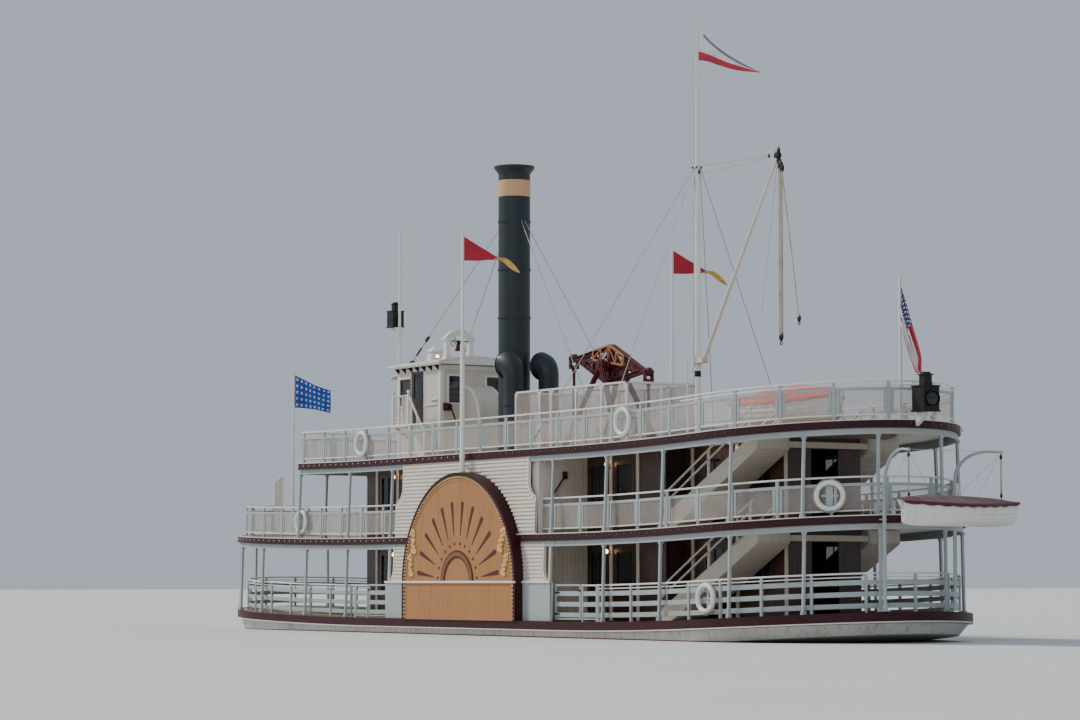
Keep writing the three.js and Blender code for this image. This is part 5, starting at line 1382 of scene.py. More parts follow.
def build_deckhouses():
    trim = Piece("house_frames", WOOD, "varnished_wood")
    pilasters = Piece("house_pilasters", CREAM, "white_boards")
    panes = Piece("house_glass", PANE, "funnel_navy")
    doors = Piece("house_doors", WOOD, "varnished_wood")
    brass = Piece("wall_lamp_arms", BRASS, "bell_brass")
    light = Piece("wall_lamp_globes", LAMP_GLOW, "white_boards")
    cross = Piece("cross_wall_boards", CREAM, "white_boards")
    half = HOUSE_HALF
    for node, base, deck_above in (("main_deckhouse", MAIN_Z, SECOND_Z),
                                   ("second_deckhouse", SECOND_Z, TOP_Z)):
        finish_node(node, WOOD)
        ceiling = deck_above - DECK_THICK
        for sign in (1, -1):
            for i, x in enumerate(WINDOWS_X):
                z = base + sheer(x)
                if abs(x - SHAFT_X) < 2.3:
                    continue
                if i in DOOR["places"]:
                    light_high = DOOR["high"] - DOOR["panel"]
                    window_frame(trim, panes, sign, x, half, z + DOOR["panel"], DOOR["wide"], light_high,
                                 bars=0)
                    doors.add(sided_box(sign, x - 0.42, x + 0.42, half - 0.045, half - 0.01, z + 0.07,
                                        z + 1.0))
                else:
                    window_frame(trim, panes, sign, x, half, z + WINDOW["sill"], WINDOW["wide"],
                                 WINDOW["high"])
            for i in range(12):
                x = 7.6 - WINDOW_STEP * i
                z = base + sheer(x)
                if abs(x - SHAFT_X) < 3.0:
                    continue
                pilasters.add(sided_box(sign, x - 0.07, x + 0.07, half, half + 0.035, z + 0.02,
                                        ceiling + sheer(x)))
                if i % 3 == 1:
                    wall_lamp(brass, light, x, half + 0.035, z + 1.95, sign)
            near = STAIR_HOUSE_HALF
            for x in (-10.6, -12.9):
                sill = base + sheer(x) + WINDOW["sill"]
                window_frame(trim, panes, sign, x, near, sill, WINDOW["wide"], WINDOW["high"])
            for x in (-9.6, -11.75, -14.0):
                rise = sheer(x)
                pilasters.add(sided_box(sign, x - 0.07, x + 0.07, near, near + 0.035, base + rise + 0.03,
                                        ceiling + rise))
            for x, face in ((SHAFT_X - 3.9, -1), (SHAFT_X + 3.7, 1)):
                x0, x1 = sorted((x + face * 0.03, x + face * 0.05))
                for k in range(12):
                    y = half + 0.02 + k * 0.14
                    cross.add(sided_box(sign, x0, x1, y, y + 0.134, base + 0.02, ceiling - 0.02))
    cross.add(*both(-5.13, -4.58, 3.385, 3.415, SECOND_Z + 0.02, TOP_Z - DECK_THICK - 0.02))
    for piece, bevel in ((trim, 0.004), (pilasters, 0.004), (panes, 0), (doors, 0.004), (brass, 0),
                         (light, 0), (cross, 0.003)):
        piece.build(bevel=bevel)


# Top deck
FUNNEL = {"x": 2.07, "r": 0.5, "top": 15.85, "crown": 0.64, "bore": 0.43}
HOOPS = (14.07, 12.55, 11.03)
FUNNEL_STAYS = ((7.0, 0.9, 9.94), (-4.2, 0.725, 6.85))


def turnbuckle(foot, head, places, radii):
    """A rigging screw on a wire, at places along it from the foot."""
    along = (head - foot).normalized()
    return tube([foot + along * place for place in places], radii, 8)


def build_funnel():
    f = FUNNEL
    low, r, top, bore = TOP_Z + 0.002, f["r"], f["top"], f["bore"]
    centre = (f["x"], 0, 0)
    pipe = Piece("funnel_pipe", NAVY, "funnel_navy")
    profile = [
        (0, low), (r + 0.06, low), (r + 0.06, low + 0.1), (r + 0.03, low + 0.16), (r, low + 0.17),
        (r, top - 0.25), (f["crown"], top - 0.06), (f["crown"], top), (f["crown"] - 0.05, top),
        (bore, top - 0.25), (bore, top - 1.4), (0, top - 1.4),
    ]
    pipe.add(lathe(profile, centre, 64))
    for z in HOOPS:
        hoop = [(r - 0.01, z), (r + 0.022, z), (r + 0.022, z + 0.07), (r - 0.01, z + 0.07)]
        pipe.add(lathe(hoop, centre, 64))
    pipe.build("funnel", sharp=25)
    crown = [(r - 0.01, top - 0.98), (r + 0.012, top - 0.97), (r + 0.012, top - 0.46), (r - 0.01, top - 0.45)]
    Piece("funnel_crown_band", BAND_TAN, "tan_paint").add(lathe(crown, centre, 64)).build()
    stays = Piece("funnel_stays", WIRE, "machine_iron")
    eyes = Piece("stay_screws", BLACK, "machine_iron")
    for stay_x, stay_y, stay_z in FUNNEL_STAYS:
        for sign in (1, -1):
            foot = Vector((stay_x, sign * stay_y, stay_z))
            out = Vector((stay_x - f["x"], sign * stay_y, 0)).normalized()
            head = Vector((f["x"], 0, 14.09)) + out * (r + 0.03)
            stays.add(tube([foot, head], 0.013, 8))
            eyes.add(turnbuckle(foot, head, (0.25, 0.33, 0.6, 0.68), [0.016, 0.032, 0.032, 0.016]))
            eyes.add(block(foot.x, foot.y, 0.06, 0.06, foot.z - 0.03, foot.z + 0.03))
            if stay_x > f["x"]:
                join = foot.lerp(head, 0.17)
                stays.add(tube([foot, join], 0.022, 8))
                eyes.add(turnbuckle(join, head, (-0.13, -0.08, 0.08, 0.13), [0.02, 0.05, 0.05, 0.02]))
    stays.build()
    eyes.build()


COWL = {"x": 1.05, "y": 0.64, "r": 0.32, "neck": 8.9}


def build_cowls():
    """A pair of cowl ventilators that face the bow."""
    piece = Piece("cowl_ventilator_pair", NAVY, "funnel_navy")
    rims = Piece("cowl_rims", NAVY, "funnel_navy")
    linings = Piece("cowl_linings", MAROON, "maroon_paint")
    x, neck, low = COWL["x"], COWL["neck"], TOP_Z + 0.002
    piece.add(block(x, 0, 0.3, 1.0, low, low + 0.15))
    for y in (COWL["y"], -COWL["y"]):
        foot = [(0.34, low + 0.15), (0.34, low + 0.24), (0.32, low + 0.27), (0.32, neck)]
        hoop = [(0.322, 8.2), (0.335, 8.2), (0.335, 8.27), (0.322, 8.27)]
        piece.add(lathe(foot, (x, y, 0), 40), lathe(hoop, (x, y, 0), 40))
        turns = [math.pi / 2 * i / 12 for i in range(13)]
        path = [(x, y, neck)] + [(x + 0.38 * (1 - math.cos(t)), y, 9.1 + 0.42 * math.sin(t)) for t in turns]
        radii = [COWL["r"]] + [COWL["r"] + 0.11 * (i / 12) ** 1.3 for i in range(13)]
        points, faces = tube(path, radii, 40)
        piece.add((points, faces[:-1]))
        mouth = Matrix.Translation(Vector(path[-1]) + Vector((0.012, 0, 0)))
        rims.add(moved(ring((0, 0, 0), radii[-1], 0.022, "x", 44, 8), mouth))
        points, faces = tube(path[3:], [r - 0.02 for r in radii[3:]], 40)
        linings.add((points, faces[:-1]))
    piece.build("cowl_ventilators")
    rims.build()
    linings.build()


SCREEN = {"fore": 0.0, "aft": -6.25, "half": 1.23, "high": 1.98}
SCREEN_POSTS = (0, 0.226, 0.332, 0.556, 0.784, 1)


def standing_mesh(piece, corners, axis):
    """A flat panel of woven wire, its pattern measured along an axis and up."""
    piece.add_with_uv(corners, [(0, 1, 2, 3)], [(p[axis], p[2]) for p in corners])


def screen_bracket(x, way, top):
    """Outline of a curved knee between a post and the top rail."""
    bend = []
    for i in range(7):
        turn = math.pi / 2 * i / 6
        bend.append((x + way * (0.03 + 0.2 * (1 - math.cos(turn))), top - 0.05 - 0.28 * (1 - math.sin(turn))))
    return [(x, top - 0.33), *bend, (x, top - 0.05)]


def build_screen():
    aft, fore, half, high = (SCREEN[key] for key in ("aft", "fore", "half", "high"))
    posts = Piece("screen_frame", WHITE, "white_boards")
    wires = Piece("screen_mesh", MESH, "grey_paint")
    top, low = TOP_Z + high, TOP_Z + 0.004
    z0, z1 = low + 0.15, top - 0.04
    y = half - 0.035
    posts.add(*both(aft, fore, y - 0.035, y + 0.035, top - 0.06, top))
    posts.add(*both(aft, fore, y - 0.025, y + 0.025, low + 0.12, low + 0.17))
    for x in [fore - 0.035 + (aft - fore + 0.07) * share for share in SCREEN_POSTS]:
        posts.add(*both(x - 0.035, x + 0.035, y - 0.035, y + 0.035, low, top - 0.02))
        posts.add(*both(x - 0.06, x + 0.06, y - 0.05, y + 0.05, low, low + 0.05))
        for way in (-1, 1):
            if aft < x + way * 0.3 < fore:
                bracket = screen_bracket(x, way, top)
                posts.add(*[plate(bracket, sign, y - 0.02, y + 0.02) for sign in (1, -1)])
    for side in (half, -half):
        at = side - math.copysign(0.035, side)
        standing_mesh(wires, [(aft, at, z0), (fore, at, z0), (fore, at, z1), (aft, at, z1)], 0)
    for x in (aft + 0.035, fore - 0.035):
        posts.add(block(x, 0, 0.035, half, top - 0.06, top), block(x, 0, 0.025, half, low + 0.12, low + 0.17))
        posts.add(block(x, 0, 0.03, 0.035, low, top))
        standing_mesh(wires, [(x, -half, z0), (x, half, z0), (x, half, z1), (x, -half, z1)], 1)
    posts.build("engine_screen", bevel=0.004)
    wires.build()
    coaming = Piece("engine_hatch_coaming", WHITE, "white_boards")
    coaming.add(*both(-6.0, -0.9, 1.05, 1.1, low, TOP_Z + 0.1))
    for x in (-6.0, -0.95):
        coaming.add(*both(x, x + 0.05, 0.79, 1.05, low, TOP_Z + 0.1))
        coaming.add(box((x, -0.61, low), (x + 0.05, 0.61, TOP_Z + 0.1)))
    coaming.build(bevel=0.006)


# Walking beam, its rods and its frame
BEAM = {"at": (-3.5, 0.0, 9.25), "reach": 2.07, "rise": 0.62, "tilt": 9.0}
BEAM_PUT = Matrix.Translation(BEAM["at"]) @ Matrix.Rotation(math.radians(-BEAM["tilt"]), 4, "Y")


def flat_bar(a, b, wide, thick, y=0.0):
    """A bar in the beam's own upright plane, from pairs of x and z."""
    return moved(stick((a[0], y, a[1]), (b[0], y, b[1]), wide, thick), BEAM_PUT)


# Bars of half of the beam, by pairs (x, z): (start, end, width, thickness, place across)
BEAM_STRUTS = [((0.9, -0.33), (0.9, 0.33), 0.07, 0.13, 0), ((1.4, -0.19), (1.4, 0.19), 0.05, 0.11, 0)]
BEAM_BRACES = [((0.9, 0.27), (1.4, 0), 0.04, 0.06, 0.02), ((0.9, 0), (1.4, 0.17), 0.04, 0.06, 0.02),
               ((0.9, 0.28), (0, -0.5), 0.05, 0.05, 0.03)]
LATTICE_OUTLINE = [(0.84, 0.07), (0.84, 0.345), (0, 0.585), (-0.84, 0.345), (-0.84, 0.07)]
LATTICE_BARS = [
    ((0, 0.07), (0, 0.57)), ((0.42, 0.07), (0.42, 0.45)), ((-0.42, 0.07), (-0.42, 0.45)),
    ((0.84, 0.08), (0.42, 0.44)), ((0.42, 0.08), (0, 0.55)), ((-0.84, 0.08), (-0.42, 0.44)),
    ((-0.42, 0.08), (0, 0.55)),
]
BEAM_EYE = [(0, -0.09), (0.1, -0.09), (0.13, -0.07), (0.13, 0.07), (0.1, 0.09), (0, 0.09)]
BEAM_PIN = [(0, -0.17), (0.055, -0.17), (0.055, -0.155), (0.04, -0.153), (0.04, 0.153), (0.055, 0.155),
            (0.055, 0.17), (0, 0.17)]
BEAM_HUB = [(0, -0.44), (0.07, -0.44), (0.07, -0.24), (0.13, -0.23), (0.19, -0.19), (0.19, 0.19),
            (0.13, 0.23),
            (0.07, 0.24), (0.07, 0.44), (0, 0.44)]
BEAM_PLATE = [(0.86, -0.05), (0.86, -0.33), (0, -0.57), (-0.86, -0.33), (-0.86, -0.05)]


def build_walking_beam():
    reach, rise = BEAM["reach"], BEAM["rise"]
    iron = Piece("walking_beam_frame", RED_IRON, "maroon_paint", "beam_body")
    corners = [(reach, 0), (0, rise), (-reach, 0), (0, -rise)]
    for (x0, z0), (x1, z1) in zip(corners, [*corners[1:], corners[0]]):
        for share, deep, thick in ((0.89, 0.13, 0.06), (0.978, 0.024, 0.18), (0.80, 0.022, 0.16)):
            iron.add(flat_bar((x0 * share, z0 * share), (x1 * share, z1 * share), deep, thick))
        for t in [k / 16 for k in range(1, 16)]:
            at_x, at_z = (x0 + (x1 - x0) * t) * 0.89, (z0 + (z1 - z0) * t) * 0.89
            iron.add(*[moved(ball((at_x, y, at_z), 0.017, 3, 6), BEAM_PUT) for y in (-0.032, 0.032)])
    iron.add(flat_bar((0, -0.56), (0, 0.56), 0.09, 0.14),
             flat_bar((-reach + 0.06, 0), (reach - 0.06, 0), 0.09, 0.12))
    for side in (1, -1):
        for way in (0, 1, -1):
            for (ax, az), (bx, bz), wide, thick, y in BEAM_BRACES if way else BEAM_STRUTS:
                up = way or 1
                iron.add(flat_bar((side * ax, up * az), (side * bx, up * bz), wide, thick, y * up))
        for profile, sides in ((BEAM_EYE, 28), (BEAM_PIN, 20)):
            iron.add(moved(lathe(profile, (side * reach, 0, 0), sides, "y"), BEAM_PUT))
    iron.add(moved(lathe(BEAM_HUB, (0, 0, 0), 36, "y"), BEAM_PUT))
    iron.add(moved(prism(BEAM_PLATE, "y", -0.022, 0.022), BEAM_PUT))
    iron.build("walking_beam", bevel=0.004)
    gable = Piece("walking_beam_lattice", TAN, "tan_paint", "beam_body")
    edge = list(zip(LATTICE_OUTLINE, [*LATTICE_OUTLINE[1:], LATTICE_OUTLINE[0]]))
    for y in (0.115, -0.115):
        gable.add(*[flat_bar(a, b, 0.06, 0.03, y) for a, b in edge])
        gable.add(*[flat_bar(a, b, 0.04, 0.022, y) for a, b in LATTICE_BARS])
    gable.build(bevel=0.003)


def build_rods():
    for name, side, long in (("connecting_rod", 1, 3.6), ("piston_rod", -1, 3.1)):
        pin = BEAM_PUT @ Vector((side * BEAM["reach"], 0, 0))
        rod = Piece(name + "_forging", RED_IRON, "maroon_paint", name + "_body")
        cheek = [*arc(pin.x, pin.z, 0.07, 0, 180, 10), (pin.x - 0.07, pin.z - 0.26),
                 (pin.x + 0.07, pin.z - 0.26)]
        rod.add(*[plate(cheek, sign, 0.1, 0.148) for sign in (1, -1)])
        rod.add(block(pin.x, pin.y, 0.07, 0.148, pin.z - 0.33, pin.z - 0.22))
        shaft = [
            (0, -0.32), (0.07, -0.32), (0.07, -0.38), (0.045, -0.43), (0.043, -0.7), (0.055, -long / 2),
            (0.043, -long + 0.2), (0.053, -long + 0.15), (0.053, -long), (0, -long),
        ]
        rod.add(lathe(shaft, pin, 20)).build(name, bevel=0.004)


FRAME_SPREAD = 1.5


def bolt_head(centre, r, high):
    return lathe([(0, 0), (r, 0), (r, high), (0, high + 0.004)], centre, 6)


def build_beam_frame():
    x, _, z = BEAM["at"]
    legs = Piece("beam_frame_legs", RED_IRON, "maroon_paint")
    bolts = Piece("beam_frame_bolts", BLACK, "machine_iron")
    low = TOP_Z + 0.004
    for sign in (1, -1):
        head = Vector((x, sign * 0.33, z + 0.02))
        for foot_x in (x - FRAME_SPREAD, x + FRAME_SPREAD):
            foot = Vector((foot_x, sign * 0.7, low + 0.2))
            legs.add(stick(foot, head, 0.15, 0.04))
            for off in (-0.06, 0.06):
                legs.add(stick(foot + Vector((off, 0, 0)), head + Vector((off * 0.6, 0, 0)), 0.03, 0.14))
            legs.add(block(foot.x, foot.y, 0.16, 0.085, foot.z - 0.02, foot.z + 0.02))
            for dx in (-0.12, 0.12):
                bolts.add(*[bolt_head(foot + Vector((dx, dy, 0.02)), 0.018, 0.022) for dy in (-0.05, 0.05)])
            for share in (0.35, 0.68):
                across = foot.lerp(head, share)
                legs.add(stick(across, (2 * x - across.x, across.y, across.z), 0.035, 0.05))
        bearing = [*arc(x, z, 0.16, 0, 180, 14), (x - 0.16, z - 0.16), (x + 0.16, z - 0.16)]
        legs.add(plate(bearing, sign, 0.262, 0.41),
                 sided_box(sign, x - 0.23, x + 0.23, 0.27, 0.4, z - 0.22, z - 0.13))
        stud = [(0, 0), (0.026, 0), (0.026, 0.03), (0.014, 0.032), (0.014, 0.06), (0, 0.06)]
        bolts.add(*[lathe(stud, (x + dx, sign * 0.335, z - 0.13), 6) for dx in (-0.19, 0.19)])
        legs.add(sided_box(sign, -6.12, -0.75, 0.625, 0.775, low, TOP_Z + 0.2))
    for foot_x in (x - FRAME_SPREAD, x + FRAME_SPREAD):
        legs.add(block(foot_x, 0, 0.06, 0.7, TOP_Z + 0.05, TOP_Z + 0.19))
    legs.build("beam_frame", bevel=0.005)
    bolts.build()


# Pilot house. The lever's two ends are places (y, z) on its aft wall.
LEVER_PIVOT = (0.93, 8.38)
LEVER_TIP = (0.64, 7.63)
PILOT = {"aft": 4.57, "fore": 7.35, "half": 1.23, "eaves": 9.7, "floor": 7.85}
DOORWAY = (5.64, 6.46, 7.86, 9.64)
SIDE_WINDOW = (6.52, 7.23, 8.5, 9.35)
PILOT_HOLES = {
    "port": [DOORWAY, SIDE_WINDOW],
    "starboard": [SIDE_WINDOW, (5.65, 6.4, 8.5, 9.35)],
    "aft": [(-0.925, -0.475, 8.5, 9.35), (0.475, 0.925, 8.5, 9.35)],
    "fore": [(y - 0.33, y + 0.33, 8.45, 9.45) for y in (-0.8, 0, 0.8)],
}


def wall_block(axis, u0, u1, t0, t1, z0, z1):
    """A box on a wall: u runs along the wall, and t across the given axis."""
    near, far = sorted((t0, t1))
    if axis == "y":
        return box((u0, near, z0), (u1, far, z1))
    return box((near, u0, z0), (far, u1, z1))


def pierced_wall(piece, axis, t0, t1, ends, heights, holes):
    """A wall with rectangular holes, in blocks between the edges of the holes."""
    places = sorted({*ends, *[h[0] for h in holes], *[h[1] for h in holes]})
    for u0, u1 in zip(places, places[1:]):
        z = heights[0]
        for low, high in sorted((h[2], h[3]) for h in holes if h[0] < (u0 + u1) / 2 < h[1]):
            piece.add(wall_block(axis, u0, u1, t0, t1, z, low))
            z = high
        piece.add(wall_block(axis, u0, u1, t0, t1, z, heights[1]))


def window_trim(axis, face, out, hole, casing, sash, panes):
    """Casing, sash and glass of a window in a wall that looks out along an axis."""
    u0, u1, z0, z1 = hole
    edge, rim, middle = 0.06, 0.055, (hole[2] + hole[3]) / 2

    def parts(piece, near, far, *rows):
        for a0, a1, h0, h1 in rows:
            piece.add(wall_block(axis, a0, a1, face + out * near, face + out * far, h0, h1))

    parts(casing, -0.005, 0.022, (u0 - edge, u0, z0 - edge, z1 + edge), (u1, u1 + edge, z0 - edge, z1 + edge),
          (u0, u1, z1, z1 + edge))
    parts(casing, -0.005, 0.05, (u0 - edge - 0.02, u1 + edge + 0.02, z0 - edge, z0 - 0.005))
    parts(sash, -0.05, -0.008, (u0, u0 + rim, z0, z1), (u1 - rim, u1, z0, z1),
          (u0 + rim, u1 - rim, z1 - rim, z1),
          (u0 + rim, u1 - rim, z0, z0 + rim), (u0 + rim, u1 - rim, middle - 0.02, middle + 0.02))
    parts(panes, -0.034, -0.03, (u0 + rim, u1 - rim, z0 + rim, z1 - rim))


PICKET = [(0, 0), (0.033, 0), (0.033, 0.1), (0.02, 0.13), (0.036, 0.3), (0.024, 0.52), (0.033, 0.6),
          (0.02, 0.68),
          (0.03, 0.8), (0, 0.8)]
NEWEL_NECK = [(0, 0), (0.045, 0), (0.028, 0.02), (0.055, 0.05), (0.065, 0.085), (0.05, 0.13), (0, 0.15)]


def picket(x, y, low, high):
    scale = (high - low) / 0.8
    return lathe([(r, h * scale) for r, h in PICKET], (x, y, low), 10)


def newel(x, y, low, high):
    """A square post with a ball on its head."""
    return [block(x, y, 0.045, 0.045, low, high), lathe(NEWEL_NECK, (x, y, high), 12)]


LANDING = {"aft": 5.6, "fore": 6.65, "foot": 4.5, "steps": 6, "wide": 0.62, "rail": 0.92}


def build_landing():
    """Landing and steps outside the pilot house's door, with turned pickets."""
    piece = Piece("pilot_landing", WHITE, "white_boards")
    half, floor = PILOT["half"], PILOT["floor"]
    aft, fore, foot, steps = (LANDING[key] for key in ("aft", "fore", "foot", "steps"))
    edge = half + LANDING["wide"]
    low = TOP_Z + sheer(foot) + 0.006
    rise, run = (floor - 0.03 - low) / steps, (aft - foot) / steps
    piece.add(box((aft, half, floor - 0.11), (fore, edge, floor - 0.03)))
    piece.add(box((aft - 0.02, half, floor - 0.035), (fore + 0.02, edge + 0.02, floor - 0.012)))
    for i in range(steps):
        x0, z1 = foot + run * i, low + rise * (i + 1)
        piece.add(box((x0 - 0.03, half + 0.06, z1 - 0.035), (x0 + run + 0.01, edge, z1)))
        piece.add(box((x0, half + 0.08, z1 - rise + 0.002), (x0 + 0.02, edge - 0.02, z1 - 0.03)))
    stringer = [(foot - 0.02, low), (foot - 0.02, low + rise * 0.9), (aft, floor - 0.04), (aft, floor - 0.28),
                (foot + 0.28, low)]
    piece.add(*[prism(stringer, "y", y - 0.02, y + 0.02) for y in (half + 0.07, edge - 0.03)])
    rail_y, rail_z = edge - 0.04, floor + LANDING["rail"]
    piece.add(box((aft, rail_y - 0.03, rail_z - 0.03), (fore, rail_y + 0.03, rail_z)))
    piece.add(box((fore - 0.06, half, rail_z - 0.03), (fore, rail_y, rail_z)))
    piece.add(box((aft, rail_y - 0.02, floor + 0.05), (fore, rail_y + 0.02, floor + 0.08)))
    for i in range(1, 5):
        piece.add(picket(aft + (fore - aft) * i / 5, rail_y, floor + 0.07, rail_z - 0.02))
    for i in range(1, 3):
        piece.add(picket(fore - 0.03, half + 0.19 * i, floor - 0.01, rail_z - 0.02))
    foot_top = low + 0.9
    piece.add(stick((aft + 0.02, rail_y, rail_z - 0.02), (foot + 0.08, rail_y, foot_top), 0.05, 0.06))
    for i in (1, 2, 4):
        x = foot + 0.1 + run * (i + 0.5)
        share = (x - foot - 0.08) / (aft - foot - 0.06)
        piece.add(picket(x, rail_y, low + rise * (i + 1), foot_top + (rail_z - foot_top) * share - 0.02))
    for x, z0, z1 in ((fore - 0.03, floor - 0.1, rail_z + 0.01), (aft + 0.03, floor - 0.1, rail_z + 0.01),
                      (foot + 0.06, low, foot_top + 0.05)):
        piece.add(*newel(x, rail_y, z0, z1))
    for x in (aft + 0.15, fore - 0.15):
        piece.add(stick((x, half, floor - 0.5), (x, edge - 0.06, floor - 0.1), 0.06, 0.06))
    piece.build(bevel=0.003, sharp=40)


HOOD_R = 1.15
HOOD_Z = 7.9
HOOD_HALF = 0.45


def hood_line(aft, low, out=0.0):
    """The hood's outline, moved out from its curve."""
    line = [(aft - HOOD_R, low), *arc(aft, HOOD_Z, HOOD_R, 180, 90, 28)]
    return [(x - out * (aft - x) / HOOD_R, z + out * max(0.0, z - HOOD_Z) / HOOD_R) for x, z in line]


def build_hood(casing, aft, low):
    """A quarter-round hood over the way below, abaft the pilot house, with mouldings along its edges."""
    hood = Piece("pilot_hood", IVORY, "white_boards")
    side = [(aft + 0.01, low), *hood_line(aft, low), (aft + 0.01, HOOD_Z + HOOD_R)]
    hood.add(prism(side, "y", -HOOD_HALF, HOOD_HALF)).build(sharp=50)
    for sign in (1, -1):
        rows = []
        for out, dy in ((0.02, -0.035), (0.02, 0.03), (-0.05, 0.03), (-0.05, -0.035)):
            rows.append([(x, sign * (HOOD_HALF + dy), z) for x, z in hood_line(aft, low, out)])
        casing.add(sweep(rows))


def build_pilot_walls():
    aft, fore, half, eaves, floor = (PILOT[key] for key in ("aft", "fore", "half", "eaves", "floor"))
    low = TOP_Z + 0.003
    walls = Piece("pilot_walls", IVORY, "white_boards")
    casing = Piece("pilot_window_casings", WHITE, "white_boards")
    sash = Piece("pilot_sashes", WOOD, "varnished_wood")
    panes = Piece("pilot_glass", PANE, "funnel_navy")
    faces = {"port": ("y", half, 1), "starboard": ("y", -half, -1), "aft": ("x", aft, -1),
             "fore": ("x", fore, 1)}
    for side, (axis, face, out) in faces.items():
        start, end = (aft, fore) if axis == "y" else (-half, half)
        pierced_wall(walls, axis, face, face - out * 0.06, (start, end), (low, eaves), PILOT_HOLES[side])
        for hole in PILOT_HOLES[side]:
            if hole is not DOORWAY:
                window_trim(axis, face, out, hole, casing, sash, panes)
        for u0, u1, proud, z0, z1 in (
            (start - 0.02, end + 0.02, 0.03, low, low + 0.16),
            (start - 0.02, end + 0.02, 0.03, eaves - 0.14, eaves),
            (start - 0.018, start + 0.13, 0.02, low, eaves), (end - 0.13, end + 0.018, 0.02, low, eaves),
        ):
            casing.add(wall_block(axis, u0, u1, face - out * 0.01, face + out * proud, z0, z1))
    door_aft, door_fore, _, door_top = DOORWAY
    for x0, x1, y0, y1, z0, z1 in (
        (door_aft - 0.07, door_aft - 0.005, half - 0.01, half + 0.022, floor - 0.02, door_top + 0.06),
        (door_fore + 0.005, door_fore + 0.05, half - 0.01, half + 0.022, floor - 0.02, door_top + 0.06),
        (door_aft - 0.07, door_fore + 0.05, half - 0.01, half + 0.022, door_top + 0.004, door_top + 0.06),
        (aft + 0.16, door_aft - 0.1, half, half + 0.035, 8.42, 8.46),
        (door_fore + 0.08, fore - 0.16, half, half + 0.035, 8.42, 8.46),
        (aft + 0.16, aft + 0.6, half, half + 0.06, 8.58, 8.63),
        (aft - 0.03, aft, 0.5, 1.08, 8.38, 8.42), (aft - 0.03, aft, -1.08, -0.5, 8.38, 8.42),
    ):
        casing.add(box((x0, y0, z0), (x1, y1, z1)))
    walls.add(box((aft + 0.01, -half + 0.02, floor - 0.09), (fore - 0.01, half - 0.02, floor)))
    walls.add(box((6.9, -0.09, floor), (7.01, 0.09, floor + 0.98)))
    walls.build("pilot_house")
    brackets = Piece("pilot_brackets", MAROON, "maroon_paint")
    knee = [(half + 0.03, eaves - 0.16), (half + 0.17, eaves - 0.03), (half + 0.17, eaves + 0.012),
            (half + 0.03, eaves + 0.012)]
    for sign in (1, -1):
        for i in range(7):
            x = aft + 0.1 + (fore - aft - 0.2) * i / 6
            brackets.add(prism([(sign * y, z) for y, z in knee], "x", x - 0.03, x + 0.03))
    brackets.build(bevel=0.004)
    build_hood(casing, aft, low)
    visor = Piece("pilot_visor", WHITE, "white_boards")
    visor.add(prism([(fore, 9.62), (fore, 9.65), (fore + 0.62, 9.43), (fore + 0.62, 9.4)], "y", -1.22, 1.22))
    for y in (-1.2, -0.4, 0.4, 1.2):
        visor.add(prism([(fore, 9.5), (fore, 9.62), (fore + 0.4, 9.48)], "y", y - 0.015, y + 0.015))
    for piece, bevel in ((visor, 0.003), (casing, 0.004), (sash, 0.003), (panes, 0)):
        piece.build(bevel=bevel)
    build_pilot_lever()


def build_pilot_lever():
    aft, (y, z), tip = PILOT["aft"], LEVER_PIVOT, LEVER_TIP
    lever = Piece("pilot_lever", RED_IRON, "maroon_paint")
    lever.add(tube([(aft - 0.02, y, z), (aft - 0.14, y, z)], 0.055, 12))
    lever.add(stick((aft - 0.11, y, z), (aft - 0.16, *tip), 0.05, 0.035),
              ball((aft - 0.16, *tip), 0.045, 5, 8))
    lever.add(box((aft - 0.05, y - 0.05, z - 0.14), (aft, y + 0.22, z + 0.1)))
    lever.add(ball((aft - 0.09, y + 0.14, z - 0.04), 0.07, 5, 10)).build(bevel=0.004)


ROOF = {"half": 1.43, "crown": 0.2, "thick": 0.07, "aft": 4.33, "fore": 7.75}
ROOF_Z = PILOT["eaves"] + sheer(PILOT["fore"]) + 0.006
ROOF_TOP = ROOF_Z + ROOF["crown"] + ROOF["thick"] - 0.02
ARCH_SPRING = 10.65

# The bell arch's legs, from foot to cap: (half length, half width, bottom, top)
ARCH_LEG = [
    (0.08, 0.085, ROOF_TOP - 0.1, ARCH_SPRING), (0.12, 0.13, ROOF_TOP - 0.1, ROOF_TOP + 0.06),
    (0.105, 0.11, ROOF_TOP + 0.06, ROOF_TOP + 0.09), (0.12, 0.15, ARCH_SPRING - 0.06, ARCH_SPRING),
    (0.1, 0.12, ARCH_SPRING - 0.1, ARCH_SPRING - 0.06),
]
BELL_AT = (5.55, 10.56)


def camber(up, inset=0.0):
    """A curve across the pilot house's roof, up above its edges."""
    half = ROOF["half"] - inset
    places = [half - 2 * half * i / 28 for i in range(29)]
    return [(y, ROOF_Z + up + ROOF["crown"] * (1 - (y / ROOF["half"]) ** 2)) for y in places]


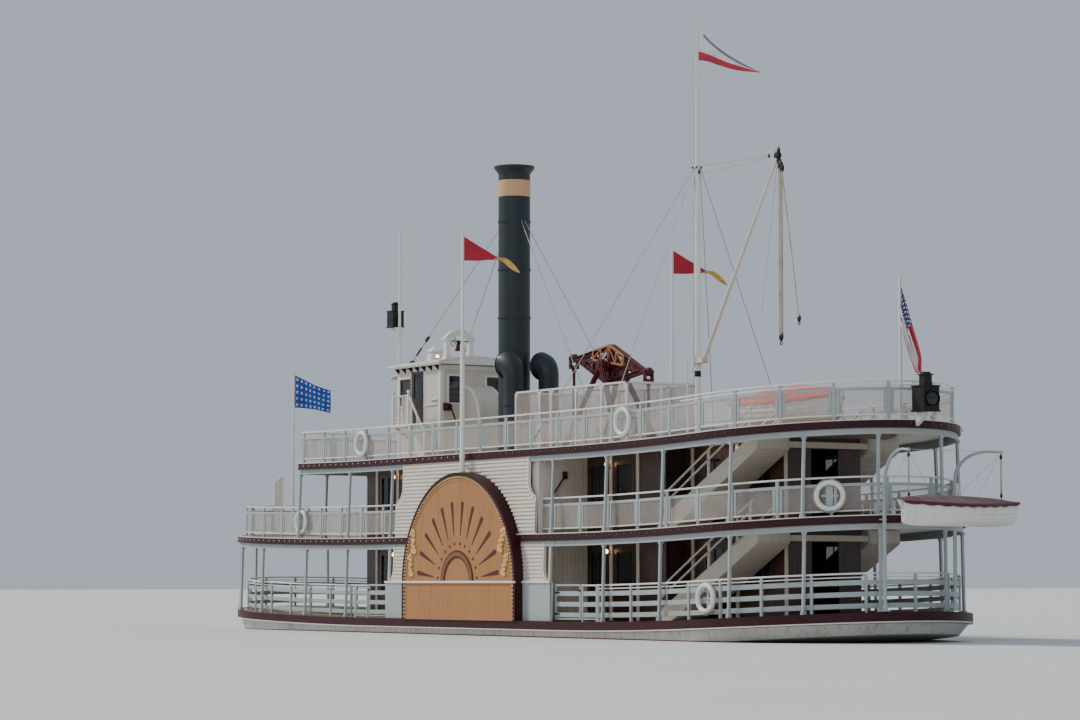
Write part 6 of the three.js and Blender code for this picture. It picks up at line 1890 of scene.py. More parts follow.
def build_pilot_roof():
    half, thick, aft, fore = (ROOF[key] for key in ("half", "thick", "aft", "fore"))
    z = ROOF_Z
    roof = Piece("pilot_roof_skin", WHITE, "white_boards")
    roof.add(prism([(half, z), *camber(thick), (-half, z)], "x", aft, fore))
    canvas = Piece("pilot_roof_canvas", CREAM, "grey_paint")
    skin = [*camber(thick + 0.004, 0.03), *reversed(camber(thick - 0.02, 0.03))]
    canvas.add(prism(skin, "x", aft + 0.03, fore - 0.03)).build()
    for x0, x1 in ((aft - 0.012, aft + 0.03), (fore - 0.03, fore + 0.012)):
        roof.add(prism([*camber(thick + 0.012), *reversed(camber(thick - 0.03))], "x", x0, x1))
    roof.add(*both(aft - 0.012, fore + 0.012, half - 0.03, half + 0.015, z + 0.03, z + thick + 0.012))
    roof.add(*both(aft, fore, half - 0.06, half - 0.02, z - 0.03, z + 0.01))
    roof.build("pilot_roof", bevel=0.003)
    x, top = BELL_AT[0], ROOF_TOP
    arch = Piece("bell_arch", WHITE, "white_boards")
    for y in (-0.43, 0.43):
        arch.add(*[block(x, y, *row) for row in ARCH_LEG])
    for outer, inner, deep in ((0.62, 0.47, 0.08), (0.65, 0.6, 0.105)):
        rows = []
        for r, dx in ((outer, -deep), (outer, deep), (inner, deep), (inner, -deep)):
            rows.append([(x + dx, y, up) for y, up in arc(0, ARCH_SPRING - 0.366, r, 36, 144, 24)])
        arch.add(sweep(rows))
    arch.build(bevel=0.004)
    x = 7.15
    vent = Piece("roof_vent", WHITE, "white_boards")
    vent.add(block(x, 0, 0.18, 0.18, top - 0.06, top + 0.34),
             block(x, 0, 0.22, 0.22, top + 0.32, top + 0.355))
    vent.add(*both(x - 0.14, x + 0.14, 0.18, 0.19, top + 0.02, top + 0.3))
    corners = [(x + 0.23 * dx, 0.23 * dy, top + 0.355) for dx, dy in ((-1, -1), (1, -1), (1, 1), (-1, 1))]
    vent.add(([*corners, (x, 0, top + 0.52)], [(3, 2, 1, 0), (0, 1, 4), (1, 2, 4), (2, 3, 4), (3, 0, 4)]))
    vent.add(tube([(x, 0, top + 0.4), (x, 0, 12.35)], [0.02, 0.011], 10)).build(bevel=0.004)
    Piece("roof_lamp", LAMP_GLOW, "white_boards").add(ball((5.85, 0.62, top + 0.09), 0.06, 6, 10)).build()
    foot = [(0.05, top - 0.07), (0.03, top - 0.02), (0.03, top + 0.04)]
    Piece("roof_lamp_stand", BLACK, "machine_iron").add(lathe(foot, (5.85, 0.62, 0), 12)).build()


BELL_CUP = [(0, -0.03), (0.055, -0.04), (0.075, -0.09), (0.085, -0.18), (0.11, -0.25), (0.14, -0.29),
            (0.145, -0.315),
            (0.13, -0.315), (0.1, -0.26), (0.07, -0.16), (0, -0.1)]


def build_bell():
    x, z = BELL_AT
    bell = Piece("ships_bell", BELL_RED, "bell_brass", "bell_body")
    bell.add(lathe(BELL_CUP, (x, 0, z), 28))
    bell.add(ball((x, 0, z - 0.3), 0.03, 5, 8), tube([(x, 0, z - 0.1), (x, 0, z - 0.3)], 0.008, 6))
    bell.add(tube([(x, -0.32, z), (x, 0.32, z)], 0.016, 10), block(x, 0, 0.028, 0.06, z - 0.06, z + 0.024))
    bell.build("bell")
    wheel = Piece("bell_wheel", BLACK, "machine_iron", "bell_body")
    wheel.add(ring((x, 0.2, z), 0.16, 0.01, "y", 28, 6))
    for a, b in arc(x, z, 0.16, 45, 315, 3):
        wheel.add(tube([(x, 0.2, z), (a, 0.2, b)], 0.007, 6))
    wheel.build()


WHEEL_HUB = [(0, -0.06), (0.06, -0.06), (0.075, -0.03), (0.075, 0.03), (0.06, 0.06), (0, 0.06)]
WHEEL_SPOKE = [(0, 0), (0.018, 0), (0.018, 0.08), (0.012, 0.1), (0.02, 0.2), (0.012, 0.33), (0.02, 0.37),
               (0.02, 0.42),
               (0.011, 0.435), (0.019, 0.48), (0.014, 0.515), (0, 0.52)]
WHEEL_BOSS = [(0, -0.075), (0.03, -0.072), (0.045, -0.06), (0.045, -0.055), (0, -0.055)]


def build_steering_wheel():
    centre = (6.82, 0, 8.75)
    wheel = Piece("steering_wheel_turned", WOOD, "varnished_wood", "steering_wheel_body")
    wheel.add(ring(centre, 0.4, 0.026, "x", 48, 10), ring(centre, 0.24, 0.016, "x", 36, 8))
    wheel.add(lathe(WHEEL_HUB, centre, 24, "x"))
    for k in range(8):
        put = Matrix.Translation(centre) @ Matrix.Rotation(2 * math.pi * k / 8, 4, "X")
        wheel.add(moved(lathe(WHEEL_SPOKE, (0, 0, 0), 10), put))
    wheel.build("steering_wheel")
    boss = Piece("steering_wheel_boss", BRASS, "bell_brass", "steering_wheel_body")
    boss.add(lathe(WHEEL_BOSS, centre, 24, "x")).build()


# Raised mouldings on the pilot house's door: (aft, fore, bottom, top) from its corner
DOOR_PANELS = [
    (0.12, 0.37, 0.12, 0.42), (0.42, 0.67, 0.12, 0.42), (0.12, 0.37, 0.5, 0.78), (0.42, 0.67, 0.5, 0.78),
    (0.1, 0.13, 0.82, 1.63), (0.66, 0.69, 0.82, 1.63), (0.1, 0.69, 0.82, 0.85), (0.1, 0.69, 1.6, 1.63),
]


def build_door():
    """Panels, glass and a knob on the pilot house's own door."""
    finish_node("pilot_door", WOOD)
    x, y, z = 5.655, 1.2, 7.865
    panels = Piece("pilot_door_panels", WOOD, "varnished_wood", "pilot_door_body")
    knob = Piece("pilot_door_knob", BRASS, "bell_brass", "pilot_door_body")
    for side in (1, -1):
        for a0, a1, h0, h1 in DOOR_PANELS:
            panels.add(wall_block("y", x + a0, x + a1, y + side * 0.02, y + side * 0.03, z + h0, z + h1))
        knob.add(ball((x + 0.72, y + side * 0.05, z + 0.8), 0.024, 6, 10))
        knob.add(tube([(x + 0.72, y, z + 0.8), (x + 0.72, y + side * 0.04, z + 0.8)], 0.01, 8))
    panels.build(bevel=0.004)
    pane = Piece("pilot_door_glass", PANE, "funnel_navy", "pilot_door_body")
    pane.add(box((x + 0.13, y - 0.003, z + 0.85), (x + 0.66, y + 0.003, z + 1.6))).build()
    knob.build()


# A lantern's case: (half width, bottom, top) of square blocks, for a lantern of size 1
LANTERN_BLOCKS = [(0.21, 0, 0.54), (0.23, 0.53, 0.56), (0.1, 0.56, 0.78), (0.125, 0.78, 0.81),
                  (0.08, 0.81, 0.85)]


def lantern(label, centre, size, face):
    """A box lantern with a chimney and a round lens. face is the way the lens looks along X."""
    x, y, z = centre
    case = Piece(label + "_case", BLACK, "funnel_navy")
    for half, low, high in LANTERN_BLOCKS:
        case.add(block(x, y, half * size, half * size, z + low * size, z + high * size))
    case.add(block(x, y, 0.23 * size, 0.23 * size, z - 0.01, z + 0.03 * size))
    start = (x + face * 0.205 * size, y, z + 0.27 * size)
    rim = [(0.17, 0), (0.18, 0.07), (0.165, 0.08), (0.155, 0.03)]
    case.add(lathe([(r * size, face * h * size) for r, h in rim], start, 32, "x"))
    case.build(bevel=0.006)
    lens = Piece(label + "_lens", LENS, "funnel_navy")
    turns = [math.pi / 2 * i / 6 for i in range(6)]
    bulge = [(0.16 * size * math.cos(t), size * (0.03 + 0.05 * math.sin(t))) for t in turns]
    profile = [(0.16 * size, 0.01), *bulge, (0, 0.08 * size)]
    lens.add(lathe([(r, face * h) for r, h in profile], start, 28, "x")).build()


FOREMAST_X = 9.5


def build_foremast():
    x = FOREMAST_X
    low = TOP_Z + sheer(x) + 0.012
    pole = Piece("foremast_pole", WHITE, "white_boards")
    profile = [
        (0, low), (0.11, low), (0.11, low + 0.04), (0.07, low + 0.06), (0.065, low + 0.2), (0.04, 14.53),
        (0.042, 14.54), (0.058, 14.55), (0.058, 14.57), (0.02, 14.58), (0, 14.58),
    ]
    shelf = [(0.04, 10.98), (0.04, 11.29), (0.42, 11.29), (0.42, 11.25), (0.2, 11.14)]
    cup = [(0.067, 10.9), (0.09, 10.92), (0.12, 11.2), (0.16, 11.28), (0.06, 11.29)]
    pole.add(lathe(profile, (x, 0, 0), 24), prism([(x + dx, z) for dx, z in shelf], "y", -0.05, 0.05))
    pole.add(lathe(cup, (x + 0.04, 0, 0), 20)).build("foremast", bevel=0.003)
    lantern("foremast_lantern", (x + 0.29, 0, 11.3), 1.0, 1)
    handle = Piece("foremast_lantern_handle", WHITE, "white_boards")
    handle.add(ring((x + 0.56, 0, 12.02), 0.075, 0.012, "y", 20, 8)).build()


def staff(label, x, deck_z, top, rail_x):
    """A flagstaff, clamped to the rail, with its halyard."""
    foot = deck_z + sheer(x) + 0.018
    clamp = deck_z + sheer(x) + RAIL_HIGH - 0.06
    profile = [
        (0, foot), (0.075, foot), (0.075, foot + 0.03), (0.05, foot + 0.05), (0.047, foot + 0.3),
        (0.034, top),
        (0.038, top + 0.005), (0.06, top + 0.012), (0.06, top + 0.026), (0, top + 0.03),
    ]
    pole = Piece(label, WHITE, "white_boards").add(lathe(profile, (x, 0, 0), 18))
    pole.add(stick((x, 0, clamp), (rail_x, 0, clamp), 0.05),
             ring((x, 0, clamp), 0.05, 0.014, "z", 18, 6)).build()
    line = Piece(label + "_halyard", ROPE, "white_boards")
    line.add(tube([(x - 0.052, 0.0, foot + 0.9), (x - 0.046, 0, top - 0.02)], 0.005, 6))
    line.add(stick((x - 0.06, -0.06, foot + 0.95), (x - 0.06, 0.06, foot + 0.95), 0.022)).build()


# Masts and the boom
MAST_X = -8.1
BOOM = {"x": -8.4, "z": 9.1, "tip_x": -12.05, "tip_z": 14.55}


def rope_block(centre, size, wide=0.5):
    """A pulley block: an oval shell with a strap."""
    put = Matrix.Translation(centre) @ Matrix.Diagonal((size, size * wide, size * 1.35, 1))
    eye = Vector(centre) + Vector((0, 0, size * 1.45))
    return [moved(ball((0, 0, 0), 1.0, 8, 12), put), ring(eye, size * 0.3, size * 0.1, "y", 12, 6)]


# Hoops on the main mast: (black, bottom, top, radius)
MAST_HOOPS = [(False, 14.64, 14.72, 0.12), (False, 8.94, 8.99, 0.105), (False, 9.2, 9.25, 0.105),
              (True, 8.63, 8.8, 0.09)]
MAST_LINES = ((0.0, 0.12, 18.9), (0.1, -0.13, 14.6), (-0.02, 0.16, 14.6))


def build_main_mast():
    x = MAST_X
    low = TOP_Z + sheer(x) + 0.012
    pole = Piece("main_mast_pole", WHITE, "white_boards")
    profile = [
        (0, low), (0.16, low), (0.16, low + 0.1), (0.12, low + 0.13), (0.085, low + 0.14), (0.085, 14.7),
        (0.06, 14.78), (0.055, 14.9), (0.032, 18.93), (0.036, 18.935), (0.068, 18.95), (0.07, 18.985),
        (0, 18.989),
    ]
    prop = [(0, low), (0.045, low), (0.03, low + 0.03), (0.026, 9.1), (0.034, 9.12), (0, 9.13)]
    pole.add(lathe(profile, (x, 0, 0), 28), lathe(prop, (-7.56, 0, 0), 14)).build("main_mast")
    irons = Piece("mast_irons", BLACK, "machine_iron")
    bands = Piece("mast_bands", WHITE, "white_boards")
    for black, z0, z1, r in MAST_HOOPS:
        hoop = [(0.084, z0), (r, z0 + 0.004), (r, z1 - 0.004), (0.084, z1)]
        (irons if black else bands).add(lathe(hoop, (x, 0, 0), 28))
    bands.build()
    for k in range(6):
        turn = math.pi / 3 * k + 0.3
        irons.add(ring((x + 0.14 * math.cos(turn), 0.14 * math.sin(turn), 14.66), 0.028, 0.009, "y", 12, 6))
    irons.add(*rope_block((x - 0.24, 0.1, 14.5), 0.05))
    wires = Piece("main_shrouds", WIRE, "machine_iron")
    for foot_x in (-8.1, -4.2):
        for sign in (1, -1):
            foot = Vector((foot_x, sign * 3.3, TOP_Z + sheer(foot_x) + 0.03))
            head = Vector((x, sign * 0.1, 14.67))
            wires.add(tube([foot, head], 0.011, 8))
            irons.add(turnbuckle(foot, head, (0.25, 0.34, 0.6, 0.7), [0.014, 0.026, 0.026, 0.014]))
            irons.add(block(foot.x, foot.y, 0.05, 0.05, foot.z - 0.028, foot.z + 0.012))
    wires.build()
    irons.build()
    lines = Piece("mast_halyards", ROPE, "white_boards")
    for dx, dy, top in MAST_LINES:
        lines.add(tube([(x + dx, dy, 8.0), (x + dx * 0.7, dy * 0.9, 13.0), (x + dx * 0.3, dy * 0.45, top)],
                       0.006, 6))
    lines.add(stick((x, 0.1, 8.0), (x, 0.17, 8.0), 0.03),
              stick((x + 0.09, -0.17, 8.0), (x + 0.09, -0.1, 8.0), 0.03))
    lines.build()
    finish_node("boom_gooseneck", CREAM)


BOOM_EYE = [(0.033, -0.06), (0.062, -0.06), (0.062, 0.06), (0.033, 0.06), (0.033, -0.06)]
BOOM_SHEAVE = [(0, -0.07), (0.07, -0.07), (0.088, -0.05), (0.088, 0.05), (0.07, 0.07), (0, 0.07)]

# Blocks at the boom's head: (x and z from its tip, size)
HEAD_BLOCKS = ((-0.02, 0.12, 0.075), (0.12, 0, 0.07), (-0.1, -0.3, 0.11), (-0.02, -0.14, 0.08),
               (-0.17, -0.38, 0.095))


def build_boom():
    heel, tip = Vector((BOOM["x"], 0, BOOM["z"])), Vector((BOOM["tip_x"], 0, BOOM["tip_z"]))
    along = (tip - heel).normalized()
    spar = Piece("boom_spar", CREAM, "white_boards", "boom_body")
    knots = [heel + along * 0.16, heel + along * 0.3, heel + along * 3.3, tip - along * 0.05]
    spar.add(tube(knots, [0.05, 0.058, 0.055, 0.04], 20), lathe(BOOM_EYE, heel, 24, "y"))
    spar.add(tube([heel + along * 0.05, heel + along * 0.2, heel + along * 0.32], [0.045, 0.06, 0.06], 16))
    spar.add(tube([tip - along * 0.22, tip + along * 0.03], [0.048, 0.05], 16)).build("cargo_boom")
    irons = Piece("boom_irons", BLACK, "machine_iron", "boom_body")
    irons.add(lathe(BOOM_SHEAVE, tip, 20, "y"))
    for dx, dz, size in HEAD_BLOCKS:
        irons.add(*rope_block((tip.x + dx, 0, tip.z + dz), size))
    irons.add(*rope_block((-11.62, 0, 14.58), 0.045)).build()
    hooks = Piece("fall_blocks", BLACK, "machine_iron", "boom_body")
    hooks.add(*rope_block((-12.15, 0, 9.5), 0.09), ring((-12.15, 0, 9.33), 0.045, 0.014, "y", 14, 6))
    hooks.add(*rope_block((-12.98, 0, 9.95), 0.075), ring((-12.98, 0, 9.82), 0.04, 0.012, "y", 14, 6))
    falls = Piece("boom_falls", ROPE, "white_boards", "boom_body")
    for dx, dy in ((-0.035, 0.03), (0.035, 0.03), (-0.035, -0.03), (0.035, -0.03)):
        falls.add(tube([(tip.x - 0.1 + dx, dy, tip.z - 0.33), (-12.15 + dx, dy, 9.55)], 0.016, 6))
    for dx, dy in ((-0.03, 0.02), (0.03, -0.02)):
        falls.add(tube([(tip.x - 0.16 + dx, dy, tip.z - 0.4), (-12.98 + dx, dy, 9.98)], 0.016, 6))
    falls.add(tube([(tip.x, 0.03, tip.z - 0.2), (-11.3, 0.03, 10.3)], 0.006, 6))
    falls.add(tube([(tip.x + 0.01, 0, tip.z + 0.05), (-11.62, 0, 14.58)], 0.009, 6))
    for gear in (hooks.build(), falls.build()):
        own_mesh(gear)
    lift = Piece("topping_lift", ROPE, "white_boards", None)
    for ends in (((-8.24, 0.02, 14.68), (-11.58, 0.015, 14.6)),
                 ((-8.36, -0.01, 14.45), (-11.58, -0.015, 14.55))):
        a, b = Vector(ends[0]), Vector(ends[1])
        lift.add(tube([a.lerp(b, i / 24) for i in range(25)], 0.009, 6))
    made = lift.build()
    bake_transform(made)


# Boats
DINGHY = [(-1.7, 0.06, 0.06, 0.62), (-1.3, 0.33, 0.01, 0.58), (-0.6, 0.59, 0, 0.54), (0.4, 0.64, 0, 0.53),
          (1.2, 0.52, 0, 0.56), (1.7, 0.43, 0.04, 0.6)]
RESCUE = [(-2.3, 0.06, 0.15, 0.76), (-1.8, 0.48, 0.04, 0.69), (-0.9, 0.8, 0, 0.64), (0.5, 0.85, 0, 0.63),
          (1.6, 0.7, 0.03, 0.66), (2.3, 0.42, 0.12, 0.7)]
DINGHY_PUT = Matrix.Translation((-19.6, 0, 4.18)) @ Matrix.Rotation(-math.pi / 2, 4, "Z")
RESCUE_PUT = Matrix.Translation((-12.5, 0, TOP_Z + sheer(-14.8) + 0.26))
STRAKES = [(0.0, 0.0), (0.3, 0.02), (0.55, 0.1), (0.74, 0.22), (0.87, 0.4), (0.94, 0.6), (0.98, 0.8),
           (1.0, 1.0)]
LAP = 0.022


def on_curve(xs, ys, x):
    """A smooth curve through given points."""
    def slope(j):
        a, b = max(j - 1, 0), min(j + 1, len(xs) - 1)
        return (ys[b] - ys[a]) / (xs[b] - xs[a])

    i = max([j for j in range(len(xs) - 1) if xs[j] <= x + 1e-9] or [0])
    wide = xs[i + 1] - xs[i]
    t = (x - xs[i]) / wide
    start, end = slope(i) * wide, slope(i + 1) * wide
    near, far = 2 * t**3 - 3 * t**2 + 1, 3 * t**2 - 2 * t**3
    return near * ys[i] + (t**3 - 2 * t**2 + t) * start + far * ys[i + 1] + (t**3 - t**2) * end


def hull_line(table, places, share_y, share_z, out):
    """A line along a boat's side, at a share of its breadth and height."""
    points = []
    for x in places:
        half, keel, gunwale = boat_lines(table, x)
        y = max(0.0, half * share_y + out * min(1.0, share_y * 3))
        points.append((x, y, keel + (gunwale - keel) * share_z - max(0.0, out) * 0.4))
    return points


# The bow's stem, from a boat's forward end: (x, z, from the keel)
STEM = [(0.02, 0.03, False), (-0.16, 0.035, False), (-0.13, -0.03, False), (-0.02, -0.2, False),
        (0.08, 0.16, True),
        (0.2, 0, True), (0.34, -0.02, True), (0.34, 0.05, True), (0.14, 0.3, True)]


def boat_lines(table, x):
    """Half breadth, keel height and gunwale height of a boat at x."""
    xs = [row[0] for row in table]
    return [on_curve(xs, [row[k] for row in table], x) for k in (1, 2, 3)]


def boat_hull(label, table, put, steps=30):
    """Builds a boat's strake, keel, stem and transom, and gives back its lapped planking unbuilt."""
    hull = Piece(label + "_planking", WHITE, "white_boards")
    start, end = table[0][0], table[-1][0]
    places = [start + (end - start) * i / steps for i in range(steps + 1)]
    outer = []
    for k in range(len(STRAKES) - 1):
        outer.append(hull_line(table, places, *STRAKES[k], LAP if k else 0.0))
        outer.append(hull_line(table, places, *STRAKES[k + 1], 0.0))
    inner = [hull_line(table, places, y, z if z else 0.04, -0.03) for y, z in reversed(STRAKES)]
    trim = Piece(label + "_rubbing_strake", CREAM, "white_boards")
    for sign in (1, -1):
        half_rows = [[(x, sign * y, z) for x, y, z in row] for row in outer + inner[:-1]]
        hull.add(moved(sweep(half_rows), put))
        corners = []
        for out, up in ((-0.035, -0.035), (0.02, -0.035), (0.02, 0.008), (-0.035, 0.008)):
            line = []
            for x in places:
                half, _, gunwale = boat_lines(table, x)
                line.append((x, sign * max(0.02, half + out), gunwale + up))
            corners.append(line)
        trim.add(moved(sweep(corners), put))
    keel_line = [(x, max(0.0, boat_lines(table, x)[1])) for x in places]
    keel = [[(x, y, z + up) for x, z in keel_line]
            for y, up in ((-0.025, 0), (0.025, 0), (0.025, 0.05), (-0.025, 0.05))]
    _, low, high = boat_lines(table, start)
    stem = [(start + x, max(0.0, (low if from_keel else high) + z)) for x, z, from_keel in STEM]
    half, low, high = boat_lines(table, end)
    transom = [(half * y, low + (high - low) * z) for y, z in STRAKES[1:]]
    outline = transom + [(-y, z) for y, z in reversed(transom)]
    for shape in (sweep(keel), prism(stem, "y", -0.028, 0.028),
                  prism(outline, "x", end - 0.035, end + 0.005)):
        trim.add(moved(shape, put))
    trim.build(bevel=0.004)
    return hull


def boat_cover(label, table, put, rise, over, scallops, material, slot, node):
    """Canvas over a ridge, its edge tied down between scallops."""
    cover = Piece(label, material, slot)
    start, end = table[0][0] - over, table[-1][0] + over
    long_steps, side_steps = 64, 9
    rows = []
    for i in range(long_steps + 1):
        share = i / long_steps
        x = start + (end - start) * share
        half, _, gunwale = boat_lines(table, min(max(x, table[0][0]), table[-1][0]))
        ridge = rise * math.sin(math.pi * share ** 0.9) ** 0.6 + 0.02
        tie = abs(math.sin(math.pi * scallops * share))
        half_row = []
        for j in range(side_steps + 1):
            v = j / side_steps
            sag = 0.018 * tie * math.sin(math.pi * v)
            half_row.append((x, v * (half + 0.03), gunwale + 0.03 + ridge * (1 - v**1.5) - sag))
        half_row.append((x, half + 0.045, gunwale + 0.005))
        half_row.append((x, half + 0.04 + 0.01 * tie, gunwale - 0.035 - 0.03 * tie))
        rows.append([(px, -py, pz) for px, py, pz in reversed(half_row[1:])] + half_row)
    points = [put @ Vector(p) for row in rows for p in row]
    cover.add((points, grid_faces(long_steps, len(rows[0]) - 1)))
    made = cover.build(node, sharp=60)


def build_boats():
    boat_hull("dinghy", DINGHY, DINGHY_PUT).build("dinghy", sharp=20)
    hull = boat_hull("rescue_boat", RESCUE, RESCUE_PUT)
    for x in (-13.7, -11.3):
        deck = TOP_Z + sheer(x - 0.05) + 0.016
        hull.add(block(x, 0, 0.05, 0.5, deck, deck + 0.2))
    hull.build("rescue_boat", sharp=20)
    boat_cover("dinghy_canvas", DINGHY, DINGHY_PUT, 0.2, 0.02, 9, MAROON_CANVAS, "canvas_maroon",
               "dinghy_cover")
    boat_cover("rescue_boat_canvas", RESCUE, RESCUE_PUT, 0.4, 0.025, 9, ORANGE_CANVAS, "canvas_orange",
               "rescue_boat_cover")


DAVIT = {"x": -18.15, "y": 1.15, "r": 0.05, "head": (-19.6, 1.5, 6.1)}


def build_davits():
    x, r, (head_x, head_y, head_z) = DAVIT["x"], DAVIT["r"], DAVIT["head"]
    arms = Piece("davit_arms", GREY, "grey_paint")
    irons = Piece("davit_blocks", BLACK, "machine_iron")
    lines = Piece("davit_falls", ROPE, "white_boards")
    foot = MAIN_Z + sheer(x) + 0.026
    for sign in (1, -1):
        y = sign * DAVIT["y"]
        head = Vector((head_x, sign * head_y, head_z))
        knots = [(x, y, 5.27), (x - 0.1, y, 5.67), (x - 0.42, y * 1.06, 5.98), (x - 0.9, y * 1.17, 6.12),
                 tuple(head)]
        path = [(x, y, foot)]
        for i in range(25):
            path.append(tuple(on_curve(range(5), [knot[axis] for knot in knots], i / 6) for axis in range(3)))
        arms.add(tube(path, [r, *[r * (1 - 0.35 * i / 24) for i in range(25)]], 16), ball(head, 0.05, 6, 10))
        arms.add(box((x - 0.08, y - 0.11, foot), (x + 0.17, y + 0.11, foot + 0.04)))
        socket = [(0.05, foot + 0.04), (0.075, foot + 0.04), (0.055, foot + 0.2), (0.05, foot + 0.2)]
        arms.add(lathe(socket, (x, y, 0), 16))
        for z in (SECOND_Z + sheer(x) - 0.12, SECOND_Z + sheer(x) + 0.7):
            arms.add(ring((x, y, z), 0.056, 0.014, "z", 18, 6), stick((x, y, z), (x + 0.2, y, z), 0.035))
        irons.add(*rope_block(head - Vector((0, 0, 0.13)), 0.05), *rope_block((head.x, head.y, 4.98), 0.045))
        irons.add(tube([(head.x, head.y, 4.66), (head.x, head.y, 4.93)], 0.012, 8))
        for dx in (-0.025, 0.0, 0.025):
            lines.add(tube([(head.x + dx, head.y, head.z - 0.15), (head.x + dx, head.y, 5.02)], 0.007, 6))
        lines.add(tube([(head.x, head.y, head.z - 0.04), (head.x, sign * 0.78, 5.02)], 0.006, 6))
        lines.add(tube([(head.x, head.y, head.z - 0.05), (x - 0.02, y, 4.95)], 0.005, 6))
    lines.add(tube([(head_x, -head_y, head_z), (head_x, head_y, head_z)], 0.007, 6))
    arms.build("stern_davits")
    irons.build()
    lines.build()


def build_stern_lantern():
    z = TOP_Z + sheer(-18.05) - FASCIA_DOWN + 0.04
    bracket = Piece("stern_lantern_bracket", WHITE, "white_boards")
    knee = [(-18.08, z), (-18.08, z + 0.34), (-18.62, z + 0.34), (-18.62, z + 0.27), (-18.4, z + 0.22)]
    bracket.add(prism(knee, "y", -0.06, 0.06), box((-18.66, -0.1, z + 0.31), (-18.1, 0.1, z + 0.345)))
    bracket.build("stern_lantern", bevel=0.006)
    lantern("stern_lantern", (-18.43, 0, z + 0.36), 1.2, -1)


# Flags. Rows give the cloth's edges: how far from the hoist, and the heights of its lower and upper edges.
PENNANT_ROWS = [(0.045, 0.0, 0.72), (0.5, -0.02, 0.43), (0.8, 0.0, 0.25), (1.04, -0.02, 0.1),
                (1.17, -0.03, 0.06),
                (1.31, -0.13, 0.045), (1.46, -0.26, -0.04), (1.62, -0.36, -0.2), (1.76, -0.42, -0.385)]
MAIN_PENNANT_ROWS = [(0.05, 0.0, 0.97), (0.3, -0.04, 0.66), (0.61, -0.155, 0.365), (1.05, -0.3, 0.04),
                     (1.45, -0.38, -0.2), (1.84, -0.44, -0.385)]
BOW_FLAG_ROWS = [(0.05, 0.0, 1.15), (0.4, -0.03, 0.98), (0.8, -0.08, 0.79), (1.1, -0.15, 0.67),
                 (1.36, -0.21, 0.6)]
ENSIGN_TOP = [(0.05, 1.99), (0.24, 1.5), (0.43, 1.02), (0.62, 0.56), (0.8, 0.1), (0.84, -0.28)]
ENSIGN_LOW = [(0.05, 0.9), (0.16, 0.78), (0.3, 0.42), (0.46, 0.08), (0.64, -0.22), (0.79, -0.36)]
ENSIGN_DEEP = 1.09
ENSIGN_FOLDS = 3
FLAG_TURN = Matrix.Rotation(math.pi / 4, 4, "Z")


def cloth_rows(piece, put, table, wave, phase, long_steps=36, across=14):
    """Adds a rippling strip of cloth between the edges in a table of rows."""
    runs = [row[0] for row in table]
    points, uvs = [], []
    for i in range(long_steps + 1):
        u = i / long_steps
        run = runs[0] + (runs[-1] - runs[0]) * u
        low, high = (on_curve(runs, [row[k] for row in table], run) for k in (1, 2))
        for j in range(across + 1):
            v = j / across
            slow, fast = math.sin(7.5 * u + 2.2 * v + phase), math.sin(15 * u - 3 * v + phase)
            ripple = wave * u**0.8 * slow + wave * 0.35 * u * fast
            points.append(put @ Vector((-run, ripple, low + (high - low) * v)))
            uvs.append((u, v))
    piece.add_with_uv(points, grid_faces(long_steps, across), uvs)


def grid_faces(rows, columns):
    n = columns + 1
    corners = [i * n + j for i in range(rows) for j in range(columns)]
    return [(at, at + n, at + n + 1, at + 1) for at in corners]


def build_ensign():
    """A flag that hangs from its upper corner in deep folds, which take up its width."""
    flag = Piece("ensign_cloth", ENSIGN_CLOTH, "flag_red")
    steps, across = 44, 72
    knots = list(range(len(ENSIGN_TOP)))
    points, uvs = [], []
    for i in range(steps + 1):
        u = i / steps
        s = u * knots[-1]
        top, low = ([on_curve(knots, [p[k] for p in line], s) for k in (0, 1)]
                    for line in (ENSIGN_TOP, ENSIGN_LOW))
        wide = math.dist(top, low)
        depth = math.sqrt(max(0.0, ENSIGN_DEEP**2 - wide**2)) / (4 * ENSIGN_FOLDS)
        for j in range(across + 1):
            v = j / across
            run = low[0] + (top[0] - low[0]) * v
            height = low[1] + (top[1] - low[1]) * v
            fold = depth * math.sin(2 * math.pi * ENSIGN_FOLDS * v + 1.1 * u)
            points.append((-17.4 - run, fold + 0.03 * u * math.sin(7 * u), 8.5 + height))
            uvs.append((u, v))
    flag.add_with_uv(points, grid_faces(steps, across), uvs)
    flag.build("ensign")


def build_flags():
    for side, sign in (("port", 1), ("starboard", -1)):
        put = Matrix.Translation((SHAFT_X, sign * POLE_Y, 12.38)) @ FLAG_TURN
        flag = Piece("pennant_cloth_" + side, PENNANT_CLOTH, "flag_red")
        cloth_rows(flag, put, PENNANT_ROWS, 0.05, sign, 44, 12)
        flag.build("pennant_" + side)
    flag = Piece("pennant_cloth_main", MAIN_PENNANT_CLOTH, "flag_red")
    cloth_rows(flag, Matrix.Translation((MAST_X, 0, 17.77)) @ FLAG_TURN, MAIN_PENNANT_ROWS, 0.06, 0.6)
    flag.build("pennant_main")
    flag = Piece("bow_flag_cloth", BOW_FLAG_CLOTH, "flag_blue")
    cloth_rows(flag, Matrix.Translation((17.25, 0, 8.97)) @ FLAG_TURN, BOW_FLAG_ROWS, 0.08, 2.0, 36, 18)
    flag.build("flag_bow")
    build_ensign()


SOFFIT_BOARDS = 26

# Stairs: two flights on each deck, as in the model
STAIR = {"foot": -9.7, "head": -14.3, "near": 1.35, "far": 2.35, "steps": 12, "rise": 2.47}


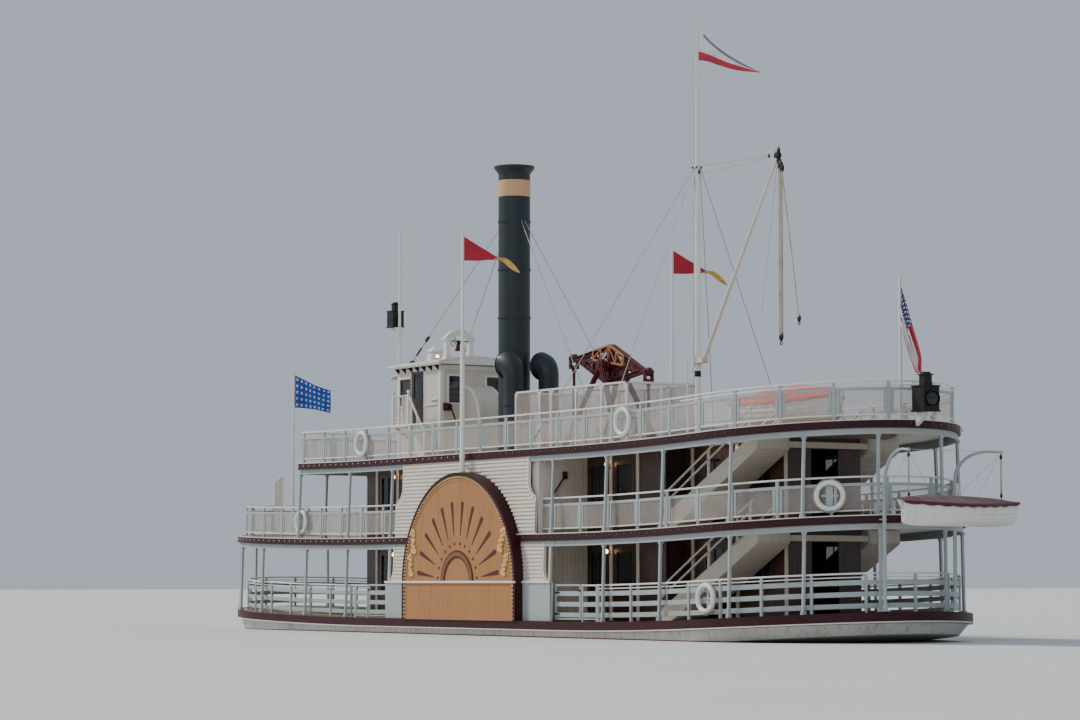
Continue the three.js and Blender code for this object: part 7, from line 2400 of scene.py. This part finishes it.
def build_stairs():
    """Boards under the flights, closed stringers, treads, and handrails in pairs."""
    foot, head, near, far, steps, rise = (STAIR[key]
                                          for key in ("foot", "head", "near", "far", "steps", "rise"))
    joinery = Piece("stair_joinery", CREAM, "white_boards")
    treads = Piece("stair_treads", DECKING, "deck_planks")
    run = foot - head
    for base, node in ((MAIN_Z, "main_stairs"), (SECOND_Z, "second_stairs")):
        finish_node(node, CREAM)
        low = base + sheer(foot - 0.5) + 0.004

        def on_slope(x, y, up):
            return x, y, low + rise * (foot - x) / run + up

        start, end = Vector((foot - 0.5, low - 0.006)), Vector((head, low + rise - 0.346))
        stringer = [(foot - 0.5, low), (foot + 0.06, low), (foot + 0.06, low + 0.3),
                    (head, low + rise + 0.12),
                    (head, low + rise - 0.36)]
        for sign in (1, -1):
            for i in range(SOFFIT_BOARDS):
                p, q = (start.lerp(end, (i + share) / SOFFIT_BOARDS) for share in (0.04, 0.96))
                outline = [(p.x, p.y - 0.014), (q.x, q.y - 0.014), (q.x, q.y + 0.01), (p.x, p.y + 0.01)]
                if p.y - 0.014 > low + 0.05:
                    joinery.add(plate(outline, sign, near - 0.01, far + 0.01))
            joinery.add(*[plate(stringer, sign, y - 0.015, y + 0.015) for y in (near - 0.015, far + 0.015)])
            for y in (sign * (near + 0.03), sign * (far - 0.03)):
                for up in (0.95, 0.68):
                    joinery.add(stick(on_slope(foot + 0.1, y, up), on_slope(head + 0.3, y, up), 0.05))
                for share in (0.0, 0.5, 0.92):
                    x = foot + 0.05 - run * share
                    joinery.add(block(x, y, 0.03, 0.025, on_slope(x, y, 0.05)[2], on_slope(x, y, 0.96)[2]))
            for i in range(steps):
                x1, x0 = (foot - run * k / steps for k in (i, i + 1))
                z = low + (i + 1) * rise / steps
                treads.add(sided_box(sign, x0, x1 + 0.03, near + 0.01, far - 0.01, z + 0.001, z + 0.022))
    joinery.build(bevel=0.004)
    treads.build(bevel=0.004)


def build_bow_board():
    """A tall white board with a slanted top, on the second deck's rail at the bow."""
    board = Piece("bow_rail_board", WHITE, "white_boards")
    low = SECOND_Z + sheer(17.4)
    outline = [(0.34, low + 0.1), (0.7, low + 0.1), (0.7, low + 1.9), (0.34, low + 2.14)]
    board.add(prism(outline, "x", 17.34, 17.385))
    board.add(*[box((17.32, 0.34, low + up), (17.34, 0.7, low + up + 0.1)) for up in (0.85, 0.3)])
    board.build(bevel=0.004)


RAILS = [
    ("second_rail_aft", SECOND_PLAN, SECOND_RAIL_IN, SECOND_Z, [("aft", SECOND_WALL[0] - 0.03, -5.7)]),
    ("second_rail_fore", SECOND_PLAN, SECOND_RAIL_IN, SECOND_Z, [("fore", SECOND_WALL[1] + 0.03, 4.4)]),
]


def build_bulkhead_lever():
    lever = Piece("bulkhead_lever", RED_IRON, "maroon_paint")
    for sign in (1, -1):
        x, y, z = -5.15, sign * 2.65, 5.86
        lever.add(box((x - 0.03, y - 0.08, z - 0.12), (x, y + 0.08, z + 0.1)))
        tip = (x - 0.1, y + sign * 0.51, z - 0.64)
        lever.add(stick((x - 0.06, y, z), tip, 0.05, 0.035), ball((x - 0.06, y, z), 0.055, 5, 8),
                  ball(tip, 0.04, 5, 8))
    lever.build(bevel=0.004)


def build_ship():
    build_hull()
    build_guard()
    build_decks()
    for row in RAILS:
        build_mesh_rail(*row)
    top_runs = [("aft", 0.0, -0.31), ("fore", 0.0, 1.12)]
    build_mesh_rail("top_rail", TOP_PLAN, TOP_RAIL_IN, TOP_Z, top_runs, wall_posts=False, second_bar=-12.3)
    build_board_rail("fore", "main_rail_fore")
    build_board_rail("aft", "main_rail_aft")
    for build in (
        build_gates, build_life_rings, build_side_walls, build_pennant_poles, build_paddle_boxes,
        build_wheels,
        build_deckhouses, build_funnel, build_cowls, build_screen, build_walking_beam, build_rods,
        build_beam_frame, build_pilot_walls, build_landing, build_pilot_roof, build_bell,
        build_steering_wheel,
        build_door, build_foremast,
    ):
        build()
    staff("jackstaff", 17.25, SECOND_Z, 10.15, 17.5)
    staff("ensign_staff", -17.4, TOP_Z, 10.8, -17.91)
    for build in (
        build_main_mast, build_boom, build_boats, build_davits, build_stern_lantern, build_flags,
        build_stairs,
        build_bow_board, build_bulkhead_lever,
    ):
        build()


make_camera()
make_stage()
build_ship()
